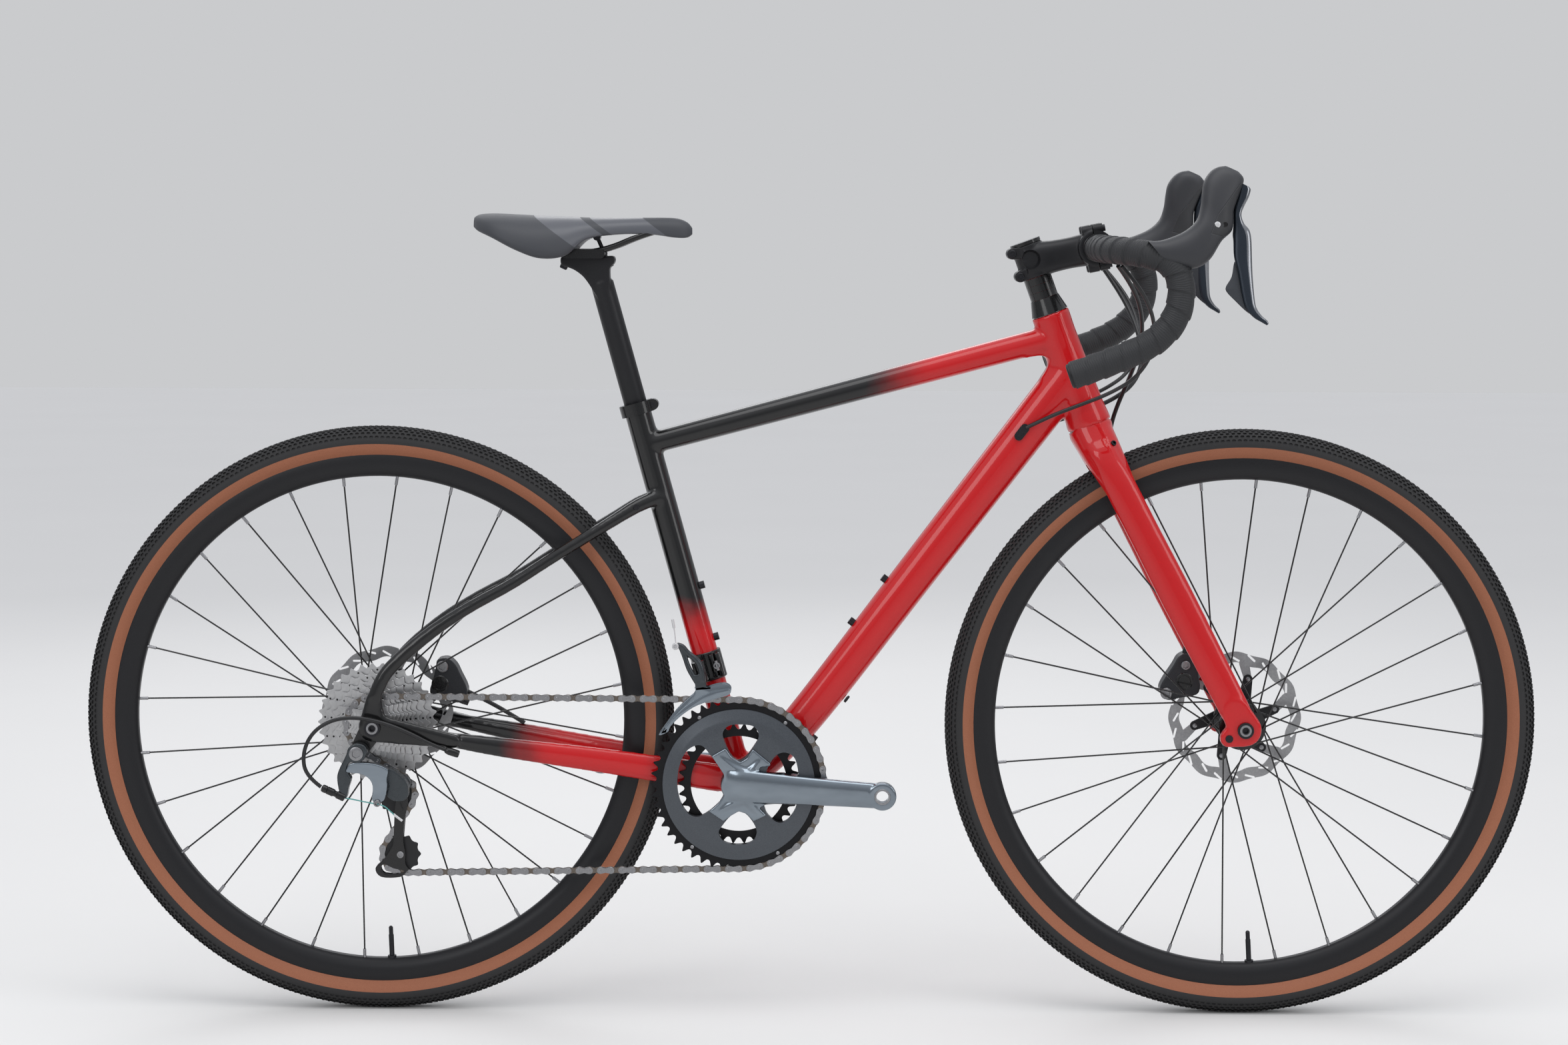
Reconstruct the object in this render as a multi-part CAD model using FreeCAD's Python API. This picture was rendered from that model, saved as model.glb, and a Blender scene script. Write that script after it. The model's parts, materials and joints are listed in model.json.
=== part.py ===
import FreeCAD, Part
import math
import os

# Gravel bike at real size, in millimetres.
# +X points forward, +Y to the rider's left, +Z up.
# The origin is on the ground, midway between the two axles.

Vec = FreeCAD.Vector
ACROSS = Vec(0, 1, 0)
ORIGIN = Vec(0, 0, 0)

# Clearances shared by all pieces
running_gap = 0.1
body_gap = 0.5
seat_gap = 0.1
overrun = 30.0
cord_arc_share = 0.45

# Frame geometry
wheel_base = 1025.0
tyre_radius = 351.0
chainstay_length = 435.0
bb_drop = 70.0
head_angle = 70.0
seat_angle = 74.5
fork_offset = 50.0
fork_length = 395.0

# Head tube and headset
head_tube_length = 141.0
head_top_radius = 22.0
head_low_radius = 26.5
head_bore_radius = 17.5
upper_bearing_radius = 19.5
lower_bearing_radius = 23.5
bearing_height = 8.0
steerer_radius = 14.3
crown_steerer_radius = 16.5
crown_steerer_length = 30.0
steerer_wall = 2.4
cover_height = 19.0
cover_top_radius = 17.0
spacer_radius = 16.5
spacer_height = 8.7
spacer_count = 3
spacer_seam = 0.3
top_cap_height = 4.0

# Main tubes
tube_wall = 2.2
seat_tube_radius = 15.9
seat_tube_length = 464.0
seatpost_radius = 13.6
top_tube_below = 49.0
top_tube_head_height = 112.0
top_tube_seat_width = 30.0
top_tube_seat_depth = 26.0
top_tube_head_width = 36.0
top_tube_head_depth = 30.0
down_tube_drop = 28.0
down_tube_shell_drop = 7.0
down_tube_head_height = 66.0
down_tube_shell_width = 46.0
down_tube_shell_depth = 36.0
down_tube_low_width = 44.0
down_tube_low_depth = 43.0
down_tube_head_width = 46.0
down_tube_head_depth = 51.0
down_tube_low_share = 0.19
down_tube_middle_share = 0.55

# Bottom bracket
bb_shell_radius = 23.0
bb_shell_width = 68.0
bb_thread_radius = 17.5
cup_radius = 21.5
cup_width = 10.0
spindle_radius = 12.0

# Stays, with stations as shares of the stay's length, the hub's half width and the stay's own size
rear_hub_width = 142.0
stay_wall = 1.8
chainstay_width = 18.0
chainstay_depth = 32.0
chainstay_station_shares = [
    (0.095, 1.030, 0.60, 0.44),
    (0.22, 0.965, 0.70, 0.58),
    (0.36, 0.860, 0.85, 0.75),
    (0.60, 0.570, 0.90, 0.92),
    (0.78, 0.445, 0.80, 1.00),
    (0.95, 0.350, 1.00, 1.06),
]
seatstay_below = 112.0
seatstay_width = 13.0
seatstay_depth = 16.0
seatstay_end_rise = 34.0
seatstay_end_ahead = 1.5
seatstay_station_shares = [
    (0.000, 0.000, 0.150, 1.00, 1.15),
    (0.083, 0.049, 0.310, 1.00, 1.05),
    (0.188, 0.138, 0.490, 1.00, 0.90),
    (0.368, 0.293, 0.650, 1.00, 0.86),
    (0.520, 0.430, 0.755, 1.00, 0.86),
    (0.675, 0.552, 0.850, 1.00, 0.90),
    (0.815, 0.685, 0.940, 1.00, 1.00),
    (0.951, 0.860, 1.020, 0.95, 1.05),
    (1.000, 1.000, 1.055, 0.90, 1.05),
]

# Dropouts, hanger and thru-axles
dropout_thickness = 8.0
dropout_radius = 17.0
dropout_chainstay_radius = 8.5
dropout_seatstay_radius = 9.0
axle_radius = 6.0
axle_head_radius = 9.5
axle_head_length = 4.0
hanger_thickness = 6.0
hanger_back = 17.2
hanger_drop = 28.0
hanger_axle_radius = 14.0
hanger_bolt_radius = 10.0
hanger_thread_radius = 5.0

# Seat clamp and frame bolts
clamp_wall = 4.2
clamp_height = 14.0
clamp_overlap = 12.0
clamp_ear_radius = 6.5
clamp_ear_width = 17.0
clamp_bolt_radius = 3.2
clamp_split = 2.7
bottle_bolt_radius = 4.6
bottle_bolt_height = 5.5
bolt_sink = 3.0
seat_bottle_heights = [172.0, 236.0]
down_bottle_shares = [0.392, 0.492]
under_bottle_shares = [0.176, 0.272]
rack_bolt_radius = 3.6
rack_bolt_length = 2.2
rack_bolt_station = 1

# Fork
crown_drop = 16.0
crown_depth = 50.0
crown_thickness = 28.0
leg_depth = 38.0
leg_thickness = 20.0
front_hub_width = 100.0
fork_tip_thickness = 13.0
fork_tip_radius = 19.5
fork_eyelet_back = 19.0
fork_eyelet_drop = 10.0
fork_eyelet_radius = 10.5
fork_bolt_radius = 4.5
fork_bolt_height = 1.5
crown_station_shares = [
    (0.30, 0.006, 0.99, 0.97, 0.20),
    (0.52, 0.030, 0.94, 0.90, 0.75),
    (0.64, 0.075, 0.86, 0.82, 2.50),
]
leg_station_shares = [
    (0.16, 0.68, 0.98, 1.00),
    (0.33, 0.75, 1.00, 1.00),
    (0.55, 0.84, 1.04, 0.92),
    (0.78, 0.94, 0.99, 0.80),
    (0.94, 1.00, 0.96, 0.66),
]

# Wheels
tyre_width = 40.0
tyre_height = 34.0
tyre_wall = 3.0
tyre_bulge_share = 0.47
tyre_shoulder_share = 0.86
tyre_shoulder_width_share = 0.72
rim_width = 24.0
rim_depth = 26.0
rim_wall = 2.4
rim_nose_share = 0.45
spoke_count = 28
spoke_radius = 1.0
spoke_cross_steps = 5.2
spoke_start_share = 0.5
spoke_flange_gap = 0.6
nipple_seat = 0.4
nipple_radius = 2.0
nipple_length = 10.0
rim_spoke_offset = 3.0
flange_hole_radius = 24.0
flange_rim = 4.0
flange_thickness = 3.0
hub_shell_radius = 13.0
hub_cap_radius = 10.0
front_flange_right = 33.0
front_flange_left = 22.0
rear_flange_right = 19.0
rear_flange_left = 34.0
valve_radius = 3.0
valve_length = 38.0
front_wheel_turn = 3.3
rear_wheel_turn = 2.1

# Brake rotors and calipers
rotor_radius = 80.0
rotor_band = 15.0
rotor_thickness = 1.8
rotor_arm_width = 9.0
rotor_arm_root_share = 1.3
rotor_hub_radius = 19.0
rotor_hub_band = 7.0
rotor_arm_count = 5
rotor_arm_sweep = 26.0
rotor_slot_count = 20
rotor_slot_length = 11.0
rotor_slot_radius = 2.0
rotor_slot_tilt = 38.0
front_rotor_place = 40.0
rear_rotor_place = 56.0
caliper_radius = 15.0
caliper_span = 27.0
caliper_inner_half = 12.0
caliper_outer_half = 14.0
caliper_slot_half = 3.0
caliper_roof_gap = 2.0
caliper_pad_share = 0.93
front_caliper_angle = 143.0
rear_caliper_angle = 31.0
caliper_bolt_radius = 4.4
caliper_bolt_height = 3.0
caliper_foot_radius = 9.0
caliper_root_radius = 10.8

# Drivetrain
chain_pitch = 12.7
roller_radius = 3.85
tooth_tip_share = 0.27
tooth_tip_width_share = 0.10
tooth_root_width_share = 0.29
ring_teeth = 50
inner_ring_teeth = 34
cog_teeth = [11, 13, 15, 17, 19, 21, 23, 26, 30, 34]
chain_cog = 3
cog_spacing = 3.95
cog_thickness = 1.6
cog_end_gap = 5.0
carrier_radius = 17.0
cog_spacer_radius = 19.5
ring_place = 47.0
ring_spacing = 7.0
ring_tooth_thickness = 1.8
ring_web_thickness = 4.0
ring_web_radius = 88.0
window_outer_radius = 66.0
window_inner_radius = 38.0
window_margin_angle = 17.0
window_corner_radius = 8.0
ring_hole_radius = 30.0
inner_ring_hole_radius = 48.0
crank_length = 170.0
crank_angle = -3.3
spider_angles = [52.0, 122.0, 238.0, 306.0]
spider_radius = 56.0
spider_root_radius = 15.0
spider_tip_radius = 9.0
spider_thickness = 6.0
arm_root_depth = 40.0
arm_middle_depth = 34.0
arm_tip_radius = 17.0
arm_thickness = 14.0
arm_root_place = 59.0
arm_tip_place = 66.0
arm_middle_share = 0.45
arm_inset_share = 0.93
crank_boss_radius = 21.0
pedal_thread_radius = 7.14
ring_bolt_radius = 4.5

# Chain plates
inner_plate_near = 1.2
plate_thickness = 0.65
roller_free_share = 2.2
plate_radius = 4.1
plate_gap = 0.1

# Rear derailleur, placed from its hanger bolt
knuckle_radius = 11.5
knuckle_length = 17.0
knuckle_bolt_radius = 8.0
knuckle_bolt_height = 1.5
link_rear_ahead = 5.0
link_rear_drop = 24.0
link_front_ahead = 45.0
link_front_drop = 34.0
link_rear_place = 86.0
link_front_place = 79.0
link_eye_radius = 6.0
link_eye_length = 10.0
link_bar_radius = 4.6
link_pin_radius = 2.5
link_lug_thickness = 5.0
link_lug_radius = 5.6
shift_slope = 0.86
cable_bolt_radius = 4.2
cable_bolt_length = 7.0
cable_bolt_drop = 21.0
cage_axis_ahead = 48.5
cage_axis_drop = 40.0
cage_barrel_radius = 9.0
cage_barrel_length = 7.5
guide_back = 7.0
guide_drop = 14.0
tension_back = 2.0
tension_drop = 86.0
pulley_teeth = 11
pulley_thickness = 2.0
pulley_pin_radius = 2.6
cage_plate_thickness = 1.8
cage_plate_gap = 3.6
cage_top_radius = 10.0
cage_guide_radius = 8.0
cage_foot_radius = 13.0
adjuster_back = 24.0
adjuster_drop = 44.0
adjuster_radius = 3.4
adjuster_length = 15.0
knuckle_arm_radius = 5.0
shoulder_arm_radius = 4.0
cable_arm_radius = 3.7
lug_arm_share = 0.55
pulley_boss_radius = 5.2

# Front derailleur, placed from the bottom bracket
band_height = 141.0
band_length = 34.0
band_wall = 3.0
cage_clearance = 3.0
cage_front_angle = 95.0
cage_middle_angle = 118.0
cage_tail_angle = 147.0
cage_front_depth = 18.0
cage_middle_depth = 13.0
cage_tail_depth = 7.0
cage_plate = 1.4
cage_half_inside = 5.0
bridge_inset = 2.1
bridge_tip_inset = 3.5
bridge_turn = 3.0
bridge_tip_turn = 1.0
hanger_depth_share = 0.6
hanger_turn = 8.0
swing_height = 40.0
swing_back = 44.0
swing_behind = 17.6
swing_radius = 6.0
swing_length = 12.0
swing_pin_radius = 3.0
swing_arm_radius = 4.5
front_cable_arm_radius = 3.6
cable_arm_back = 29.0
cable_arm_rise = 24.0

# Seatpost and saddle
post_insert = 110.0
post_rise = 162.0
post_wall = 2.2
post_head_length = 58.0
post_head_width = 30.0
post_head_height = 9.0
post_head_ahead = 18.0
post_head_rise = 8.6
saddle_length = 256.0
saddle_width = 144.0
saddle_height = 63.0
saddle_nose_ahead = 110.0
saddle_rise = 6.0
saddle_padding = 20.0
saddle_crown_share = 0.93
saddle_flank_share = 0.62
crown_place_share = 0.5
flank_place_share = 0.88
rim_rise_share = 0.12
rim_place_share = 0.86
saddle_station_shares = [
    (0.000, 0.26, 0.910, 0.830),
    (0.030, 0.58, 0.975, 0.770),
    (0.100, 0.88, 1.000, 0.640),
    (0.210, 1.00, 0.970, 0.335),
    (0.320, 0.97, 0.952, 0.180),
    (0.430, 0.80, 0.938, 0.245),
    (0.520, 0.58, 0.930, 0.520),
    (0.650, 0.38, 0.922, 0.610),
    (0.800, 0.30, 0.930, 0.620),
    (0.920, 0.27, 0.922, 0.560),
    (0.975, 0.20, 0.850, 0.560),
    (1.000, 0.09, 0.740, 0.620),
]
rail_radius = 3.5
rail_half_spread = 21.0
rail_route_shares = [
    (0.130, 0.740),
    (0.240, 0.470),
    (0.360, 0.305),
    (0.500, 0.255),
    (0.630, 0.360),
    (0.750, 0.570),
    (0.870, 0.720),
]
rail_nose_share = 0.62
rail_clamp_station = 3
saddle_clamp_length = 42.0
saddle_clamp_height = 11.0
saddle_clamp_width = 10.0
saddle_bolt_radius = 3.0
saddle_bolt_spacing = 46.0

# Stem and handlebar
stem_clamp_height = 40.0
stem_clamp_wall = 4.0
stem_length = 76.0
stem_rise_angle = 11.6
stem_width = 30.0
stem_depth = 34.0
stem_bolt_back = 20.0
stem_bolt_spacing = 29.0
stem_ear_radius = 5.4
stem_ear_width = 30.0
stem_bolt_radius = 4.0
stem_bolt_height = 3.0
bar_clamp_radius = 15.9
bar_clamp_width = 46.0
bar_clamp_wall = 5.0
face_gap = 1.2
face_bolt_rise = 21.5
face_bolt_half = 15.0
face_lug_radius = 6.0
face_lug_length = 12.0
bar_radius = 12.0
bar_bulge_half = 38.0
tape_start = 46.0
tape_radius = 15.6
bar_plug_radius = 14.0
bar_plug_length = 4.0
bar_half_width = 206.0
bar_reach = 86.0
bar_drop = 141.0
bar_route_shares = [
    (0.000, 0.540, 0.000),
    (0.150, 0.790, -0.010),
    (0.470, 0.960, -0.030),
    (0.780, 1.000, -0.085),
    (0.945, 1.010, -0.250),
    (0.905, 1.020, -0.510),
    (0.640, 1.022, -0.715),
    (0.190, 1.012, -0.855),
    (-0.470, 0.995, -1.000),
]
hood_reach = 130.0
hood_rise = 93.0
hood_depth = 44.0
hood_width = 36.0
hood_station_shares = [
    (0.347, 0.028, 0.995, 0.30, 0.67),
    (0.455, -0.031, 0.998, 0.68, 0.89),
    (0.624, -0.010, 1.000, 0.93, 1.00),
    (0.805, 0.139, 0.988, 0.98, 1.00),
    (0.889, 0.334, 0.973, 0.90, 0.97),
    (0.935, 0.592, 0.951, 0.98, 0.92),
    (0.978, 0.813, 0.927, 0.96, 0.86),
    (0.997, 0.947, 0.915, 0.59, 0.56),
    (1.001, 1.001, 0.910, 0.16, 0.17),
]
lever_length = 145.0
lever_depth = 20.0
lever_width = 12.0
lever_pivot_reach = 143.0
lever_pivot_rise = 61.0
lever_pin_radius = 2.5
lever_pin_half = 12.0
lever_travel = 16.0
lever_station_shares = [
    (0.012, 0.055, 0.927, 0.70, 1.00),
    (0.012, -0.097, 0.942, 0.80, 1.00),
    (0.032, -0.283, 0.971, 0.92, 0.92),
    (0.040, -0.490, 1.000, 0.88, 0.83),
    (0.052, -0.676, 1.024, 0.78, 0.75),
    (0.090, -0.821, 1.046, 0.62, 0.67),
    (0.166, -0.931, 1.066, 0.40, 0.58),
    (0.224, -0.986, 1.078, 0.22, 0.42),
]
lever_slot_margin = 1.6
lever_slot_steps = 5
paddle_thickness = 2.4
paddle_gap = 0.6
paddle_barrel_radius = 3.0
paddle_barrel_length = 12.0
paddle_pin_radius = 1.5
paddle_lug_radius = 2.4
paddle_axis_share = 0.050
paddle_top_share = -0.545
paddle_low_share = -0.840
paddle_outline_shares = [
    (-0.030, -0.525),
    (0.010, -0.530),
    (0.058, -0.700),
    (0.095, -0.895),
    (0.015, -0.850),
    (-0.085, -0.775),
    (-0.100, -0.712),
    (-0.078, -0.600),
]

# Cable ports, cables and hoses, with routes chosen by hand
port_length = 22.0
port_radius = 5.2
port_depth = 5.0
port_share = 0.86
port_rise = 5.0
housing_radius = 2.3
hose_radius = 2.6
shift_housing_route = [
    (352, -158, 896),
    (374, -146, 872),
    (393, -118, 838),
    (398, -84, 800),
    (382, -54, 766),
    (350, -40, 745),
    (314, -36, 731),
    (281, -33, 718),
    (254, -25, 704),
]
rear_hose_bar_route = [
    (350, 138, 897),
    (371, 123, 867),
    (390, 97, 829),
    (400, 62, 786),
    (388, 43, 753),
    (358, 37, 732),
    (321, 36, 718),
    (284, 33, 705),
    (249, 25, 694),
]
front_hose_route = [
    (350, -130, 896),
    (370, -105, 872),
    (385, -66, 838),
    (388, -22, 800),
    (379, 16, 762),
    (366, 34, 728),
    (358, 40, 700),
    (356, 40, 676),
]
rear_hose_stay_route = [
    (-419, 59, 377),
    (-396, 58, 366),
    (-370, 57, 352),
    (-346, 57, 337),
]
rear_shift_route = [
    (-412, -79, 321),
    (-437, -84, 330),
    (-468, -87, 347),
    (-499, -91, 360),
    (-532, -95, 367),
    (-560, -98, 363),
    (-582, -98, 347),
    (-592, -98, 322),
    (-588, -97, 297),
    (-571, -95, 284),
]
stay_clip_radius = 4.6
stay_clip_length = 16.0


def unit(v):
    """Vector of length one along v."""
    return v * (1.0 / v.Length)


def polar(radius, degrees):
    """Point in the side view at a radius and an angle, counted from +X towards +Z."""
    turn = math.radians(degrees)
    return Vec(radius * math.cos(turn), 0, radius * math.sin(turn))


def mirrored(shape):
    """Left-hand copy of a right-hand shape."""
    return shape.mirror(ORIGIN, ACROSS)


def both_sides(shape):
    """The shape and its mirror image."""
    return [shape, mirrored(shape)]


# Reference points worked out from the geometry
rear_axle = Vec(-wheel_base / 2, 0, tyre_radius)
front_axle = Vec(wheel_base / 2, 0, tyre_radius)
bb_ahead = math.sqrt(chainstay_length ** 2 - bb_drop ** 2)
bb = rear_axle + Vec(bb_ahead, 0, -bb_drop)
steer_up = polar(1, 180 - head_angle)
steer_ahead = polar(1, 90 - head_angle)
steer_foot = front_axle - steer_ahead * fork_offset
seat_up = polar(1, 180 - seat_angle)
seat_ahead = polar(1, 90 - seat_angle)
head_low = fork_length + body_gap
head_high = head_low + head_tube_length
rear_half = rear_hub_width / 2
front_half = front_hub_width / 2


def on_steerer(height):
    """Point on the steering axis, counted from the foot of the fork's offset."""
    return steer_foot + steer_up * height


def on_seat_tube(height):
    """Point on the seat tube's axis, counted from the bottom bracket."""
    return bb + seat_up * height


def at_place(point, place):
    """The same point of the side view at another place across the bike."""
    return Vec(point.x, place, point.z)


def oval(centre, along, half_side, half_other, side=ACROSS):
    """Closed oval wire square to a direction, with one half size along side and one across it."""
    tangent = unit(along)
    first = unit(side - tangent * side.dot(tangent))
    second = tangent.cross(first)
    count = 12
    points = []
    for number in range(count):
        turn = 2 * math.pi * number / count
        points.append(centre + first * (half_side * math.cos(turn)) + second * (half_other * math.sin(turn)))
    curve = Part.BSplineCurve()
    curve.interpolate(Points=points, PeriodicFlag=True)
    return Part.Wire([curve.toShape()])


def directions(points):
    """Direction of travel at each point of a path."""
    last = len(points) - 1
    return [points[min(i + 1, last)] - points[max(i - 1, 0)] for i in range(last + 1)]


def lofted(wires):
    """Solid through a row of closed wires."""
    return Part.makeLoft(wires, True, False)


def oval_loft(points, half_sizes, side=ACROSS, along=None):
    """Solid through ovals at the points of a path."""
    tangents = along or directions(points)
    return lofted([oval(p, t, a, b, side) for p, t, (a, b) in zip(points, tangents, half_sizes)])


def hollow_loft(points, half_sizes, wall, side=ACROSS, along=None):
    """Tube through ovals at the points of a path, as (tube, filled core)."""
    core = oval_loft(points, half_sizes, side, along)
    inner = oval_loft(points, [(a - wall, b - wall) for a, b in half_sizes], side, along)
    return core.cut(inner), core


def rod(start, end, radius):
    """Round bar between two points."""
    return Part.makeCylinder(radius, (end - start).Length, start, end - start)


def disc(centre, radius, low, high):
    """Round disc across the bike, from one place to another."""
    return Part.makeCylinder(radius, high - low, at_place(centre, low), ACROSS)


def ring(centre, outer, inner, low, high):
    """Flat ring across the bike."""
    return disc(centre, outer, low, high).cut(disc(centre, inner, low - overrun, high + overrun))


def pushed(wire, low, high):
    """Plate pushed out of an outline in the side view, from one place to another."""
    face = Part.Face(wire)
    face.translate(Vec(0, low, 0))
    return face.extrude(Vec(0, high - low, 0))


def pill(start, end, start_radius, end_radius, low, high):
    """Plate shaped as the hull of two discs in the side view."""
    first = at_place(start, 0)
    last = at_place(end, 0)
    reach = last - first
    lean = math.degrees(math.acos((start_radius - end_radius) / reach.Length))
    heading = math.degrees(math.atan2(reach.z, reach.x))
    along = unit(reach)
    upper = polar(1, heading + lean)
    lower = polar(1, heading - lean)
    corners = [
        first + upper * start_radius,
        first - along * start_radius,
        first + lower * start_radius,
        last + lower * end_radius,
        last + along * end_radius,
        last + upper * end_radius,
    ]
    wire = Part.Wire([
        Part.Arc(corners[0], corners[1], corners[2]).toShape(),
        Part.makeLine(corners[2], corners[3]),
        Part.Arc(corners[3], corners[4], corners[5]).toShape(),
        Part.makeLine(corners[5], corners[0]),
    ])
    return pushed(wire, low, high)


def turned(profile, axle):
    """Solid turned about an axle from (radius, place) corners."""
    corners = [axle + Vec(0, place, radius) for radius, place in profile]
    face = Part.Face(Part.makePolygon(corners + corners[:1]))
    return face.revolve(axle, ACROSS, 360)


def joined(shapes):
    """One solid from overlapping shapes."""
    return shapes[0].fuse(shapes[1:]).removeSplitter()


def main_solid(shape):
    """Largest solid of a cut shape."""
    return max(shape.Solids, key=lambda solid: solid.Volume)


def about_axis(shape, centre, axis, degrees):
    """Copy turned about an axis."""
    copy = shape.copy()
    copy.rotate(centre, axis, degrees)
    return copy


def cord_wire(points, name):
    """Straight runs joined by the largest tangent arcs that they leave room for."""
    edges = []
    radii = []
    start = points[0]
    for before, here, after in zip(points, points[1:], points[2:]):
        back = unit(before - here)
        ahead = unit(after - here)
        turn = math.pi - back.getAngle(ahead)
        tangent = cord_arc_share * min((before - here).Length, (after - here).Length)
        radius = tangent / math.tan(turn / 2)
        radii.append(round(radius))
        first = here + back * tangent
        last = here + ahead * tangent
        bisector = unit(back + ahead)
        middle = here + bisector * (radius / math.cos(turn / 2) - radius)
        edges.append(Part.LineSegment(start, first).toShape())
        edges.append(Part.Arc(first, middle, last).toShape())
        start = last
    edges.append(Part.LineSegment(start, points[-1]).toShape())
    print(name, "arc radii", radii)
    return Part.Wire(edges)




def cord(points, radius, name):
    """Round cord along a route."""
    wire = cord_wire(points, name)
    circle = Part.Circle(points[0], points[1] - points[0], radius)
    solid = wire.makePipeShell([Part.Wire([circle.toShape()])], True, True)
    print(name, "volume share", round(solid.Volume / (wire.Length * math.pi * radius ** 2), 4))
    return solid


def route(table):
    """Vectors of a hand-made route."""
    return [Vec(*place) for place in table]


def save(name, shapes):
    """Writes one node as a STEP file."""
    solids = shapes if isinstance(shapes, list) else [shapes]
    Part.makeCompound(solids).exportStep("parts/" + name + ".step")
    print(name, [round(s.Volume) for s in solids[:4]], len(solids), all(s.isValid() for s in solids))


# Frame

def head_core():
    """Filled head tube."""
    return Part.makeCone(head_low_radius, head_top_radius, head_tube_length, on_steerer(head_low), steer_up)


def head_tube():
    """Tapered head tube with a seat for each bearing."""
    bore = rod(on_steerer(head_low - overrun), on_steerer(head_high + overrun), head_bore_radius)
    low_seat = rod(on_steerer(head_low - overrun), on_steerer(head_low + bearing_height), lower_bearing_radius)
    top_seat = rod(on_steerer(head_high - bearing_height), on_steerer(head_high + overrun), upper_bearing_radius)
    return head_core().cut([bore, low_seat, top_seat])


def headset_bearings():
    """Upper and lower bearing rings."""
    rings = []
    for height, outer, inner in [
        (head_low, lower_bearing_radius, crown_steerer_radius),
        (head_high - bearing_height, upper_bearing_radius, steerer_radius),
    ]:
        body = rod(on_steerer(height), on_steerer(height + bearing_height), outer)
        hole = rod(on_steerer(height - overrun), on_steerer(height + overrun), inner + running_gap)
        rings.append(body.cut(hole))
    return rings


def seat_core():
    """Filled seat tube."""
    return rod(bb, on_seat_tube(seat_tube_length), seat_tube_radius)


def shell_core():
    """Filled bottom bracket shell."""
    return disc(bb, bb_shell_radius, -bb_shell_width / 2, bb_shell_width / 2)


def bottom_bracket_shell():
    """Bored shell."""
    return shell_core().cut(disc(bb, bb_thread_radius, -bb_shell_width, bb_shell_width))


def bottom_bracket_cups():
    """Right and left bearing cups, each with its flange and its spigot in the shell."""
    flange = bb_shell_width / 2 + cup_width
    spigot = bb_shell_width / 2 - cup_width * 2
    cup = disc(bb, cup_radius, -flange, -bb_shell_width / 2)
    cup = joined([cup, disc(bb, bb_thread_radius, -bb_shell_width / 2 - seat_gap, -spigot)])
    cup = cup.cut(disc(bb, spindle_radius + running_gap, -flange - overrun, 0))
    return both_sides(cup)


def top_tube():
    """Top tube and its filled core, before it is mitred."""
    start = on_seat_tube(seat_tube_length - top_tube_below)
    end = on_steerer(head_low + top_tube_head_height)
    middle = (start + end) / 2
    half_sizes = [
        (top_tube_seat_width / 2, top_tube_seat_depth / 2),
        ((top_tube_seat_width + top_tube_head_width) / 4, (top_tube_seat_depth + top_tube_head_depth) / 4),
        (top_tube_head_width / 2, top_tube_head_depth / 2),
    ]
    return hollow_loft([start, middle, end], half_sizes, tube_wall)


def down_tube_axis(share):
    """Point on the down tube's straight axis."""
    start = bb - Vec(0, 0, down_tube_drop)
    return start + (on_steerer(head_low + down_tube_head_height) - start) * share


def down_tube_depth(share):
    """Depth of the down tube along its axis."""
    return down_tube_low_depth + (down_tube_head_depth - down_tube_low_depth) * share


def down_tube_width(share):
    """Width of the down tube along its axis."""
    return down_tube_low_width + (down_tube_head_width - down_tube_low_width) * share


def down_tube():
    """Down tube and its filled core, before it is mitred."""
    points = [bb - Vec(0, 0, down_tube_shell_drop)]
    half_sizes = [(down_tube_shell_width / 2, down_tube_shell_depth / 2)]
    for share in [down_tube_low_share, down_tube_middle_share, 1]:
        points.append(down_tube_axis(share))
        half_sizes.append((down_tube_width(share) / 2, down_tube_depth(share) / 2))
    axis = down_tube_axis(1) - down_tube_axis(0)
    return hollow_loft(points, half_sizes, tube_wall, ACROSS, [points[1] - points[0], axis, axis, axis])


def chainstay_point(share, place_share):
    """Point on the right chainstay's axis."""
    return at_place(rear_axle + (bb - rear_axle) * share, -rear_half * place_share)


def chainstay():
    """Right chainstay and its filled core, before it is mitred."""
    points = [chainstay_point(s, y) for s, y, w, d in chainstay_station_shares]
    half_sizes = [(chainstay_width / 2 * w, chainstay_depth / 2 * d) for s, y, w, d in chainstay_station_shares]
    return hollow_loft(points, half_sizes, stay_wall)


def seatstay_points():
    """Stations of the right seatstay's axis, from the seat tube to the dropout."""
    top = on_seat_tube(seat_tube_length - seatstay_below)
    end = rear_axle + Vec(seatstay_end_ahead, 0, seatstay_end_rise)
    points = []
    for x, z, y, w, d in seatstay_station_shares:
        points.append(Vec(top.x + (end.x - top.x) * x, -rear_half * y, top.z + (end.z - top.z) * z))
    return points


def seatstay():
    """Right seatstay and its filled core, before it is mitred."""
    half_sizes = [(seatstay_width / 2 * w, seatstay_depth / 2 * d) for x, z, y, w, d in seatstay_station_shares]
    return hollow_loft(seatstay_points(), half_sizes, stay_wall)


def hanger_point():
    """Axis of the rear derailleur's hanger bolt, in the side view."""
    return rear_axle + Vec(-hanger_back, 0, -hanger_drop)


def dropout():
    """Right dropout plate that joins both stays round the axle."""
    low = -rear_half - dropout_thickness
    chainstay_end = chainstay_point(chainstay_station_shares[1][0], 1)
    seatstay_end = seatstay_points()[-1]
    plate = joined([
        pill(rear_axle, chainstay_end, dropout_radius, dropout_chainstay_radius, low, -rear_half),
        pill(rear_axle, seatstay_end, dropout_radius, dropout_seatstay_radius, low, -rear_half),
    ])
    return plate.cut(disc(rear_axle, axle_radius + seat_gap, low - overrun, 0))


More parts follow.
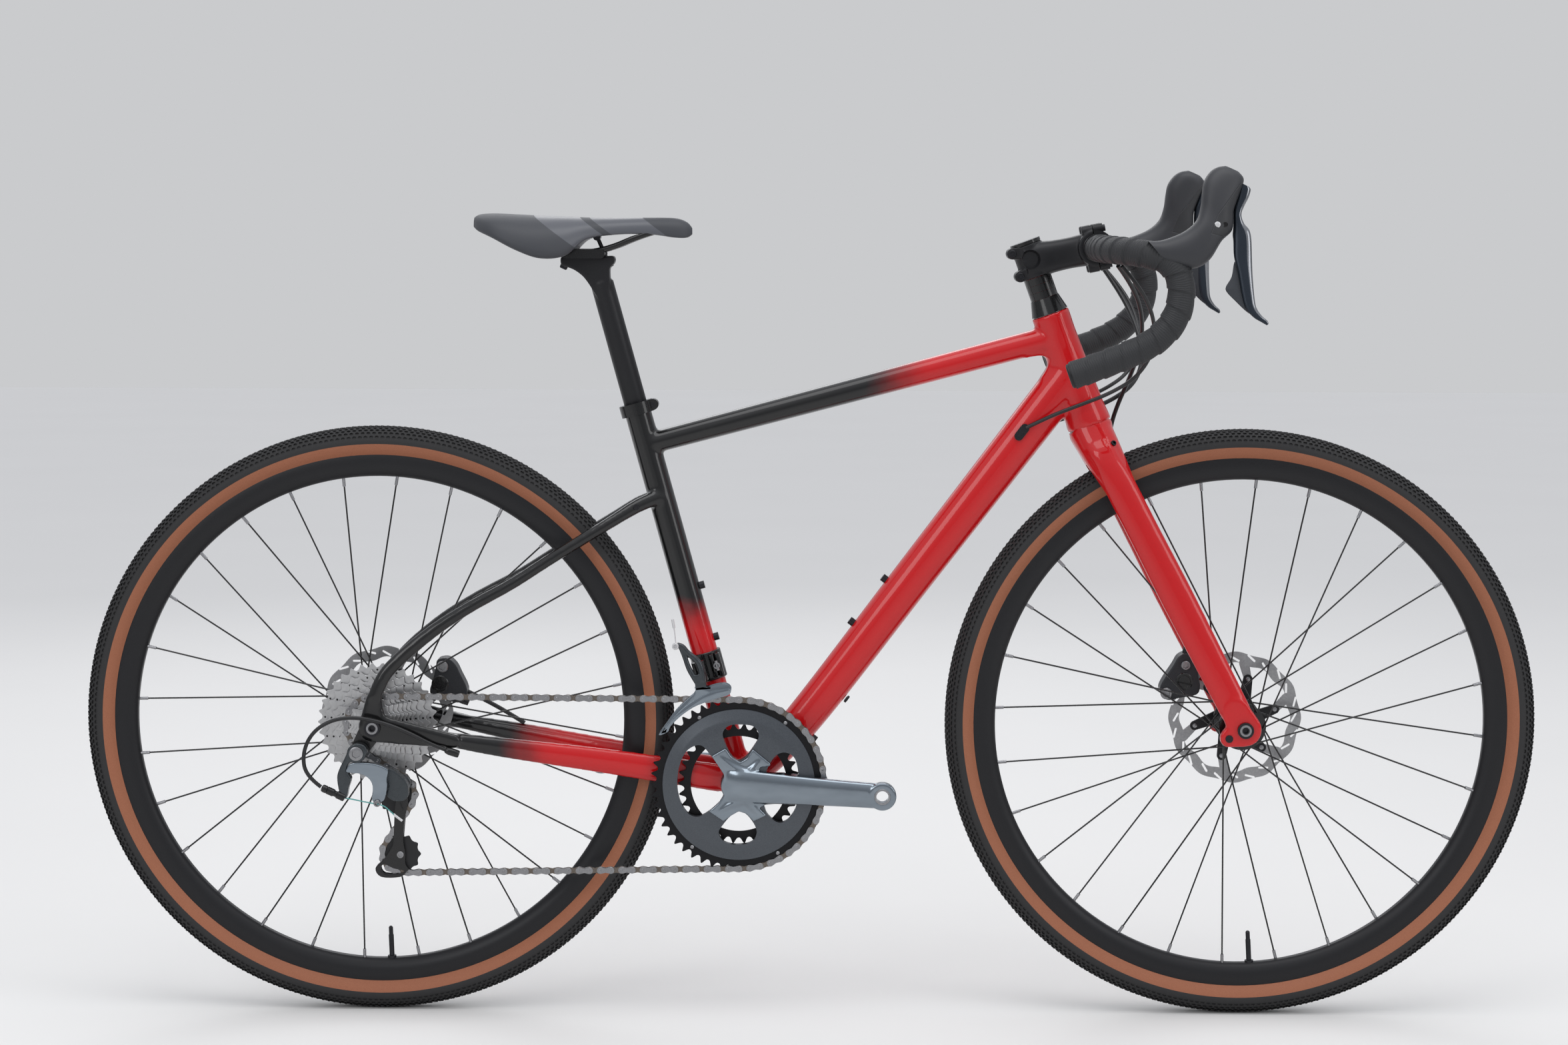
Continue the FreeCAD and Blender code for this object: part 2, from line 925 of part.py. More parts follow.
def derailleur_hanger():
    """Plate let into the right dropout, down to the derailleur's bolt."""
    low = -rear_half - hanger_thickness
    plate = pill(rear_axle, hanger_point(), hanger_axle_radius, hanger_bolt_radius, low, -rear_half)
    holes = [
        disc(rear_axle, axle_radius + seat_gap, low - overrun, 0),
        disc(hanger_point(), hanger_thread_radius, low - overrun, 0),
    ]
    return plate.cut(holes)


def seat_clamp():
    """Collar round the top of the seat tube, with its front ears and bolt."""
    low = on_seat_tube(seat_tube_length - clamp_overlap)
    high = low + seat_up * clamp_height
    ear = low + seat_up * (clamp_height / 2) + seat_ahead * (seat_tube_radius + clamp_wall)
    collar = rod(low, high, seat_tube_radius + clamp_wall)
    ears = Part.makeCylinder(clamp_ear_radius, clamp_ear_width, ear - ACROSS * (clamp_ear_width / 2), ACROSS)
    tube = rod(low - seat_up * overrun, on_seat_tube(seat_tube_length), seat_tube_radius)
    bore = rod(low - seat_up * overrun, high + seat_up * overrun, seatpost_radius + running_gap)
    split_half = clamp_split / 2
    split = Part.makeBox(overrun, split_half * 2, clamp_height + overrun)
    split.rotate(ORIGIN, ACROSS, seat_angle - 90)
    split.translate(low - ACROSS * split_half - seat_up * (overrun / 2))
    bolt_hole = Part.makeCylinder(clamp_bolt_radius, overrun * 2, ear - ACROSS * overrun, ACROSS)
    return joined([collar, ears]).cut([tube, bore, split, bolt_hole])


def oriented_bolt(seat, outward, radius, height):
    """Round bolt head standing on its seat."""
    return Part.makeCylinder(radius, height, seat, outward)


def frame_bolts():
    """Bottle-cage bolts, rack bolts and the seat clamp's bolt."""
    bolts = []
    for height in seat_bottle_heights:
        seat = on_seat_tube(height) + seat_ahead * (seat_tube_radius - bolt_sink)
        bolts.append(oriented_bolt(seat, seat_ahead, bottle_bolt_radius, bottle_bolt_height + bolt_sink))
    along = unit(down_tube_axis(1) - down_tube_axis(0))
    over = Vec(-along.z, 0, along.x)
    for shares, out in [(down_bottle_shares, over), (under_bottle_shares, over * -1)]:
        for share in shares:
            seat = down_tube_axis(share) + out * (down_tube_depth(share) / 2 - bolt_sink)
            bolts.append(oriented_bolt(seat, out, bottle_bolt_radius, bottle_bolt_height + bolt_sink))
    station = seatstay_points()[rack_bolt_station]
    rack_seat = station - ACROSS * (seatstay_width / 2)
    bolts += both_sides(oriented_bolt(rack_seat, ACROSS * -1, rack_bolt_radius, rack_bolt_length))
    middle = on_seat_tube(seat_tube_length - clamp_overlap + clamp_height / 2)
    ear = middle + seat_ahead * (seat_tube_radius + clamp_wall) - ACROSS * (clamp_ear_width / 2)
    bolts.append(Part.makeCylinder(clamp_bolt_radius, clamp_ear_width, ear, ACROSS))
    return bolts


def thru_axle(axle, half_width, plate):
    """Axle through both ends of the fork or frame, with a head on the right."""
    outside = half_width + plate
    shaft = disc(axle, axle_radius, -outside, outside)
    head = disc(axle, axle_head_radius, -outside - axle_head_length, -outside)
    socket = disc(axle, axle_radius / 2, -outside - axle_head_length, -outside)
    return joined([shaft, head]).cut(socket)


def cable_port(side):
    """Plug let into the down tube's side, where housings go in. side is -1 for right and 1 for left."""
    along = unit(down_tube_axis(1) - down_tube_axis(0))
    over = Vec(-along.z, 0, along.x)
    centre = down_tube_axis(port_share) + over * port_rise
    half = along * (port_length / 2 - port_radius)
    outside = down_tube_width(port_share) / 2
    low, high = sorted([side * (outside - port_depth), side * (outside + housing_radius)])
    return pill(centre - half, centre + half, port_radius, port_radius, low, high)


def frame():
    """All frame pieces, each mitred to its neighbours."""
    head = head_core()
    seat = seat_core()
    shell = shell_core()
    plate = dropout()
    hanger = derailleur_hanger()
    ports = [cable_port(-1), cable_port(1)]
    top, top_filled = top_tube()
    down, down_filled = down_tube()
    stay, stay_filled = chainstay()
    upper_stay, upper_filled = seatstay()
    post_bore = rod(bb, on_seat_tube(seat_tube_length + overrun), seatpost_radius + running_gap)
    plates = [plate, hanger]
    save("head_tube", head_tube())
    save("headset_bearings", headset_bearings())
    save("top_tube", main_solid(top.cut([seat, head])))
    save("down_tube", main_solid(down.cut([head, shell, seat, top_filled] + ports)))
    save("seat_tube", seat.cut([post_bore, shell]))
    save("bottom_bracket_shell", bottom_bracket_shell())
    save("bottom_bracket_cups", bottom_bracket_cups())
    near_stay = main_solid(stay.cut([shell, seat, down_filled] + plates))
    save("chainstays", both_sides(near_stay))
    near_upper = main_solid(upper_stay.cut([seat, stay_filled] + plates))
    save("seatstays", both_sides(near_upper))
    save("dropouts", [plate.cut(hanger), mirrored(plate)])
    save("derailleur_hanger", hanger)
    save("seat_clamp", seat_clamp())
    carriers = [upper_filled, mirrored(upper_filled), down_filled, seat]
    fittings = [b.cut(carriers) for b in frame_bolts()]
    save("frame_fittings", fittings + [p.cut(head) for p in ports])
    save("rear_axle", thru_axle(rear_axle, rear_half, dropout_thickness))
    filled = [down_filled, head]
    return filled, stay_filled


# Fork and headset

def fork_leg_point(share, place_share):
    """Point on the right fork leg's axis, from the crown to the axle."""
    start = on_steerer(fork_length - crown_drop)
    tip = front_half + fork_tip_thickness / 2
    return at_place(start + (front_axle - start) * share, -tip * place_share)


def fork_legs():
    """Both legs and the crown's shoulders as one solid."""
    tip = front_half + fork_tip_thickness / 2
    points = [on_steerer(fork_length - crown_drop)]
    tangents = [ACROSS * -1]
    half_sizes = [(crown_depth / 2, crown_thickness / 2)]
    leg_line = front_axle - points[0]
    for place, share, depth, thickness, slope in crown_station_shares:
        points.append(at_place(points[0] + leg_line * share, -tip * place))
        tangents.append(unit(leg_line) * slope - ACROSS)
        half_sizes.append((crown_depth / 2 * depth, crown_thickness / 2 * thickness))
    for share, place, depth, thickness in leg_station_shares:
        points.append(fork_leg_point(share, place))
        half_sizes.append((leg_depth / 2 * depth, leg_thickness / 2 * thickness))
    legs_only = directions(points)[len(tangents):]
    leg = oval_loft(points, half_sizes, steer_ahead, tangents + legs_only)
    return joined(both_sides(leg))


def fork_tip():
    """Right fork end with its mudguard eyelet."""
    low = -front_half - fork_tip_thickness
    eyelet = front_axle + Vec(-fork_eyelet_back, 0, -fork_eyelet_drop)
    lobe = pill(front_axle, eyelet, fork_tip_radius, fork_eyelet_radius, low, -front_half)
    blade = pill(front_axle, fork_leg_point(leg_station_shares[-2][0], 1), fork_tip_radius,
                 leg_depth / 2 * leg_station_shares[-2][2], low, -front_half)
    return lobe.fuse(blade)


def steerer_top():
    """Height of the steerer's top on the steering axis."""
    return stem_low() + stem_clamp_height


def stem_low():
    """Height of the stem's lower face on the steering axis."""
    return head_high + body_gap + cover_height + spacer_count * spacer_height


def fork():
    """Fork with steerer, crown, legs and ends."""
    crown = on_steerer(fork_length)
    taper = on_steerer(fork_length + crown_steerer_length)
    bell = Part.makeCone(crown_depth / 2, head_low_radius, crown_drop, on_steerer(fork_length - crown_drop), steer_up)
    low_steerer = rod(on_steerer(fork_length - crown_drop), taper, crown_steerer_radius)
    steerer = rod(crown, on_steerer(steerer_top()), steerer_radius)
    tips = both_sides(fork_tip())
    body = joined([fork_legs(), bell, low_steerer, steerer] + tips)
    bore = rod(crown, on_steerer(steerer_top() + overrun), steerer_radius - steerer_wall)
    axle_hole = disc(front_axle, axle_radius + seat_gap, -front_hub_width, front_hub_width)
    hub_room = disc(front_axle, fork_tip_radius * 2, -front_half, front_half)
    return body.cut([bore, axle_hole, hub_room])


def headset_spacers():
    """Conical cover, spacers and top cap on the steerer."""
    low = head_high + body_gap
    pieces = [Part.makeCone(head_top_radius, cover_top_radius, cover_height - spacer_seam, on_steerer(low), steer_up)]
    for number in range(spacer_count):
        base = low + cover_height + number * spacer_height
        pieces.append(rod(on_steerer(base), on_steerer(base + spacer_height - spacer_seam), spacer_radius))
    hole = rod(on_steerer(low - overrun), on_steerer(steerer_top()), steerer_radius + seat_gap)
    pieces = [piece.cut(hole) for piece in pieces]
    cap_radius = steerer_radius + stem_clamp_wall
    pieces.append(rod(on_steerer(steerer_top()), on_steerer(steerer_top() + top_cap_height), cap_radius))
    return pieces


def fork_bolts():
    """Plug bolts of the fork's mounts."""
    eyelet = front_axle + Vec(-fork_eyelet_back, 0, -fork_eyelet_drop)
    low = -front_half - fork_tip_thickness - fork_bolt_height
    return both_sides(disc(eyelet, fork_bolt_radius, low, low + fork_bolt_height))


# Wheels

def tyre(axle):
    """Open tyre carcass that sits on the rim's edge."""
    base = tyre_radius - tyre_height

    def curve(inset):
        half = tyre_width / 2 - inset
        seat = rim_width / 2 - inset
        top = tyre_height - inset
        profile = [
            (0, seat),
            (top * tyre_bulge_share, half),
            (top * tyre_shoulder_share, half * tyre_shoulder_width_share),
            (top, 0),
        ]
        profile += [(rise, -place) for rise, place in reversed(profile[:-1])]
        line = Part.BSplineCurve()
        line.interpolate([axle + Vec(0, place, base + rise) for rise, place in profile])
        return line.toShape(), profile

    outer, outer_profile = curve(0)
    inner, inner_profile = curve(tyre_wall)

    def seat_line(number):
        points = [axle + Vec(0, p[number][1], base) for p in (outer_profile, inner_profile)]
        return Part.makeLine(*points)

    face = Part.Face(Part.Wire(Part.sortEdges([outer, seat_line(0), inner, seat_line(-1)])[0]))
    return face.revolve(axle, ACROSS, 360)


def rim(axle, turn):
    """Deep rim with an open channel under the tyre, and its valve, turned on its axle."""
    edge = tyre_radius - tyre_height
    half = rim_width / 2
    nose = half * rim_nose_share
    knee = edge - rim_depth * (1 - rim_nose_share)
    inner = edge - rim_depth
    outline = [(edge, half), (knee, half), (inner, nose), (inner, -nose), (knee, -half), (edge, -half)]
    well = half - rim_wall
    floor = inner + rim_wall
    channel = [(edge, well), (knee, well), (floor, nose - rim_wall / 2)]
    channel += [(radius, -place) for radius, place in reversed(channel)]
    body = turned(outline[::-1] + channel, axle)
    bottom = axle - Vec(0, 0, inner - valve_length)
    stem = Part.makeCylinder(valve_radius, valve_length + rim_wall, bottom - Vec(0, 0, valve_length + rim_wall),
                             Vec(0, 0, 1))
    return about_axis(body.fuse(stem), axle, ACROSS, -turn)


def spokes(axle, right_place, left_place, wheel_turn):
    """Crossed spokes and their nipples. right_place and left_place are the flanges' distances from the middle."""
    inner = tyre_radius - tyre_height - rim_depth
    pieces = []
    step = 360.0 / spoke_count
    for number in range(spoke_count):
        side = 1 if number % 2 else -1
        lead = 1 if number // 2 % 2 else -1
        place = left_place if side > 0 else right_place
        offset = flange_thickness / 2 + spoke_radius + spoke_flange_gap
        hub_end = axle + polar(flange_hole_radius, step * (number + lead * spoke_cross_steps + spoke_start_share) + wheel_turn)
        hub_end = at_place(hub_end, side * place + lead * offset)
        rim_end = at_place(axle + polar(inner, step * (number + spoke_start_share) + wheel_turn), side * rim_spoke_offset)
        along = unit(hub_end - rim_end)
        neck = rim_end + along * nipple_length
        nipple = rod(rim_end + along * nipple_seat, neck, nipple_radius)
        pieces.append(joined([rod(neck, hub_end, spoke_radius), nipple]))
    return pieces


def hub(axle, half_width, right_place, left_place, rotor_place, right_end):
    """Hub shell with two flanges and the rotor's seat."""
    flange = flange_hole_radius + flange_rim
    half_flange = flange_thickness / 2
    profile = [
        (hub_cap_radius, -right_end),
        (hub_shell_radius, -right_place - half_flange),
        (flange, -right_place - half_flange),
        (flange, -right_place + half_flange),
        (hub_shell_radius, -right_place + half_flange),
        (hub_shell_radius, left_place - half_flange),
        (flange, left_place - half_flange),
        (flange, left_place + half_flange),
        (rotor_hub_radius, left_place + half_flange),
        (rotor_hub_radius, rotor_place + rotor_thickness),
        (hub_cap_radius, rotor_place + rotor_thickness),
        (hub_cap_radius, half_width - body_gap),
        (axle_radius + running_gap, half_width - body_gap),
        (axle_radius + running_gap, -right_end),
    ]
    return turned(profile, axle)


def rotor(axle, place):
    """Slotted brake rotor on a spider of swept arms."""
    low = place - rotor_thickness / 2
    high = place + rotor_thickness / 2
    band_inner = rotor_radius - rotor_band
    hub_outer = rotor_hub_radius + rotor_hub_band
    pieces = [
        ring(axle, rotor_radius, band_inner, low, high),
        ring(axle, hub_outer, rotor_hub_radius + seat_gap, low, high),
    ]
    arm = rotor_arm_width / 2
    for number in range(rotor_arm_count):
        turn = 360.0 / rotor_arm_count * number
        foot = axle + polar(hub_outer - rotor_hub_band / 2, turn)
        tip = axle + polar(band_inner + rotor_band / 4, turn + rotor_arm_sweep)
        pieces.append(pill(foot, tip, arm * rotor_arm_root_share, arm, low, high))
    slots = []
    middle = rotor_radius - rotor_band / 2
    for number in range(rotor_slot_count):
        turn = 360.0 / rotor_slot_count * number
        centre = axle + polar(middle, turn)
        half = polar((rotor_slot_length - rotor_slot_radius * 2) / 2, turn + rotor_slot_tilt)
        slots.append(pill(centre - half, centre + half, rotor_slot_radius, rotor_slot_radius,
                          low - overrun, high + overrun))
    body = joined(pieces).cut(slots)
    return body.cut(disc(axle, rotor_hub_radius + seat_gap, low - overrun, high + overrun))


def caliper(axle, place, angle, foot_end):
    """Disc caliper over the rotor's edge, with a foot towards what carries it. Returns (body, bolts)."""
    centre = axle + polar(rotor_radius * caliper_pad_share, angle)
    half = polar(caliper_span / 2, angle + 90)
    low = place - caliper_inner_half
    high = place + caliper_outer_half
    body = pill(centre - half, centre + half, caliper_radius, caliper_radius, low, high)
    foot = pill(centre, foot_end, caliper_root_radius, caliper_foot_radius, place + caliper_slot_half, high)
    slot = disc(axle, rotor_radius + caliper_roof_gap, place - caliper_slot_half, place + caliper_slot_half)
    bolts = []
    for end in (centre - half, centre + half):
        bolts.append(disc(end, caliper_bolt_radius, low - caliper_bolt_height, low))
    return joined([body, foot]).cut(slot), bolts


def wheels(stay_filled, fork_body):
    """Both wheels, their rotors, calipers and the front axle."""
    right_end = carrier_end() - body_gap
    for name, axle, turn in [("front", front_axle, front_wheel_turn), ("rear", rear_axle, rear_wheel_turn)]:
        save(name + "_tyre", tyre(axle))
        save(name + "_rim", rim(axle, turn))
    save("front_spokes", spokes(front_axle, front_flange_right, front_flange_left, front_wheel_turn))
    save("rear_spokes", spokes(rear_axle, rear_flange_right, rear_flange_left, rear_wheel_turn))
    save("front_hub", hub(front_axle, front_half, front_flange_right, front_flange_left, front_rotor_place,
                          front_half - body_gap))
    save("rear_hub", hub(rear_axle, rear_half, rear_flange_right, rear_flange_left, rear_rotor_place, right_end))
    save("front_rotor", rotor(front_axle, front_rotor_place))
    save("rear_rotor", rotor(rear_axle, rear_rotor_place))
    save("front_axle", thru_axle(front_axle, front_half, fork_tip_thickness))
    leg = fork_leg_point(leg_station_shares[-2][0], 1)
    front_body, front_bolts = caliper(front_axle, front_rotor_place, front_caliper_angle, leg)
    save("front_caliper", [main_solid(front_body.cut(fork_body))] + front_bolts)
    stay = chainstay_point(chainstay_station_shares[1][0], 1)
    rear_body, rear_bolts = caliper(rear_axle, rear_rotor_place, rear_caliper_angle, stay)
    rear_body = main_solid(rear_body.cut([mirrored(stay_filled), mirrored(dropout())]))
    save("rear_caliper", [rear_body] + rear_bolts)


# Drivetrain

def pitch_radius(teeth):
    """Radius of the circle on which a chain's rollers lie."""
    return chain_pitch / (2 * math.sin(math.pi / teeth))


def sprocket(centre, teeth, low, high):
    """Toothed disc with a tooth at every pitch."""
    radius = pitch_radius(teeth)
    root = radius - roller_radius
    tip = radius + chain_pitch * tooth_tip_share
    step = 360.0 / teeth
    corners = []
    for number in range(teeth):
        turn = step * number
        for lean, reach in [
            (-tooth_root_width_share, root),
            (-tooth_tip_width_share, tip),
            (tooth_tip_width_share, tip),
            (tooth_root_width_share, root),
        ]:
            corners.append(at_place(centre + polar(reach, turn + lean * step), 0))
    return pushed(Part.makePolygon(corners + corners[:1]), low, high)


def cog_place(number):
    """Place of a cog across the bike, counted from the smallest."""
    return -rear_half + cog_end_gap + number * cog_spacing


def carrier_end():
    """Distance of the cog carrier's inner end from the bike's middle."""
    return -cog_place(len(cog_teeth) - 1) - cog_spacing


def cassette():
    """Cogs, spacers and the freewheel body that carries them."""
    half = cog_thickness / 2
    outer_end = -rear_half + body_gap
    carrier = disc(rear_axle, carrier_radius, outer_end + cog_end_gap / 2, -carrier_end())
    cap = disc(rear_axle, hub_cap_radius, outer_end, outer_end + cog_end_gap / 2)
    pieces = [joined([carrier, cap]).cut(disc(rear_axle, axle_radius + running_gap, outer_end - overrun, 0))]
    hole = disc(rear_axle, carrier_radius, outer_end - overrun, 0)
    for number, teeth in enumerate(cog_teeth):
        place = cog_place(number)
        pieces.append(sprocket(rear_axle, teeth, place - half, place + half).cut(hole))
        if number:
            spacer = disc(rear_axle, cog_spacer_radius, place - cog_spacing + half, place - half)
            pieces.append(spacer.cut(hole))
    return pieces


def ring_window(first, last, low, high):
    """Tool for one window of the big ring, between two of the spider's arms."""
    start = first + window_margin_angle
    end = last - window_margin_angle
    middle = (start + end) / 2
    corners = [bb + polar(r, a) for r, a in [
        (window_inner_radius, start), (window_outer_radius, start), (window_outer_radius, middle),
        (window_outer_radius, end), (window_inner_radius, end), (window_inner_radius, middle),
    ]]
    wire = Part.Wire([
        Part.makeLine(corners[0], corners[1]),
        Part.Arc(corners[1], corners[2], corners[3]).toShape(),
        Part.makeLine(corners[3], corners[4]),
        Part.Arc(corners[4], corners[5], corners[0]).toShape(),
    ])
    tool = pushed(wire, low, high)
    upright = [e for e in tool.Edges if abs(e.tangentAt(e.FirstParameter).dot(ACROSS)) > 0.99]
    return tool.makeFillet(window_corner_radius, upright)


def outer_chainring():
    """Big ring: teeth round a thicker web with a window between each pair of arms."""
    half = ring_tooth_thickness / 2
    web_half = ring_web_thickness / 2
    teeth = sprocket(bb, ring_teeth, -ring_place - half, -ring_place + half)
    web = disc(bb, ring_web_radius, -ring_place - web_half, -ring_place + web_half)
    arms = [a + crank_angle for a in spider_angles]
    arms.append(arms[0] + 360)
    low = -ring_place - overrun
    tools = [ring_window(a, b, low, 0) for a, b in zip(arms, arms[1:])]
    hole = disc(bb, ring_hole_radius, low, 0)
    return joined([teeth, web]).cut(tools + [hole])


def inner_chainring():
    """Small ring inside the big one, with its four bolts' standoffs."""
    place = -ring_place + ring_spacing
    half = ring_tooth_thickness / 2
    body = sprocket(bb, inner_ring_teeth, place - half, place + half)
    body = body.cut(disc(bb, inner_ring_hole_radius, place - overrun, 0))
    pieces = [body]
    for angle in spider_angles:
        seat = bb + polar(spider_radius, angle + crank_angle)
        pieces.append(disc(seat, ring_bolt_radius, -ring_place + ring_web_thickness / 2, place - half))
    return pieces


def crank_point(share, side):
    """Point of the crank's line in the side view. side is 1 for the right crank and -1 for the left."""
    return bb + polar(crank_length * share * side, crank_angle)


def crank_arm(side):
    """Crank arm on the right of the bike, pointing forward for side 1 and back for side -1."""
    tip = crank_point(1, side)
    middle_place = arm_root_place + (arm_tip_place - arm_root_place) * arm_middle_share
    half = arm_thickness / 2
    points = [
        at_place(bb, -arm_root_place),
        at_place(crank_point(arm_middle_share, side), -middle_place),
        at_place(tip, -arm_tip_place),
    ]
    half_sizes = [
        (half * arm_inset_share, arm_root_depth / 2 * arm_inset_share),
        (half * arm_inset_share, arm_middle_depth / 2),
        (half * arm_inset_share, arm_tip_radius * arm_inset_share),
    ]
    arm = oval_loft(points, half_sizes)
    end = disc(tip, arm_tip_radius, -arm_tip_place - half, -arm_tip_place + half)
    thread = disc(tip, pedal_thread_radius, -arm_tip_place - overrun, 0)
    flange = bb_shell_width / 2 + cup_width + body_gap
    boss = disc(bb, crank_boss_radius, -arm_root_place - half, -flange)
    return [arm, end, boss], thread


def right_crank():
    """Right crank with its four-armed spider, and the spindle on its inner end."""
    pieces, thread = crank_arm(1)
    high = -ring_place - ring_web_thickness / 2
    for angle in spider_angles:
        seat = bb + polar(spider_radius, angle + crank_angle)
        pieces.append(pill(bb, seat, spider_root_radius, spider_tip_radius, high - spider_thickness, high))
    flange = bb_shell_width / 2 + cup_width + body_gap
    spindle = disc(bb, spindle_radius, -flange, arm_root_place)
    return [joined(pieces).cut(thread), spindle]


def left_crank():
    """Left crank, clamped on the spindle's end."""
    pieces, thread = crank_arm(-1)
    spindle = disc(bb, spindle_radius + seat_gap, -arm_root_place - seat_gap, 0)
    return mirrored(joined(pieces).cut([thread, spindle]))


def tangent_line(first, first_radius, first_turn, second, second_radius, second_turn):
    """Ends of the chain's straight run between two wheels, each turned one way (1) or the other (-1)."""
    reach = second - first
    heading = math.degrees(math.atan2(reach.z, reach.x))
    lean = math.degrees(math.asin((second_turn * second_radius - first_turn * first_radius) / reach.Length))
    normal = polar(1, heading - lean + 90)
    return first - normal * (first_turn * first_radius), second - normal * (second_turn * second_radius)


def cage_axis():
    """Axis of the rear derailleur's cage, in the side view."""
    return hanger_point() + Vec(cage_axis_ahead, 0, -cage_axis_drop)


def guide_centre():
    """Centre of the guide pulley, in the side view."""
    return cage_axis() + Vec(-guide_back, 0, -guide_drop)


def tension_centre():
    """Centre of the tension pulley, in the side view."""
    return cage_axis() + Vec(-tension_back, 0, -tension_drop)


def chain_path():
    """Points one pitch apart along the chain, each with a mark for where it lies on a wheel."""
    cog = cog_place(chain_cog)
    wheels_on_path = [
        (at_place(bb, 0), pitch_radius(ring_teeth), -1, -ring_place),
        (at_place(tension_centre(), 0), pitch_radius(pulley_teeth), -1, cog),
        (at_place(guide_centre(), 0), pitch_radius(pulley_teeth), 1, cog),
        (at_place(rear_axle, 0), pitch_radius(cog_teeth[chain_cog]), -1, cog),
    ]
    count = len(wheels_on_path)
    runs = []
    for number in range(count):
        a = wheels_on_path[number]
        b = wheels_on_path[(number + 1) % count]
        runs.append(tangent_line(a[0], a[1], a[2], b[0], b[1], b[2]))
    stretches = []
    for number, (centre, radius, turn, place) in enumerate(wheels_on_path):
        arrive = runs[number - 1][1] - centre
        leave = runs[number][0] - centre
        start = math.atan2(arrive.z, arrive.x)
        sweep = (math.atan2(leave.z, leave.x) - start) * turn % (2 * math.pi) * turn
        stretches.append(("wrap", abs(sweep) * radius, (centre, radius, start, sweep, place)))
        next_place = wheels_on_path[(number + 1) % count][3]
        first, last = runs[number]
        stretches.append(("run", (last - first).Length, (first, last, place, next_place)))
    total = sum(length for kind, length, data in stretches)
    links = 2 * round(total / chain_pitch / 2)
    points = []
    for number in range(links):
        rest = total * number / links
        for kind, length, data in stretches:
            if rest <= length:
                break
            rest -= length
        if kind == "wrap":
            centre, radius, start, sweep, place = data
            angle = math.degrees(start + sweep * rest / length)
            points.append((at_place(centre + polar(radius, angle), place), True))
        else:
            first, last, place, next_place = data
            near_wheel = min(rest, length - rest) < chain_pitch * roller_free_share
            held = chain_pitch * roller_free_share
            lean = min(max((rest - held) / (length - held * 2), 0), 1)
            spot = at_place(first + (last - first) * (rest / length), place + (next_place - place) * lean)
            points.append((spot, near_wheel))
    print("chain links", links, "pitch", round(total / links, 3))
    return points


def chain():
    """Chain links: inner and outer plates in turn, with rollers where no wheel's teeth reach."""
    points = chain_path()
    pieces = []
    count = len(points)
    for number in range(count):
        here, wrapped = points[number]
        there = points[(number + 1) % count][0]
        place = (here.y + there.y) / 2
        near = inner_plate_near + (number % 2) * (plate_thickness + plate_gap)
        for low in (place + near, place - near - plate_thickness):
            pieces.append(pill(here, there, plate_radius, plate_radius, low, low + plate_thickness))
        if not wrapped:
            half = inner_plate_near - plate_gap
            pieces.append(disc(here, roller_radius, here.y - half, here.y + half))
    return pieces


# Rear derailleur

def link_frame():
    """Ends of the derailleur's link and the axis on which both of its pivots turn."""
    rear = at_place(hanger_point() + Vec(link_rear_ahead, 0, -link_rear_drop), -link_rear_place)
    front = at_place(hanger_point() + Vec(link_front_ahead, 0, -link_front_drop), -link_front_place)
    travel = Vec(0, 1, -shift_slope)
    return rear, front, unit((front - rear).cross(travel))


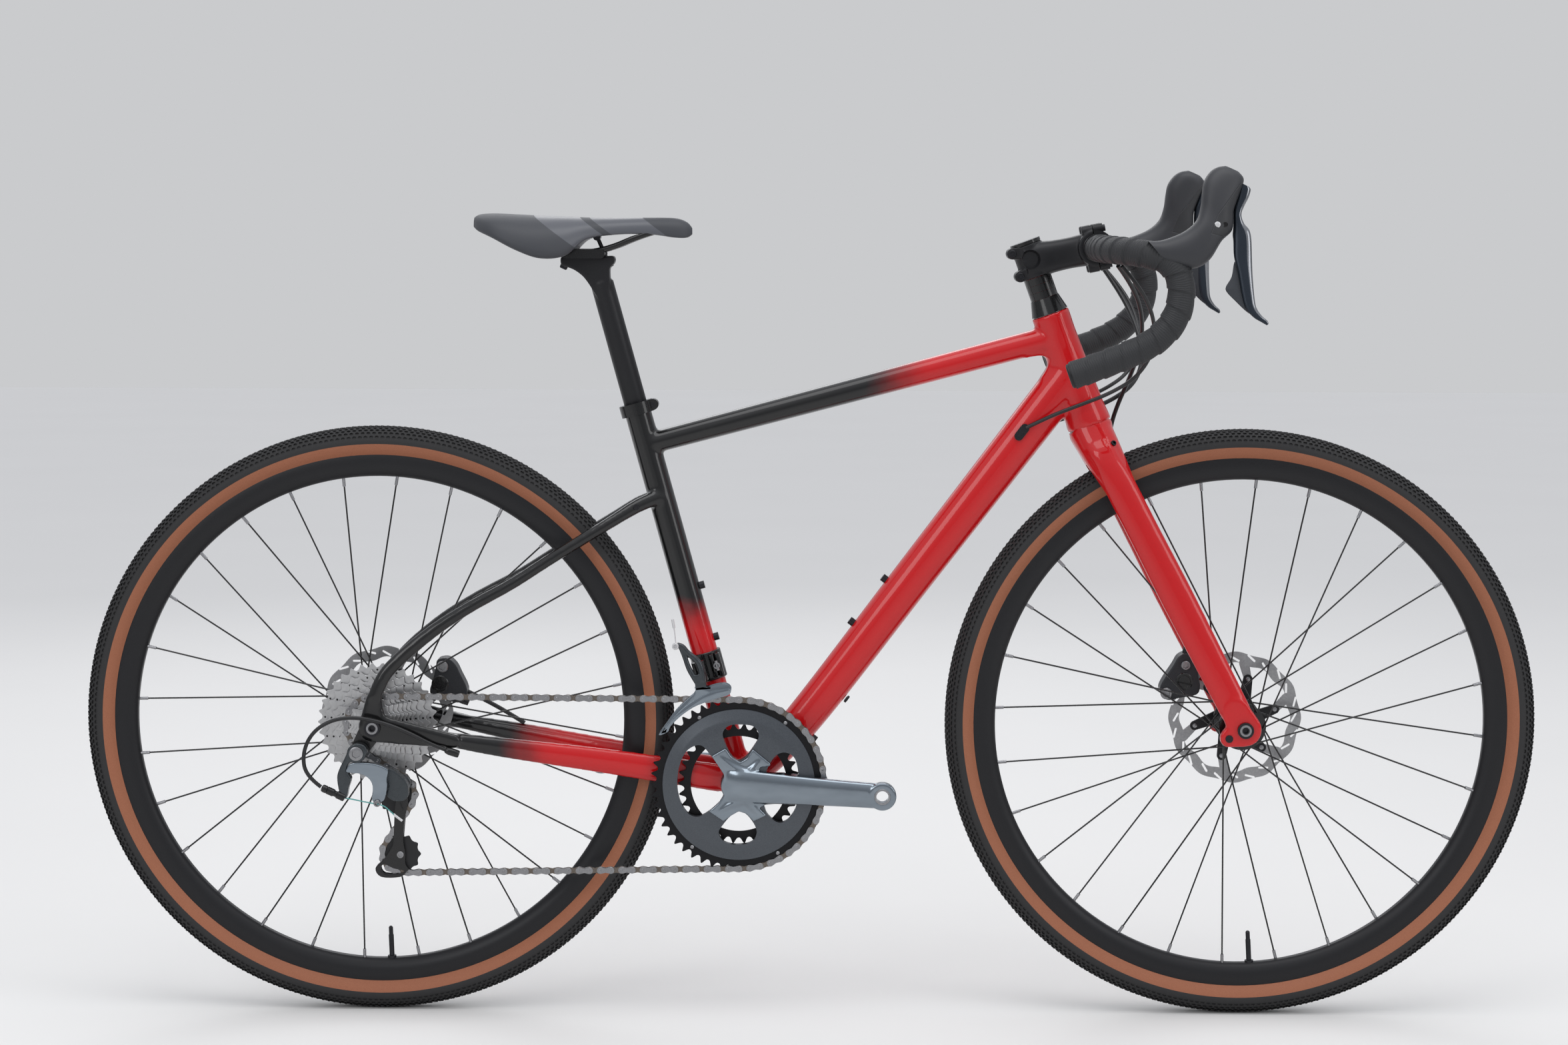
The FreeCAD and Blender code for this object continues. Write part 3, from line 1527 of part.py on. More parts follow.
def rear_derailleur():
    """Knuckle, link, cage knuckle, cage and pulleys."""
    rear, front, axis = link_frame()
    print("link axis", axis, "rear pivot", rear, "front pivot", front)
    print("cage axis", cage_axis(), "guide", guide_centre(), "tension", tension_centre())
    half_eye = link_eye_length / 2
    high = -rear_half - hanger_thickness
    low = high - knuckle_length
    bolt = hanger_point()
    lug_start = half_eye + body_gap
    rear_lug = rear + axis * lug_start
    front_lug = front + axis * lug_start
    lug_depth = axis * link_lug_thickness
    adjuster = at_place(bolt + Vec(-adjuster_back, 0, -adjuster_drop), low + knuckle_length / 3)
    shoulder = at_place(bolt, low + knuckle_length / 3)
    eye_rooms = [rod(p - axis * half_eye, p + axis * lug_start, link_eye_radius + body_gap) for p in (rear, front)]
    rear_arm = rod(shoulder, rear_lug + lug_depth * lug_arm_share, shoulder_arm_radius)
    knuckle = joined([
        disc(bolt, knuckle_radius, low, high),
        disc(bolt, knuckle_bolt_radius, low - knuckle_bolt_height, low),
        rod(rear_lug, rear_lug + lug_depth, link_lug_radius),
        rod(rear - axis * half_eye, rear_lug, link_pin_radius),
        rear_arm.cut(eye_rooms[0]),
        rod(shoulder, adjuster, knuckle_arm_radius),
        rod(adjuster, adjuster + Vec(-adjuster_length, 0, adjuster_length / 3), adjuster_radius),
    ])
    save("derailleur_knuckle", knuckle)
    along = unit(front - rear)
    eyes = [rod(p - axis * half_eye, p + axis * half_eye, link_eye_radius) for p in (rear, front)]
    anchor = front - axis * half_eye + Vec(-cable_bolt_length, 0, -cable_bolt_drop)
    link = joined(eyes + [
        rod(rear + along * link_pin_radius, front - along * link_pin_radius, link_bar_radius),
        rod(front - along * link_eye_radius, anchor, cable_arm_radius),
        rod(anchor - ACROSS * cable_bolt_length, anchor, cable_bolt_radius),
    ])
    pin_holes = [rod(p - axis * overrun, p + axis * overrun, link_pin_radius + running_gap) for p in (rear, front)]
    save("derailleur_link", link.cut(pin_holes))
    place = cog_place(chain_cog)
    outside = place - cage_plate_gap - cage_plate_thickness - body_gap
    barrel_end = at_place(cage_axis(), outside - cage_barrel_length / 2)
    body = joined([
        disc(cage_axis(), cage_barrel_radius, outside - cage_barrel_length, outside),
        rod(front_lug, front_lug + lug_depth, link_lug_radius),
        rod(front - axis * half_eye, front_lug, link_pin_radius),
        rod(barrel_end, front_lug + lug_depth * lug_arm_share, link_pin_radius).cut(eye_rooms[1]),
    ])
    save("cage_knuckle", body)
    plates = []
    for low_place in (place - cage_plate_gap - cage_plate_thickness, place + cage_plate_gap):
        high_place = low_place + cage_plate_thickness
        plates.append(pill(cage_axis(), tension_centre(), cage_top_radius, cage_foot_radius, low_place, high_place))
        plates.append(pill(cage_axis(), guide_centre(), cage_top_radius, cage_guide_radius, low_place, high_place))
    inside = place - cage_plate_gap - cage_plate_thickness
    for centre in (guide_centre(), tension_centre()):
        plates.append(disc(centre, pulley_pin_radius, inside, place + cage_plate_gap + cage_plate_thickness))
    save("derailleur_cage", joined(plates))
    for name, centre in (("guide_pulley", guide_centre()), ("tension_pulley", tension_centre())):
        half = pulley_thickness / 2
        wheel = sprocket(centre, pulley_teeth, place - half, place + half)
        boss = disc(centre, pulley_boss_radius, place - cage_plate_gap + body_gap, place + cage_plate_gap - body_gap)
        bore = disc(centre, pulley_pin_radius + running_gap, place - overrun, place + overrun)
        save(name, joined([wheel, boss]).cut(bore))


# Front derailleur

def swing_centre():
    """Pivot of the front derailleur's cage."""
    return at_place(on_seat_tube(band_height) - seat_ahead * swing_behind, -swing_back)


def front_derailleur():
    """Band clamp with its bracket, and the cage on its swinging arm."""
    low = on_seat_tube(band_height - band_length / 2)
    high = on_seat_tube(band_height + band_length / 2)
    band = rod(low, high, seat_tube_radius + band_wall)
    pivot = swing_centre()
    half = swing_length / 2
    root = on_seat_tube(band_height) - ACROSS * seat_tube_radius
    lug_centre = pivot + Vec(half + body_gap, 0, 0)
    bracket = rod(root, lug_centre + Vec(swing_arm_radius, 0, 0), swing_arm_radius)
    pin = rod(pivot - Vec(half, 0, 0), lug_centre + Vec(swing_arm_radius, 0, 0), swing_pin_radius)
    body = joined([band, bracket, pin]).cut(seat_core())
    save("front_derailleur_body", body)
    inner = pitch_radius(ring_teeth) + plate_radius + cage_clearance

    def plate(low_place, high_place):
        reach = [(cage_front_angle, cage_front_depth), (cage_middle_angle, cage_middle_depth),
                 (cage_tail_angle, cage_tail_depth)]
        outer_points = [bb + polar(inner + depth, angle) for angle, depth in reach]
        inner_points = [bb + polar(inner, angle) for angle, depth in reach]
        wire = Part.Wire([
            Part.Arc(*outer_points).toShape(),
            Part.makeLine(outer_points[2], inner_points[2]),
            Part.Arc(*inner_points[::-1]).toShape(),
            Part.makeLine(inner_points[0], outer_points[0]),
        ])
        return pushed(wire, low_place, high_place)

    outside = -ring_place - cage_half_inside
    inside = -ring_place + cage_half_inside
    pieces = [plate(outside - cage_plate, outside), plate(inside, inside + cage_plate)]
    for angle, depth, way in [(cage_front_angle, cage_front_depth, 1), (cage_tail_angle, cage_tail_depth, -1)]:
        corner = bb + polar(inner + depth - bridge_inset, angle + bridge_turn * way)
        tip = bb + polar(inner + depth - bridge_tip_inset, angle + bridge_tip_turn * way)
        pieces.append(pill(corner, tip, cage_plate, cage_plate, outside - cage_plate, inside + cage_plate))
    pieces.append(rod(pivot - Vec(half, 0, 0), pivot + Vec(half, 0, 0), swing_radius))
    hanger_end = at_place(bb + polar(inner + cage_middle_depth * hanger_depth_share, cage_middle_angle - hanger_turn), inside + cage_plate / 2)
    pieces.append(rod(pivot, hanger_end, swing_arm_radius))
    cable_end = pivot + Vec(-cable_arm_back, 0, cable_arm_rise)
    pieces.append(rod(pivot, cable_end, front_cable_arm_radius))
    pieces.append(rod(cable_end - ACROSS * swing_arm_radius, cable_end + ACROSS * swing_arm_radius, cable_bolt_radius))
    bore = rod(pivot - Vec(overrun, 0, 0), pivot + Vec(overrun, 0, 0), swing_pin_radius + running_gap)
    save("front_derailleur_cage", joined(pieces).cut(bore))


# Seat

def saddle_point(share, rise_share, place):
    """Point of the saddle's own box: along it from tail to nose, and up from its lowest edge."""
    nose = on_seat_tube(seat_tube_length + post_rise).x + saddle_nose_ahead
    floor = on_seat_tube(seat_tube_length + post_rise).z + saddle_rise
    return Vec(nose - saddle_length * (1 - share), place, floor + saddle_height * rise_share)


def saddle():
    """Padded saddle as a loft through arched sections."""
    wires = []
    for share, width, top, edge in saddle_station_shares:
        half = saddle_width / 2 * width
        under = max(edge, top - saddle_padding / saddle_height)
        flank = edge + (top - edge) * saddle_flank_share
        crown = edge + (top - edge) * saddle_crown_share
        low = (edge + under) / 2
        table = [
            (0, top), (half * crown_place_share, crown), (half * flank_place_share, flank),
            (half, edge + (top - edge) * rim_rise_share), (half * rim_place_share, edge),
            (half * crown_place_share, low), (0, under),
        ]
        table += [(-place, rise) for place, rise in reversed(table[1:-1])]
        curve = Part.BSplineCurve()
        curve.interpolate(Points=[saddle_point(share, rise, place) for place, rise in table], PeriodicFlag=True)
        wires.append(Part.Wire([curve.toShape()]))
    return lofted(wires)


def saddle_rail():
    """Right rail from the tail to the nose."""
    points = []
    last = len(rail_route_shares) - 1
    for number, (share, rise) in enumerate(rail_route_shares):
        spread = rail_nose_share if number == last else 1
        points.append(saddle_point(share, rise, -rail_half_spread * spread))
    return cord(points, rail_radius, "saddle rail")


def seat():
    """Seatpost, saddle clamp, rails and saddle."""
    low = on_seat_tube(seat_tube_length - post_insert)
    high = on_seat_tube(seat_tube_length + post_rise)
    shaft = rod(low, high, seatpost_radius).cut(rod(low - seat_up * overrun, high - seat_up * overrun,
                                                    seatpost_radius - post_wall))
    head_middle = high + Vec(0, 0, post_head_rise)
    half = post_head_width / 2
    rear_end = head_middle + Vec(-post_head_length + post_head_ahead + post_head_height, 0, 0)
    front_end = head_middle + Vec(post_head_ahead - post_head_height, 0, 0)
    cradle = pill(rear_end, front_end, post_head_height, post_head_height, -half, half)
    padding = saddle()
    rails = both_sides(saddle_rail())
    grips = []
    middle = saddle_point(rail_route_shares[rail_clamp_station][0], rail_route_shares[rail_clamp_station][1], 0)
    grip_half = Vec(saddle_clamp_length / 2, 0, 0)
    for side in (-1, 1):
        low_place, high_place = sorted([side * (rail_half_spread - saddle_clamp_width / 2),
                                        side * (rail_half_spread + saddle_clamp_width / 2)])
        grips.append(pill(middle - grip_half, middle + grip_half, saddle_clamp_height / 2, saddle_clamp_height / 2,
                          low_place, high_place))
    bridge_low = -rail_half_spread
    for end in (-1, 1):
        spot = middle + Vec(end * saddle_bolt_spacing / 2, 0, 0)
        grips.append(disc(spot, saddle_bolt_radius, bridge_low, -bridge_low))
    clamp = joined(grips).cut(rails)
    post = joined([shaft, cradle]).cut([clamp] + rails)
    save("seatpost", post)
    save("saddle_clamp", clamp.cut(padding))
    save("saddle_rails", [main_solid(r.cut(padding)) for r in rails])
    save("saddle", padding)


# Cockpit

def bar_centre():
    """Middle of the handlebar in its clamp."""
    return on_steerer(stem_low() + stem_clamp_height / 2) + polar(stem_length, stem_rise_angle)


def bar_points(first_place):
    """Route of the right half of the handlebar, from a place beside the stem to its end."""
    centre = bar_centre()
    points = [at_place(centre, -first_place)]
    for x, y, z in bar_route_shares:
        points.append(Vec(centre.x + bar_reach * x, -bar_half_width * y, centre.z + bar_drop * z))
    return points


def handlebar():
    """Drop bar with a thicker middle, and its tape."""
    route_points = bar_points(0)
    half = cord(route_points, bar_radius, "handlebar")
    bulge = disc(bar_centre(), bar_clamp_radius, -bar_bulge_half, bar_bulge_half)
    bar = joined(both_sides(half) + [bulge])
    save("handlebar", bar)
    tape_route = bar_points(tape_start)
    filled = cord(tape_route, tape_radius, "bar tape")
    inner = cord(tape_route, bar_radius, "bar tape bore")
    end = tape_route[-1]
    along = unit(end - tape_route[-2])
    plug = Part.makeCylinder(bar_plug_radius, bar_plug_length, end, along)
    save("bar_tape", both_sides(filled.cut(inner)) + both_sides(plug))
    return filled


def stem():
    """Stem body, faceplate and bolts."""
    centre = bar_centre()
    low = stem_low()
    middle = on_steerer(low + stem_clamp_height / 2)
    along = unit(centre - middle)
    over = Vec(-along.z, 0, along.x)
    clamp = rod(on_steerer(low), on_steerer(low + stem_clamp_height), steerer_radius + stem_clamp_wall)
    neck = oval_loft([middle, (middle + centre) / 2, centre],
                     [(stem_width / 2, stem_depth / 2)] * 3)
    grip = disc(centre, bar_clamp_radius + bar_clamp_wall, -bar_clamp_width / 2, bar_clamp_width / 2)
    lugs = []
    heads = []
    for rise in (-face_bolt_rise, face_bolt_rise):
        for place in (-face_bolt_half, face_bolt_half):
            foot = at_place(centre + over * rise - along * face_lug_length, place)
            tip = at_place(centre + over * rise + along * face_lug_length, place)
            lugs.append(rod(foot, tip, face_lug_radius))
            heads.append(Part.makeCylinder(stem_bolt_radius, stem_bolt_height, tip, along))
    ears = []
    for rise in (-stem_bolt_spacing / 2, stem_bolt_spacing / 2):
        spot = middle + steer_up * rise - steer_ahead * stem_bolt_back
        ears.append(disc(spot, stem_ear_radius, -stem_ear_width / 2, stem_ear_width / 2))
        ears.append(pill(spot, middle + steer_up * rise, stem_ear_radius, stem_ear_radius,
                         -stem_ear_width / 2, stem_ear_width / 2))
        heads.append(disc(spot, stem_bolt_radius, -stem_ear_width / 2 - stem_bolt_height, -stem_ear_width / 2))
    reach = bar_clamp_radius + bar_clamp_wall + overrun
    ahead = Part.makeCylinder(reach * 2, reach, centre + along * (face_gap / 2), along)
    behind = Part.makeCylinder(reach * 2, reach, centre - along * (face_gap / 2), along)
    bore = disc(centre, bar_clamp_radius, -bar_clamp_width, bar_clamp_width)
    steerer_bore = rod(on_steerer(low - overrun), on_steerer(steerer_top() + overrun), steerer_radius + seat_gap)
    save("stem", joined([clamp, neck, grip] + lugs + ears).cut([behind, bore, steerer_bore]))
    save("stem_faceplate", joined([grip] + lugs).common(ahead).cut(bore))
    save("steering_bolts", heads + fork_bolts())


def hood_stations(table, base, reach, rise, depth, width):
    """Points and half sizes of a loft on the right-hand hood or lever, from shares of its sizes."""
    points = []
    half_sizes = []
    for x, z, y, d, w in table:
        points.append(Vec(base.x + reach * x, -bar_half_width * y, base.z + rise * z))
        half_sizes.append((width / 2 * w, depth / 2 * d))
    return points, half_sizes


def lever_pivot():
    """Pivot of the brake lever, in the side view."""
    return bar_centre() + Vec(lever_pivot_reach, 0, lever_pivot_rise)


def blade_place(drop_share, inward):
    """Place across the bike of the right blade's middle, moved inward, at a share of the lever's length."""
    table = lever_station_shares
    for above, below in zip(table, table[1:]):
        if below[1] <= drop_share:
            break
    mix = (drop_share - above[1]) / (below[1] - above[1])
    place = above[2] + (below[2] - above[2]) * mix
    width = above[4] + (below[4] - above[4]) * mix
    return -bar_half_width * place + (lever_width / 2 * width + inward)


def shift_paddle(pivot):
    """Right shift paddle with its barrel, and the lug and pin on the lever that carry it."""
    inward = paddle_gap + paddle_barrel_radius
    ends = []
    for share in (paddle_top_share, paddle_low_share):
        spot = pivot + Vec(lever_length * paddle_axis_share, 0, lever_length * share)
        ends.append(at_place(spot, blade_place(share, inward)))
    along = unit(ends[1] - ends[0])
    lean = math.degrees(math.atan2(along.y, -along.z))
    corners = [pivot + Vec(lever_length * x, 0, lever_length * z) for x, z in paddle_outline_shares]
    plate = pushed(Part.makePolygon(corners + corners[:1]), -paddle_thickness / 2, paddle_thickness / 2)
    plate.translate(Vec(0, ends[0].y, 0))
    plate.rotate(ends[0], Vec(1, 0, 0), lean)
    barrel_end = ends[0] + along * paddle_barrel_length
    pin_start = ends[0] - along * (paddle_lug_radius + body_gap)
    paddle = joined([plate, rod(ends[0], barrel_end, paddle_barrel_radius)])
    room = rod(pin_start - along * paddle_lug_radius, ends[0], paddle_barrel_radius + body_gap)
    bore = rod(pin_start, barrel_end + along * overrun, paddle_pin_radius + running_gap)
    lug_end = pin_start - ACROSS * (inward + paddle_lug_radius)
    lug_room = rod(pin_start, lug_end, paddle_lug_radius + body_gap)
    paddle = main_solid(paddle.cut([room, bore, lug_room]))
    pin = rod(pin_start, barrel_end, paddle_pin_radius)
    lug = rod(pin_start, lug_end, paddle_lug_radius)
    print("paddle axis", ends[0], "along", along)
    return paddle, [pin, lug]


def levers(tape):
    """Hoods, brake levers and shift paddles of both sides."""
    points, half_sizes = hood_stations(hood_station_shares, bar_centre(), hood_reach, hood_rise, hood_depth, hood_width)
    hood = oval_loft(points, half_sizes)
    pivot = lever_pivot()
    points, half_sizes = hood_stations(lever_station_shares, pivot, lever_length, lever_length, lever_depth,
                                       lever_width)
    lever = oval_loft(points, half_sizes)
    fat_sizes = [(a + lever_slot_margin, b + lever_slot_margin) for a, b in half_sizes]
    slot = oval_loft(points, fat_sizes)
    slots = []
    for step in range(lever_slot_steps):
        slots.append(about_axis(slot, pivot, ACROSS, lever_travel * step / (lever_slot_steps - 1)))
    place = points[0].y
    pin = disc(pivot, lever_pin_radius, place - lever_pin_half, place + lever_pin_half)
    lever = lever.cut(disc(pivot, lever_pin_radius + running_gap, place - hood_width, place + hood_width))
    hood_body = joined([main_solid(hood.cut(slots + [tape])), pin])
    save("lever_hoods", both_sides(hood_body))
    paddle, carrier = shift_paddle(pivot)
    lever = joined([lever] + carrier)
    for side, copy in (("right", lambda s: s), ("left", mirrored)):
        save("brake_lever_" + side, copy(lever))
        save("shift_paddle_" + side, copy(paddle))


# Cables

def cables(filled, fork_body, stay_filled, tape):
    """Housings and hoses that the bike holds along their whole route."""
    ports = [cable_port(-1), cable_port(1)]
    housing = cord(route(shift_housing_route), housing_radius, "shift housing")
    away = filled + ports + both_sides(tape) + [fork_body]
    save("shift_housings", [main_solid(h.cut(away)) for h in both_sides(housing)])
    hose = cord(route(rear_hose_bar_route), hose_radius, "rear brake hose")
    save("rear_brake_hose", main_solid(hose.cut(away)))
    stay_hose = cord(route(rear_hose_stay_route), hose_radius, "rear brake hose at the stay")
    front = cord(route(front_hose_route), hose_radius, "front brake hose")
    save("front_brake_hose", main_solid(front.cut(away)))
    loop_points = route(rear_shift_route)
    loop = cord(loop_points, housing_radius, "rear shift housing")
    clip_end = loop_points[0] + unit(loop_points[1] - loop_points[0]) * stay_clip_length
    clip = rod(loop_points[0], clip_end, stay_clip_radius).cut(loop)
    stay_end = main_solid(stay_hose.cut(mirrored(stay_filled)))
    carriers = [stay_filled, dropout()]
    save("rear_cables", [main_solid(loop.cut(carriers)), main_solid(clip.cut(carriers)), stay_end])


def main():
    """Builds every node."""
    os.makedirs("parts", exist_ok=True)
    filled, stay_filled = frame()
    fork_body = fork()
    save("fork", fork_body)
    save("headset_spacers", headset_spacers())
    wheels(stay_filled, fork_body)
    save("cassette", cassette())
    save("chainrings", [outer_chainring()] + inner_chainring())
    save("right_crank", right_crank())
    save("left_crank", left_crank())
    save("chain", chain())
    rear_derailleur()
    front_derailleur()
    seat()
    tape = handlebar()
    stem()
    levers(tape)
    cables(filled, fork_body, stay_filled, tape)


main()
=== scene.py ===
"""Gravel bike: fine shapes, finishes and light round the fixed model."""

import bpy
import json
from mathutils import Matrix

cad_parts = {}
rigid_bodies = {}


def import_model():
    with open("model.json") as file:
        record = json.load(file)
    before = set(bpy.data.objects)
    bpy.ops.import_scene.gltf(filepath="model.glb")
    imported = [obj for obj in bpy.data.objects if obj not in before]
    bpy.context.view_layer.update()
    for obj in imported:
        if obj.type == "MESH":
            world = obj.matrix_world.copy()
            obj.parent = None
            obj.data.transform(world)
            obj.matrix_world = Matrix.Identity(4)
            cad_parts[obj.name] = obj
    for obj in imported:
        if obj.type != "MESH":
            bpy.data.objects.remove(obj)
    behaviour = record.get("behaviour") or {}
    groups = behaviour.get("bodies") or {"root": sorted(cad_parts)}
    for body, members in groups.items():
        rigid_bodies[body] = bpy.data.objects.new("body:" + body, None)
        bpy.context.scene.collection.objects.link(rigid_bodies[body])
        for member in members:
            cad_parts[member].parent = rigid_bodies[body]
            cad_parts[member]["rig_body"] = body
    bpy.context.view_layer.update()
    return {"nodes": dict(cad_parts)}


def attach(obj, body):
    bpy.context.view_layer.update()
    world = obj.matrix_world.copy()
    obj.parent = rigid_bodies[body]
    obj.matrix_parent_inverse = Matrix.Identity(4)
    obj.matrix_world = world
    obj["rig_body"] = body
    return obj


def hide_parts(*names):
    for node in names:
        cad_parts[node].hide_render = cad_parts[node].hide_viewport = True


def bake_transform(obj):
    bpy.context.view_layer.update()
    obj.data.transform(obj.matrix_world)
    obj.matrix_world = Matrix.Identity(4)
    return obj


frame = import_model()

import json
import logging
import math
from dataclasses import dataclass
from enum import Enum
from typing import Callable, Dict, Iterator, List, Sequence, Tuple

import bmesh
import bpy
from bpy.types import Material, Mesh, Node, NodeSocket, NodeTree, Object
from mathutils import Matrix, Vector

LOG = logging.getLogger("gravel_bike")
MM = 0.001
ACROSS = Vector((0, 1, 0))
UP = Vector((0, 0, 1))
AHEAD = Vector((1, 0, 0))
CHAIN_PITCH = 12.7
Colour = Tuple[float, float, float, float]
Spot = Tuple[float, float, float]
Pair = Tuple[float, float]
Spots = Tuple[Pair, ...]
Table = Tuple[Tuple[float, ...], ...]
Rows = List[Tuple[float, ...]]
Ring = Sequence[Vector]
Mark = Callable[[int, int], int]


def shade(red: int, green: int, blue: int) -> Colour:
    """Linear colour of one written in 0 to 255."""
    def linear(value: int) -> float:
        """Linear value of one channel."""
        share = value / 255
        return share / 12.92 if share <= 0.04045 else ((share + 0.055) / 1.055) ** 2.4
    return (linear(red), linear(green), linear(blue), 1.0)


def polar(radius: float, degrees: float) -> Vector:
    """Point of the side view at a radius and an angle, counted from +X towards +Z."""
    turn = math.radians(degrees)
    return Vector((radius * math.cos(turn), 0, radius * math.sin(turn)))


def placed(point: Vector, place: float) -> Vector:
    """The same point of the side view at another place across the bike."""
    return Vector((point.x, place, point.z))


def side_point(spot: Sequence[float]) -> Vector:
    """Point of the side view from its x and z in millimetres."""
    return Vector((spot[0], 0, spot[1]))


class Side(Enum):
    """Side of the bike. Its value turns a place on the right into one on this side."""

    RIGHT = 1
    LEFT = -1

    @property
    def label(self) -> str:
        """The side in the names of pieces."""
        return self.name.lower()

    def point(self, spot: Sequence[float]) -> Vector:
        """Point of the right side, on this side."""
        return Vector((spot[0], spot[1] * self.value, spot[2]))

    def rings(self, rings: Sequence[Ring]) -> List[List[Vector]]:
        """Rings of the right side, on this side."""
        return [[self.point(p) for p in ring] for ring in rings]

    def span(self, first: float, last: float) -> List[float]:
        """Two places across the right side, on this side, the lower first."""
        return sorted((first * self.value, last * self.value))


@dataclass(frozen=True)
class Layout:
    """Main points of the bike, in millimetres and degrees."""

    wheel_base: float = 1025.0
    tyre_radius: float = 351.0
    chainstay: float = 435.0
    bb_drop: float = 70.0
    head_angle: float = 70.0
    seat_angle: float = 74.5
    fork_offset: float = 50.0
    head_low: float = 395.5
    stem_low: float = 582.1
    stem_half: float = 20.0
    stem_reach: float = 76.0
    stem_rise: float = 11.6
    rear_half: float = 71.0
    front_half: float = 50.0
    seat_length: float = 464.0
    ring_teeth: int = 50
    pulley_teeth: int = 11
    ring_place: float = -47.0
    cog_place: float = -54.15
    cage_pivot: Spot = (31.3, 0.0, -68.0)
    guide_offset: Spot = (-7.0, 0.0, -14.0)
    tension_offset: Spot = (-2.0, 0.0, -86.0)

    @property
    def rear_axle(self) -> Vector:
        """Rear axle in the side view."""
        return Vector((-self.wheel_base / 2, 0, self.tyre_radius))

    @property
    def front_axle(self) -> Vector:
        """Front axle in the side view."""
        return Vector((self.wheel_base / 2, 0, self.tyre_radius))

    @property
    def bb(self) -> Vector:
        """Centre of the bottom bracket."""
        ahead = math.sqrt(self.chainstay ** 2 - self.bb_drop ** 2)
        return self.rear_axle + Vector((ahead, 0, -self.bb_drop))

    @property
    def steer_up(self) -> Vector:
        """Direction of the steering axis."""
        return polar(1, 180 - self.head_angle)

    @property
    def steer_ahead(self) -> Vector:
        """Direction square to the steering axis, forward."""
        return polar(1, 90 - self.head_angle)

    @property
    def seat_up(self) -> Vector:
        """Direction of the seat tube."""
        return polar(1, 180 - self.seat_angle)

    @property
    def seat_ahead(self) -> Vector:
        """Direction square to the seat tube, forward."""
        return polar(1, 90 - self.seat_angle)

    @property
    def stem(self) -> Vector:
        """Middle of the stem's clamp on the steerer."""
        return self.on_steerer(self.stem_low + self.stem_half)

    @property
    def bar(self) -> Vector:
        """Middle of the handlebar."""
        return self.stem + polar(self.stem_reach, self.stem_rise)

    @property
    def guide(self) -> Vector:
        """Axle of the guide pulley in the side view."""
        return self.rear_axle + Vector(self.cage_pivot) + Vector(self.guide_offset)

    @property
    def tension(self) -> Vector:
        """Axle of the tension pulley in the side view."""
        return self.rear_axle + Vector(self.cage_pivot) + Vector(self.tension_offset)

    def on_steerer(self, height: float) -> Vector:
        """Point on the steering axis."""
        return self.front_axle - self.steer_ahead * self.fork_offset + self.steer_up * height

    def on_seat(self, height: float) -> Vector:
        """Point on the seat tube's axis."""
        return self.bb + self.seat_up * height


LAY = Layout()


class Nodes:
    """Node tree with short ways to add and link its nodes."""

    def __init__(self, tree: NodeTree) -> None:
        """Holds the tree."""
        self.tree = tree

    def add(self, kind: str, values: Dict[object, object], **options: object) -> Node:
        """Adds a node.

        Args:
            kind: Node type.
            values: Input name or number to a value or a socket.
            options: Node properties.

        Returns:
            The node.
        """
        node = self.tree.nodes.new(kind)
        for key, value in options.items():
            setattr(node, key, value)
        for key, value in values.items():
            self.put(node.inputs[key], value)
        return node

    def put(self, target: NodeSocket, value: object) -> None:
        """Links a socket to an input, or sets its value."""
        if isinstance(value, NodeSocket):
            self.tree.links.new(value, target)
        else:
            target.default_value = value


class Graph(Nodes):
    """Node tree of one material."""

    def __init__(self, name: str) -> None:
        """Starts a material with its shader.

        Args:
            name: Name of the material.
        """
        self.material = bpy.data.materials.new(name)
        self.material.use_nodes = True
        super().__init__(self.material.node_tree)
        self.shader = self.tree.nodes["Principled BSDF"]
        self.spot = self.add("ShaderNodeTexCoord", {}).outputs["Object"]

    def dress(self, label: str, value: object) -> None:
        """Sets or links an input of the shader."""
        self.put(self.shader.inputs[label], value)

    def noise(self, scale: float, stretch: Sequence[float] = (1, 1, 1), detail: float = 4) -> NodeSocket:
        """Noise value in stretched object space."""
        lay = self.add("ShaderNodeMapping", {"Vector": self.spot, "Scale": stretch}).outputs[0]
        return self.add("ShaderNodeTexNoise", {"Vector": lay, "Scale": scale, "Detail": detail}).outputs[0]

    def span(self, value: NodeSocket, low: float, high: float, start: float = 0.3, stop: float = 0.7,
             smooth: bool = False) -> NodeSocket:
        """Maps a value from start and stop to low and high.

        Args:
            value: Socket to map.
            low: Result at start.
            high: Result at stop.
            start: First value.
            stop: Last value.
            smooth: Eases both ends.

        Returns:
            The mapped socket.
        """
        values = {0: value, 1: start, 2: stop, 3: low, 4: high}
        kind = "SMOOTHSTEP" if smooth else "LINEAR"
        return self.add("ShaderNodeMapRange", values, interpolation_type=kind).outputs[0]

    def math(self, operation: str, first: object, second: object = 0.0) -> NodeSocket:
        """Result of one sum."""
        return self.add("ShaderNodeMath", {0: first, 1: second}, operation=operation).outputs[0]

    def mix(self, share: object, first: object, second: object) -> NodeSocket:
        """Colour between two."""
        return self.add("ShaderNodeMix", {0: share, 6: first, 7: second}, data_type="RGBA").outputs[2]

    def parts(self) -> List[NodeSocket]:
        """X, Y and Z of the object coordinates."""
        return list(self.add("ShaderNodeSeparateXYZ", {0: self.spot}).outputs)

    def bump(self, height: NodeSocket, depth: float, strength: float = 0.6) -> None:
        """Raises the surface by a height map, in metres."""
        node = self.add("ShaderNodeBump", {"Height": height, "Distance": depth, "Strength": strength})
        self.dress("Normal", node.outputs[0])


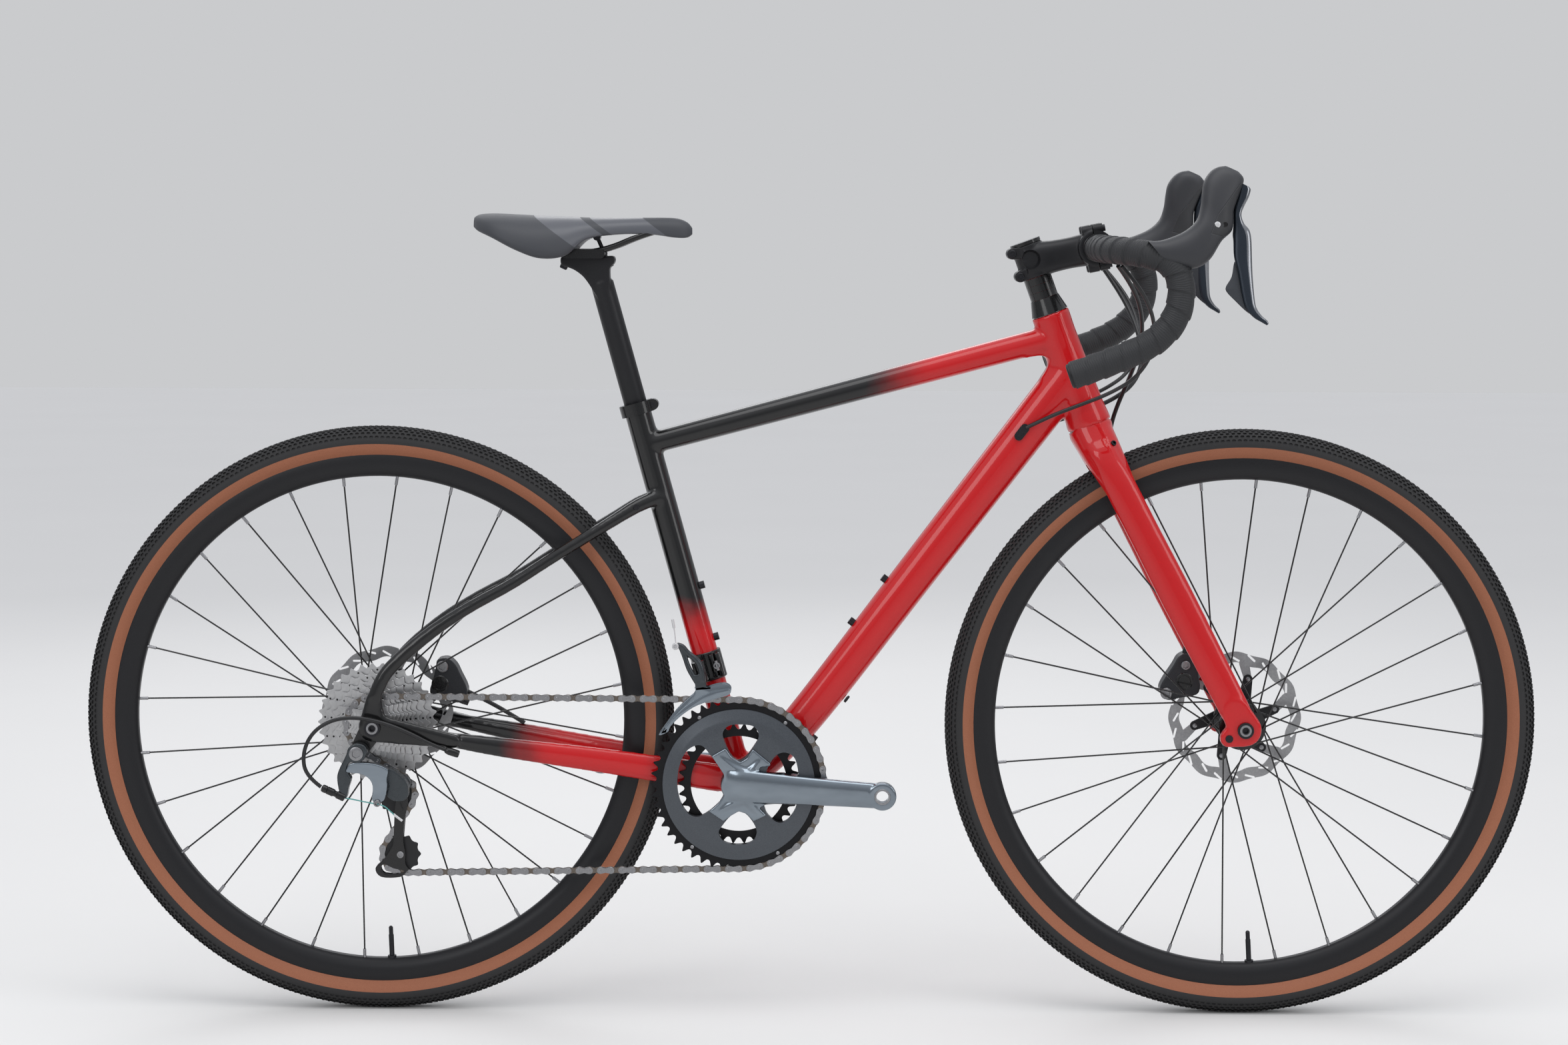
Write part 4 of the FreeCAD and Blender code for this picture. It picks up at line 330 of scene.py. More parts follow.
@dataclass(frozen=True)
class Finish:
    """A surface with a fine grain in its colour, gloss and relief."""

    name: str
    colour: Colour
    tint: Colour
    rough: Pair = (0.35, 0.5)
    metallic: float = 0.0
    grain: float = 900.0
    depth: float = 0.0
    coat: float = 0.0
    coat_rough: float = 0.05
    specular: float = 0.5
    stretch: Spot = (1.0, 1.0, 1.0)

    def material(self) -> Material:
        """The material, made once."""
        title = self.name + "_finish"
        known = bpy.data.materials.get(title)
        if known:
            return known
        graph = Graph(title)
        grain = graph.noise(self.grain, self.stretch)
        graph.dress("Base Color", self.colouring(graph, grain))
        graph.dress("Roughness", self.gloss(graph, grain))
        graph.dress("Metallic", self.metallic)
        graph.dress("Coat Weight", self.coat)
        graph.dress("Coat Roughness", self.coat_rough)
        graph.dress("Specular IOR Level", self.specular)
        self.relief(graph, grain)
        return graph.material

    def colouring(self, graph: Graph, grain: NodeSocket) -> NodeSocket:
        """Colour of the surface."""
        return graph.mix(graph.span(grain, 0, 1), self.colour, self.tint)

    def gloss(self, graph: Graph, grain: NodeSocket) -> NodeSocket:
        """Roughness of the surface."""
        return graph.span(grain, *self.rough)

    def relief(self, graph: Graph, grain: NodeSocket) -> None:
        """Fine bumps, where the finish has any."""
        if self.depth:
            graph.bump(grain, self.depth)


@dataclass(frozen=True)
class FadePaint(Finish):
    """Gloss paint that fades from one colour to another towards the saddle and the rear wheel.

    Places are in metres.
    """

    dark: Colour = (0.0, 0.0, 0.0, 1.0)
    top_fade: Pair = (0.150, 0.062)
    top_above: float = 0.62
    seat_fade: Pair = (0.455, 0.502)
    seat_behind: float = -0.06
    stay_fade: Pair = (-0.295, -0.37)
    cloud_grain: float = 34.0
    cloud: float = 0.006

    def colouring(self, graph: Graph, grain: NodeSocket) -> NodeSocket:
        """Red towards black along each tube."""
        x, _, z = graph.parts()
        cloud = graph.span(graph.noise(self.cloud_grain), -self.cloud, self.cloud)
        along = graph.math("ADD", x, cloud)
        height = graph.math("ADD", z, cloud)
        top = graph.math("MULTIPLY", graph.span(along, 0, 1, *self.top_fade, smooth=True),
                         graph.math("GREATER_THAN", z, self.top_above))
        seat = graph.math("MULTIPLY", graph.span(height, 0, 1, *self.seat_fade, smooth=True),
                          graph.math("LESS_THAN", x, self.seat_behind))
        stay = graph.span(along, 0, 1, *self.stay_fade, smooth=True)
        dark = graph.math("MAXIMUM", graph.math("MAXIMUM", top, seat), stay)
        return graph.mix(dark, super().colouring(graph, grain), self.dark)


@dataclass(frozen=True)
class TapeWrap(Finish):
    """Cushioned wrap with fine waved ribs."""

    wave: float = 5.0
    wave_detail: float = 0.6
    strength: float = 0.5

    def relief(self, graph: Graph, grain: NodeSocket) -> None:
        """Waved ribs that follow the wrap's own map."""
        lay = graph.add("ShaderNodeUVMap", {}).outputs[0]
        values = {"Vector": lay, "Scale": 1.0, "Distortion": self.wave, "Detail": 1.0,
                  "Detail Scale": self.wave_detail}
        ribs = graph.add("ShaderNodeTexWave", values, bands_direction="X").outputs[1]
        graph.bump(graph.math("ADD", ribs, grain), self.depth, self.strength)


@dataclass(frozen=True)
class SaddleCover(Finish):
    """Matt cover with satin side panels between slanted seams. The panels' lighter colour is partly their own
    tone and partly painted sheen.
    """

    satin: Colour = (0.3, 0.3, 0.3, 1.0)
    slant: float = 1.35
    shine: float = 0.2
    panels: Spots = ((0.0, 1.0),)

    def panel(self, graph: Graph) -> NodeSocket:
        """One inside the satin panels, else nothing."""
        x, _, z = graph.parts()
        line = graph.math("ADD", x, graph.math("MULTIPLY", z, self.slant))
        inside = None
        for start, stop in self.panels:
            band = graph.math("MULTIPLY", graph.math("GREATER_THAN", line, start),
                              graph.math("LESS_THAN", line, stop))
            inside = band if inside is None else graph.math("ADD", inside, band)
        return inside

    def colouring(self, graph: Graph, grain: NodeSocket) -> NodeSocket:
        """Matt and satin parts; the lighter satin colour is partly own tone, partly painted sheen."""
        return graph.mix(self.panel(graph), super().colouring(graph, grain), self.satin)

    def gloss(self, graph: Graph, grain: NodeSocket) -> NodeSocket:
        """Satin parts shine more."""
        drop = graph.math("MULTIPLY", self.panel(graph), self.shine)
        return graph.math("SUBTRACT", super().gloss(graph, grain), drop)


@dataclass(frozen=True)
class HoodSkin(Finish):
    """Soft rubber with a panel of hard plastic inside a seam, in metres."""

    hard: Colour = (0.02, 0.02, 0.02, 1.0)
    edges: Table = ()
    seam: float = 0.0002
    groove: float = 0.0009
    groove_rise: float = 12.0

    def inside(self, graph: Graph) -> NodeSocket:
        """Distance into the panel, from the lines through each edge's point, square to its direction."""
        x, _, z = graph.parts()
        depth = None
        for edge_x, edge_z, way_x, way_z in self.edges:
            across = graph.math("MULTIPLY", graph.math("SUBTRACT", x, edge_x), way_x)
            rise = graph.math("MULTIPLY", graph.math("SUBTRACT", z, edge_z), way_z)
            far = graph.math("ADD", across, rise)
            depth = far if depth is None else graph.math("MINIMUM", depth, far)
        return depth

    def colouring(self, graph: Graph, grain: NodeSocket) -> NodeSocket:
        """Rubber and plastic."""
        share = graph.span(self.inside(graph), 0, 1, -self.seam, self.seam)
        return graph.mix(share, super().colouring(graph, grain), self.hard)

    def relief(self, graph: Graph, grain: NodeSocket) -> None:
        """Fine grain and the groove of the seam."""
        far = graph.math("ABSOLUTE", self.inside(graph))
        groove = graph.span(far, 0, self.groove_rise, 0, self.groove, True)
        graph.bump(graph.math("ADD", groove, grain), self.depth)


RED, RED_TINT = shade(186, 6, 13), shade(194, 9, 17)
PAINT = FadePaint("frame_paint_fade", RED, RED_TINT, (0.3, 0.36), coat=0.7, coat_rough=0.03, specular=0.2,
                  dark=shade(9, 9, 10))
FORK_PAINT = Finish("fork_paint_red", RED, RED_TINT, (0.3, 0.36), coat=0.7, coat_rough=0.03, specular=0.2)
GLOSS_BLACK = Finish("gloss_black", shade(10, 10, 11), shade(14, 14, 15), (0.22, 0.3), grain=700, coat=0.4,
                     specular=0.3)
SATIN_BLACK = Finish("satin_black_metal", shade(24, 24, 26), shade(31, 31, 34), (0.36, 0.46), 0.3, 1500,
                     0.00003, specular=0.4)
BLACK_PLASTIC = Finish("black_plastic", shade(22, 22, 24), shade(28, 28, 30), (0.42, 0.55), grain=1800,
                       depth=0.00006, specular=0.4)
CABLE_JACKET = Finish("cable_jacket", shade(17, 17, 19), shade(24, 24, 26), (0.3, 0.4), grain=800)
HOOD_SKIN = HoodSkin("hood_skin", shade(40, 41, 45), shade(47, 48, 52), (0.46, 0.56), grain=2200,
                     depth=0.00008, hard=shade(38, 39, 42), edges=(
                         (0.4526, 0.9542, 0.795, -0.606), (0.4526, 0.9542, 0.936, -0.353),
                         (0.4448, 0.9335, 0.247, 0.969)))
LEVER_SIDE = Finish("lever_side", shade(36, 43, 52), shade(41, 48, 57), (0.3, 0.4), 0.6, 1100)
# Light metal colour along each lever's front edge: a painted highlight.
LEVER_HIGHLIGHT = Finish("lever_edge", shade(120, 122, 126), shade(134, 136, 140), (0.14, 0.22), 1.0)
PADDLE_GREY = Finish("paddle_grey", shade(46, 49, 54), shade(53, 56, 61), (0.38, 0.48), 0.3, 1400, 0.00003)
TREAD = Finish("tread_rubber", shade(28, 28, 30), shade(40, 39, 39), (0.62, 0.78), grain=700, depth=0.00015)
TAN_WALL = Finish("tan_sidewall", shade(158, 98, 68), shade(140, 84, 58), (0.58, 0.7), grain=1400,
                  depth=0.00012)
STEEL = Finish("steel", shade(150, 150, 152), shade(134, 134, 136), (0.26, 0.38), 1.0)
ROTOR_STEEL = Finish("rotor_steel", shade(160, 160, 161), shade(148, 148, 150), (0.32, 0.42), 1.0, 500)
COG_STEEL = Finish("cog_steel", shade(186, 186, 186), shade(178, 178, 179), (0.3, 0.38), 0.9, 260)
POLISHED = Finish("polished_alloy", shade(134, 143, 151), shade(126, 135, 143), (0.14, 0.2), 1.0, 90,
                  stretch=(0.3, 1.0, 1.0))
GREY_ALLOY = Finish("grey_alloy", shade(66, 70, 73), shade(71, 75, 78), (0.24, 0.32), 0.8, 220)
BOLT = Finish("bolt_steel", shade(160, 160, 162), shade(130, 130, 133), (0.24, 0.36), 1.0)
DARK_BOLT = Finish("dark_bolt", shade(40, 40, 43), shade(52, 52, 55), (0.28, 0.4), 0.8)
CALIPER_GREY = Finish("caliper_grey", shade(44, 45, 48), shade(54, 55, 58), (0.34, 0.46), 0.6, 1100, 0.00003)
CHAIN_BROWN = Finish("inner_plate_steel", shade(120, 112, 104), shade(100, 93, 87), (0.3, 0.42), 1.0)
RING_BLACK = Finish("ring_black", shade(22, 22, 24), shade(30, 30, 32), (0.34, 0.46), 0.7)
COVER_GREY = Finish("ring_cover_grey", shade(78, 82, 87), shade(88, 92, 97), (0.3, 0.4), 0.75)
TAPE = TapeWrap("bar_wrap", shade(30, 31, 33), shade(38, 39, 42), (0.56, 0.68), depth=0.0006)
# The satin colour, lighter than the matt one, is partly the panels' own tone and partly painted sheen.
COVER = SaddleCover("saddle_cover", shade(52, 54, 59), shade(58, 60, 65), (0.5, 0.62), grain=1600,
                    depth=0.00012, satin=shade(80, 82, 88), panels=((0.958, 1.009), (1.020, 1.082)))
TEAL = Finish("inner_cable", shade(96, 160, 156), shade(80, 146, 142), (0.35, 0.45), 0.4)
WHITE_CAP = Finish("cable_end", shade(214, 214, 214), shade(196, 196, 198), (0.3, 0.4), 0.4)


def spline(rows: Rows, steps: int) -> Rows:
    """Smooth rows through given rows of numbers.

    Args:
        rows: Rows to pass through.
        steps: Parts between two rows.

    Returns:
        The finer rows.
    """
    def between(a: float, b: float, c: float, d: float, t: float) -> float:
        """Value at a share of the way from b to c."""
        bend = (2 * a - 5 * b + 4 * c - d) * t * t + (3 * b - a - 3 * c + d) * t ** 3
        return 0.5 * (2 * b + (c - a) * t + bend)
    fine = []
    last = len(rows) - 1
    for number in range(last):
        near = [rows[min(max(number + shift, 0), last)] for shift in (-1, 0, 1, 2)]
        for step in range(steps):
            fine.append(tuple(between(*values, step / steps) for values in zip(*near)))
    return fine + [tuple(rows[last])]


def oval(centre: Vector, along: Vector, half_side: float, half_other: float, side: Vector, count: int = 32,
         power: float = 2.0) -> List[Vector]:
    """Closed ring of points square to a direction.

    Args:
        centre: Middle of the ring.
        along: Direction through the ring.
        half_side: Half size along side.
        half_other: Half size across it.
        side: Direction of the first half size.
        count: Points of the ring.
        power: Two for an oval, more for a boxier form.

    Returns:
        The ring's points.
    """
    tangent = along.normalized()
    first = (side - tangent * side.dot(tangent)).normalized()
    second = tangent.cross(first)
    return [centre + first * (half_side * c) + second * (half_other * s) for c, s in loop(count, power)]


def loop(count: int, power: float) -> Iterator[Pair]:
    """Both shares of each point of a unit ring, boxier with a higher power."""
    for number in range(count):
        turn = math.tau * number / count
        c, s = math.cos(turn), math.sin(turn)
        yield math.copysign(abs(c) ** (2 / power), c), math.copysign(abs(s) ** (2 / power), s)


def headings(points: Ring) -> List[Vector]:
    """Direction of travel at each point of a path."""
    last = len(points) - 1
    return [points[min(i + 1, last)] - points[max(i - 1, 0)] for i in range(last + 1)]


def path_length(path: Ring) -> float:
    """Length along a path's points."""
    return sum((b - a).length for a, b in zip(path, path[1:]))


def plain(row: int, column: int) -> int:
    """First finish for every face."""
    return 0


class Shape:
    """Points and faces of one mesh, in millimetres."""

    def __init__(self) -> None:
        """Starts with nothing."""
        self.points: List[Vector] = []
        self.faces: List[Tuple[int, ...]] = []
        self.marks: List[int] = []

    def face(self, corners: Sequence[int], mark: int = 0) -> None:
        """Adds one face with its finish number."""
        self.faces.append(tuple(corners))
        self.marks.append(mark)

    def loft(self, rings: Sequence[Ring], cap: bool = True, closed: bool = False, mark: Mark = plain) -> None:
        """Adds a skin through rings of the same count.

        Args:
            rings: Rings of points.
            cap: Closes both ends with a fan.
            closed: Joins the last ring to the first.
            mark: Finish number of each face, by its row and column.
        """
        base = len(self.points)
        count = len(rings[0])
        for ring in rings:
            self.points.extend(ring)
        rows = len(rings)
        for row in range(rows if closed else rows - 1):
            here, there = base + row * count, base + (row + 1) % rows * count
            for i in range(count):
                j = (i + 1) % count
                self.face((here + i, here + j, there + j, there + i), mark(row, i))
        if cap and not closed:
            for ring_start, ring, turn in ((base, rings[0], -1), (base + (rows - 1) * count, rings[-1], 1)):
                middle = len(self.points)
                self.points.append(sum(ring, Vector()) / count)
                for i in range(count):
                    corners = (ring_start + i, ring_start + (i + 1) % count, middle)
                    self.face(corners[::turn], mark(0 if turn < 0 else rows - 2, i))

    def rows(self, rows: Rows, count: int = 32, power: float = 2.0) -> None:
        """Adds a loft through rows of x, y, z, half size across the bike and half size square to it."""
        points = [Vector(r[:3]) for r in rows]
        ways = headings(points)
        self.loft([oval(p, w, *r[3:5], ACROSS, count, power) for p, w, r in zip(points, ways, rows)])

    def lathe(self, profile: Sequence[Pair], origin: Vector, axis: Vector, count: int = 64,
              closed: bool = True, mark: Mark = plain) -> None:
        """Turns a profile round an axis.

        Args:
            profile: Radius and place along the axis of each point.
            origin: Point on the axis.
            axis: Direction of the axis.
            count: Steps round the axis.
            closed: Joins the profile's ends.
            mark: Finish number of each face, by its row and column.
        """
        across = axis.cross(UP if abs(axis.dot(UP)) < 0.9 else AHEAD).normalized()
        rings = [oval(origin + axis * place, axis, radius, radius, across, count)
                 for radius, place in profile]
        self.loft(rings, not closed, closed, mark)

    def drum(self, radius: float, low: float, high: float, origin: Vector, axis: Vector,
             count: int = 40) -> None:
        """Adds a round drum between two places along an axis."""
        self.lathe([(radius, low), (radius, high)], origin, axis, count, False)

    def prism(self, outline: Ring, low: float, high: float) -> None:
        """Pushes an outline of the side view across the bike."""
        area = sum(a.x * b.z - b.x * a.z for a, b in zip(outline, list(outline[1:]) + [outline[0]]))
        line = outline if area < 0 else outline[::-1]
        base = len(self.points)
        count = len(line)
        self.points.extend([placed(p, low) for p in line] + [placed(p, high) for p in line])
        self.face(range(base + count - 1, base - 1, -1))
        self.face(range(base + count, base + count * 2))
        for i in range(count):
            j = (i + 1) % count
            self.face((base + i, base + j, base + count + j, base + count + i))

    def tube(self, path: Ring, radius: Callable[[float], float], count: int = 16) -> None:
        """Adds a round tube along a path, with its radius as a function of its share."""
        ways = headings(path)
        side = ACROSS if abs(ways[0].normalized().dot(ACROSS)) < 0.8 else UP
        rings = []
        last = len(path) - 1
        for number, (point, way) in enumerate(zip(path, ways)):
            tangent = way.normalized()
            side = (side - tangent * side.dot(tangent)).normalized()
            size = radius(number / last)
            rings.append(oval(point, way, size, size, side, count))
        self.loft(rings)

    def wire(self, path: Ring, radius: float, count: int = 10) -> None:
        """Adds a round wire of one radius along a path."""
        self.tube(path, lambda share: radius, count)

    def piece(self, name: str, *finishes: Finish, angle: float = 30.0) -> Object:
        """Makes the mesh object.

        Args:
            name: Name of the piece.
            finishes: Finishes by number.
            angle: Edges flatter than this many degrees are smooth.

        Returns:
            The object, at the origin.
        """
        mesh = bpy.data.meshes.new(name)
        mesh.from_pydata([p * MM for p in self.points], [], self.faces)
        for finish in finishes:
            mesh.materials.append(finish.material())
        mesh.polygons.foreach_set("material_index", self.marks)
        tidy(mesh, angle)
        return shown(name, mesh)


def tidy(mesh: Mesh, angle: float) -> None:
    """Turns faces outward and smooths edges flatter than an angle."""
    work = bmesh.new()
    work.from_mesh(mesh)
    bmesh.ops.recalc_face_normals(work, faces=work.faces)
    work.to_mesh(mesh)
    work.free()
    mesh.polygons.foreach_set("use_smooth", [True] * len(mesh.polygons))
    mesh.set_sharp_from_angle(angle=math.radians(angle))


def shown(name: str, data: bpy.types.ID) -> Object:
    """Object of a mesh, curve, lamp or camera in the scene."""
    piece = bpy.data.objects.new(name, data)
    bpy.context.scene.collection.objects.link(piece)
    return piece


def baked(piece: Object) -> Mesh:
    """Plain mesh of an object with its modifiers."""
    bpy.context.view_layer.update()
    return bpy.data.meshes.new_from_object(piece.evaluated_get(bpy.context.evaluated_depsgraph_get()))


def settled(piece: Object, angle: float) -> Object:
    """Applies a piece's modifiers to its mesh.

    Args:
        piece: Object with modifiers.
        angle: Smoothing angle.

    Returns:
        The same object with a plain mesh.
    """
    mesh = baked(piece)
    old = piece.data
    piece.modifiers.clear()
    piece.data = mesh
    bpy.data.meshes.remove(old)
    tidy(mesh, angle)
    return piece


def eased(piece: Object, width: float) -> Object:
    """Rounds a piece's edges by a width in millimetres."""
    bevel = piece.modifiers.new("eased_edges", "BEVEL")
    bevel.width = width * MM
    bevel.segments = 2
    bevel.limit_method = "ANGLE"
    bevel.angle_limit = math.radians(35)
    bevel.harden_normals = False
    return settled(piece, 40)


def melted(piece: Object, voxel: float, passes: int) -> Object:
    """Joins a piece's overlapping skins into one skin with soft corners.

    Args:
        piece: Object of overlapping closed skins.
        voxel: Mesh size in millimetres.
        passes: Smoothing passes.

    Returns:
        The same object.
    """
    remesh = piece.modifiers.new("one_skin", "REMESH")
    remesh.mode = "VOXEL"
    remesh.voxel_size = voxel * MM
    smooth = piece.modifiers.new("soft_corners", "SMOOTH")
    smooth.factor = 0.5
    smooth.iterations = passes
    finish = piece.data.materials[0]
    settled(piece, 60)
    piece.data.materials.clear()
    piece.data.materials.append(finish)
    return piece


def bored(piece: Object, tool: Shape) -> Object:
    """Cuts a shape out of a piece, whose first finish lines the cut."""
    cutter = tool.piece("bore_tool")
    cutter.data.materials.append(piece.data.materials[0])
    cut = piece.modifiers.new("bore", "BOOLEAN")
    cut.operation = "DIFFERENCE"
    cut.solver = "EXACT"
    cut.object = cutter
    settled(piece, 50)
    bpy.data.objects.remove(cutter)
    return piece


def drilled(piece: Object, profile: Sequence[Pair], origin: Vector, axis: Vector, count: int = 40) -> Object:
    """Cuts a turned form out of a piece."""
    tool = Shape()
    tool.lathe(profile, origin, axis, count, False)
    return bored(piece, tool)


def copied(node: str, finish: Finish) -> Object:
    """Merged copy of a node's mesh, with smooth faces and a finish."""
    mesh = frame["nodes"][node].data.copy()
    mesh.materials.clear()
    work = bmesh.new()
    work.from_mesh(mesh)
    bmesh.ops.remove_doubles(work, verts=work.verts, dist=0.002 * MM)
    for polygon in work.faces:
        polygon.material_index = 0
        polygon.smooth = True
    work.to_mesh(mesh)
    work.free()
    if "custom_normal" in mesh.attributes:
        mesh.attributes.remove(mesh.attributes["custom_normal"])
    mesh.set_sharp_from_angle(angle=math.radians(32))
    mesh.materials.append(finish.material())
    return shown(node + "_dressed", mesh)


def fitted(piece: Object, body: str, slot: str, *nodes: str) -> Object:
    """Sets a finished piece on its body.

    Args:
        piece: Finished object.
        body: Body that carries it.
        slot: Material slot of the record; not used.
        nodes: Nodes that it stands for.

    Returns:
        The same object.
    """
    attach(piece, body)
    if nodes:
        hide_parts(*nodes)
    LOG.info("%s on %s", piece.name, body)
    return piece


class Tree(Nodes):
    """Geometry node tree with named inputs, run on one object at a time."""

    def __init__(self, name: str, entries: Dict[str, str]) -> None:
        """Starts a tree.

        Args:
            name: Name of the tree.
            entries: Input name to socket type.
        """
        super().__init__(bpy.data.node_groups.new(name, "GeometryNodeTree"))
        face = self.tree.interface
        face.new_socket("Geometry", in_out="INPUT", socket_type="NodeSocketGeometry")
        face.new_socket("Geometry", in_out="OUTPUT", socket_type="NodeSocketGeometry")
        for entry, kind in entries.items():
            face.new_socket(entry, in_out="INPUT", socket_type=kind)
        self.source = self.add("NodeGroupInput", {}).outputs
        self.sink = self.add("NodeGroupOutput", {}).inputs

    def close(self, geometry: NodeSocket) -> None:
        """Ends the tree in real faces of one finish."""
        real = self.add("GeometryNodeRealizeInstances", {0: geometry})
        dressed = self.add("GeometryNodeSetMaterial",
                           {"Geometry": real.outputs[0], "Material": self.source["Finish"]})
        self.put(self.sink[0], dressed.outputs[0])

    def run(self, piece: Object, values: Dict[str, object], angle: float) -> Object:
        """Runs the tree on an object and keeps the result as a plain mesh.

        Args:
            piece: Object to change.
            values: Input name to value.
            angle: Smoothing angle of the result.

        Returns:
            The same object.
        """
        modifier = piece.modifiers.new(self.tree.name, "NODES")
        modifier.node_group = self.tree
        for item in self.tree.interface.items_tree:
            if item.item_type == "SOCKET" and item.in_out == "INPUT" and item.name in values:
                modifier[item.identifier] = values[item.name]
        return settled(piece, angle)


class ScatterTree(Tree):
    """Sets a piece on every point of a mesh, turned by the facing and along attributes."""

    def __init__(self) -> None:
        """Builds the tree."""
        super().__init__("scatter", {"Piece": "NodeSocketObject", "Size": "NodeSocketFloat",
                                     "Finish": "NodeSocketMaterial"})
        ways = [self.add("GeometryNodeInputNamedAttribute", {"Name": label}, data_type="FLOAT_VECTOR")
                for label in ("facing", "along")]
        turn = self.add("FunctionNodeAxesToRotation", {0: ways[0].outputs[0], 1: ways[1].outputs[0]},
                        primary_axis="Z", secondary_axis="X")
        item = self.add("GeometryNodeObjectInfo", {"Object": self.source["Piece"]},
                        transform_space="ORIGINAL")
        copies = self.add("GeometryNodeInstanceOnPoints", {
            "Points": self.source["Geometry"], "Instance": item.outputs["Geometry"],
            "Rotation": turn.outputs[0], "Scale": self.source["Size"]})
        self.close(copies.outputs[0])

    def spread(self, name: str, spots: Sequence[Tuple[Vector, Vector, Vector]], item: Shape, finish: Finish,
               angle: float = 35.0) -> Object:
        """Repeats a shape on many spots.

        Args:
            name: Name of the result.
            spots: Place in millimetres, facing and along of each copy.
            item: Shape with its own Z facing outward.
            finish: Finish of the copies.
            angle: Smoothing angle.

        Returns:
            The finished object.
        """
        mesh = bpy.data.meshes.new(name)
        mesh.from_pydata([spot * MM for spot, _, _ in spots], [], [])
        for number, label in ((1, "facing"), (2, "along")):
            layer = mesh.attributes.new(label, "FLOAT_VECTOR", "POINT")
            layer.data.foreach_set("vector", [value for row in spots for value in row[number]])
        model = item.piece(name + "_model", finish, angle=angle)
        piece = self.run(shown(name, mesh), {"Piece": model, "Size": 1.0, "Finish": finish.material()}, angle)
        bpy.data.objects.remove(model)
        return piece


class RodTree(Tree):
    """Makes a round rod of every edge."""

    def __init__(self) -> None:
        """Builds the tree."""
        super().__init__("rods", {"Radius": "NodeSocketFloat", "Sides": "NodeSocketInt",
                                  "Finish": "NodeSocketMaterial"})
        lines = self.add("GeometryNodeMeshToCurve", {0: self.source["Geometry"]})
        ring = self.add("GeometryNodeCurvePrimitiveCircle", {"Resolution": self.source["Sides"],
                                                             "Radius": self.source["Radius"]})
        rods = self.add("GeometryNodeCurveToMesh", {
            "Curve": lines.outputs[0], "Profile Curve": ring.outputs[0], "Fill Caps": True})
        self.close(rods.outputs[0])

    def rods(self, name: str, lines: Sequence[Tuple[Vector, Vector]], radius: float,
             finish: Finish) -> Object:
        """Rods between pairs of points, in millimetres."""
        mesh = bpy.data.meshes.new(name)
        ends = [end * MM for line in lines for end in line]
        mesh.from_pydata(ends, [(i, i + 1) for i in range(0, len(ends), 2)], [])
        values = {"Radius": radius * MM, "Sides": 8, "Finish": finish.material()}
        return self.run(shown(name, mesh), values, 50)


SCATTER = ScatterTree()
RODS = RodTree()


def stud(profile: Sequence[Pair], count: int) -> Shape:
    """Small turned form on its own Z, to be repeated, from radius and height of each ring."""
    shape = Shape()
    shape.loft([oval(UP * rise, UP, radius, radius, AHEAD, count) for radius, rise in profile])
    return shape


def pill_outline(a: Vector, b: Vector, radius_a: float, radius_b: float, steps: int = 14) -> List[Vector]:
    """Outline round two circles of the side view."""
    reach = b - a
    heading = math.degrees(math.atan2(reach.z, reach.x))
    open_angle = math.degrees(math.acos((radius_a - radius_b) / reach.length))
    outline = []
    for centre, radius, start, stop in ((b, radius_b, -open_angle, open_angle),
                                        (a, radius_a, open_angle, 360 - open_angle)):
        for step in range(steps + 1):
            outline.append(centre + polar(radius, heading + start + (stop - start) * step / steps))
    return outline


def side_points(spots: Sequence[Pair]) -> List[Vector]:
    """Points of the side view from pairs of x and z in millimetres."""
    return [side_point(spot) for spot in spots]


def rounded(spots: Sequence[Pair], steps: int = 3) -> List[Vector]:
    """Smooth closed outline through pairs of x and z."""
    around = [spots[-1]] + list(spots) + list(spots[:2])
    return side_points(spline(around, steps)[steps:-steps - 1])


def spline_object(name: str, route: Sequence[Sequence[float]], resolution: int = 12) -> Object:
    """Curve object with a smooth spline on a route's control points, in millimetres."""
    curve = bpy.data.curves.new(name, "CURVE")
    curve.dimensions = "3D"
    curve.resolution_u = resolution
    line = curve.splines.new("NURBS")
    line.points.add(len(route) - 1)
    for point, spot in zip(line.points, route):
        point.co = (spot[0] * MM, spot[1] * MM, spot[2] * MM, 1)
    line.order_u = 3
    line.use_endpoint_u = True
    return shown(name, curve)


def line_points(name: str, route: Sequence[Sequence[float]], resolution: int = 12) -> List[Vector]:
    """Points of the smooth spline of a route.

    Args:
        name: Name of the curve.
        route: Control points in millimetres.
        resolution: Points between two control points.

    Returns:
        Points along the spline, in millimetres.
    """
    holder = spline_object(name, route, resolution)
    mesh = baked(holder)
    points = [v.co / MM for v in mesh.vertices]
    bpy.data.meshes.remove(mesh)
    curve = holder.data
    bpy.data.objects.remove(holder)
    bpy.data.curves.remove(curve)
    return points


def socket_bolt(shape: Shape, spot: Vector, way: Vector, radius: float, height: float) -> None:
    """Adds a bolt head with a six-sided socket.

    Args:
        shape: Shape that gets the bolt.
        spot: Seat of the head.
        way: Direction from the seat outward.
        radius: Radius of the head.
        height: Height of the head.
    """
    side = AHEAD if abs(way.dot(AHEAD)) < 0.8 else UP
    count, flat = 24, math.pi / 6
    rings = []
    for share, rise, six in ((1, -0.3, False), (1, 0.75, False), (0.86, 1, False), (0.56, 1, True),
                             (0.52, 0.25, True)):
        middle = spot + way * (height * rise)
        ring = oval(middle, way, radius * share, radius * share, side, count)
        if six:
            ring = [middle + (p - middle) / math.cos((math.tau * i / count + flat) % (2 * flat) - flat)
                    for i, p in enumerate(ring)]
        rings.append(ring)
    shape.loft(rings)


TOOTH: Spots = (
    (0.0, 3.1), (0.05, 3.0), (0.12, 1.6), (0.2, -0.4), (0.3, -2.6), (0.4, -3.6), (0.5, -3.85), (0.6, -3.6),
    (0.7, -2.6), (0.8, -0.4), (0.88, 1.6), (0.95, 3.0))


def pitch_radius(teeth: int) -> float:
    """Radius of the chain's pins on a toothed wheel."""
    return CHAIN_PITCH / (2 * math.sin(math.pi / teeth))


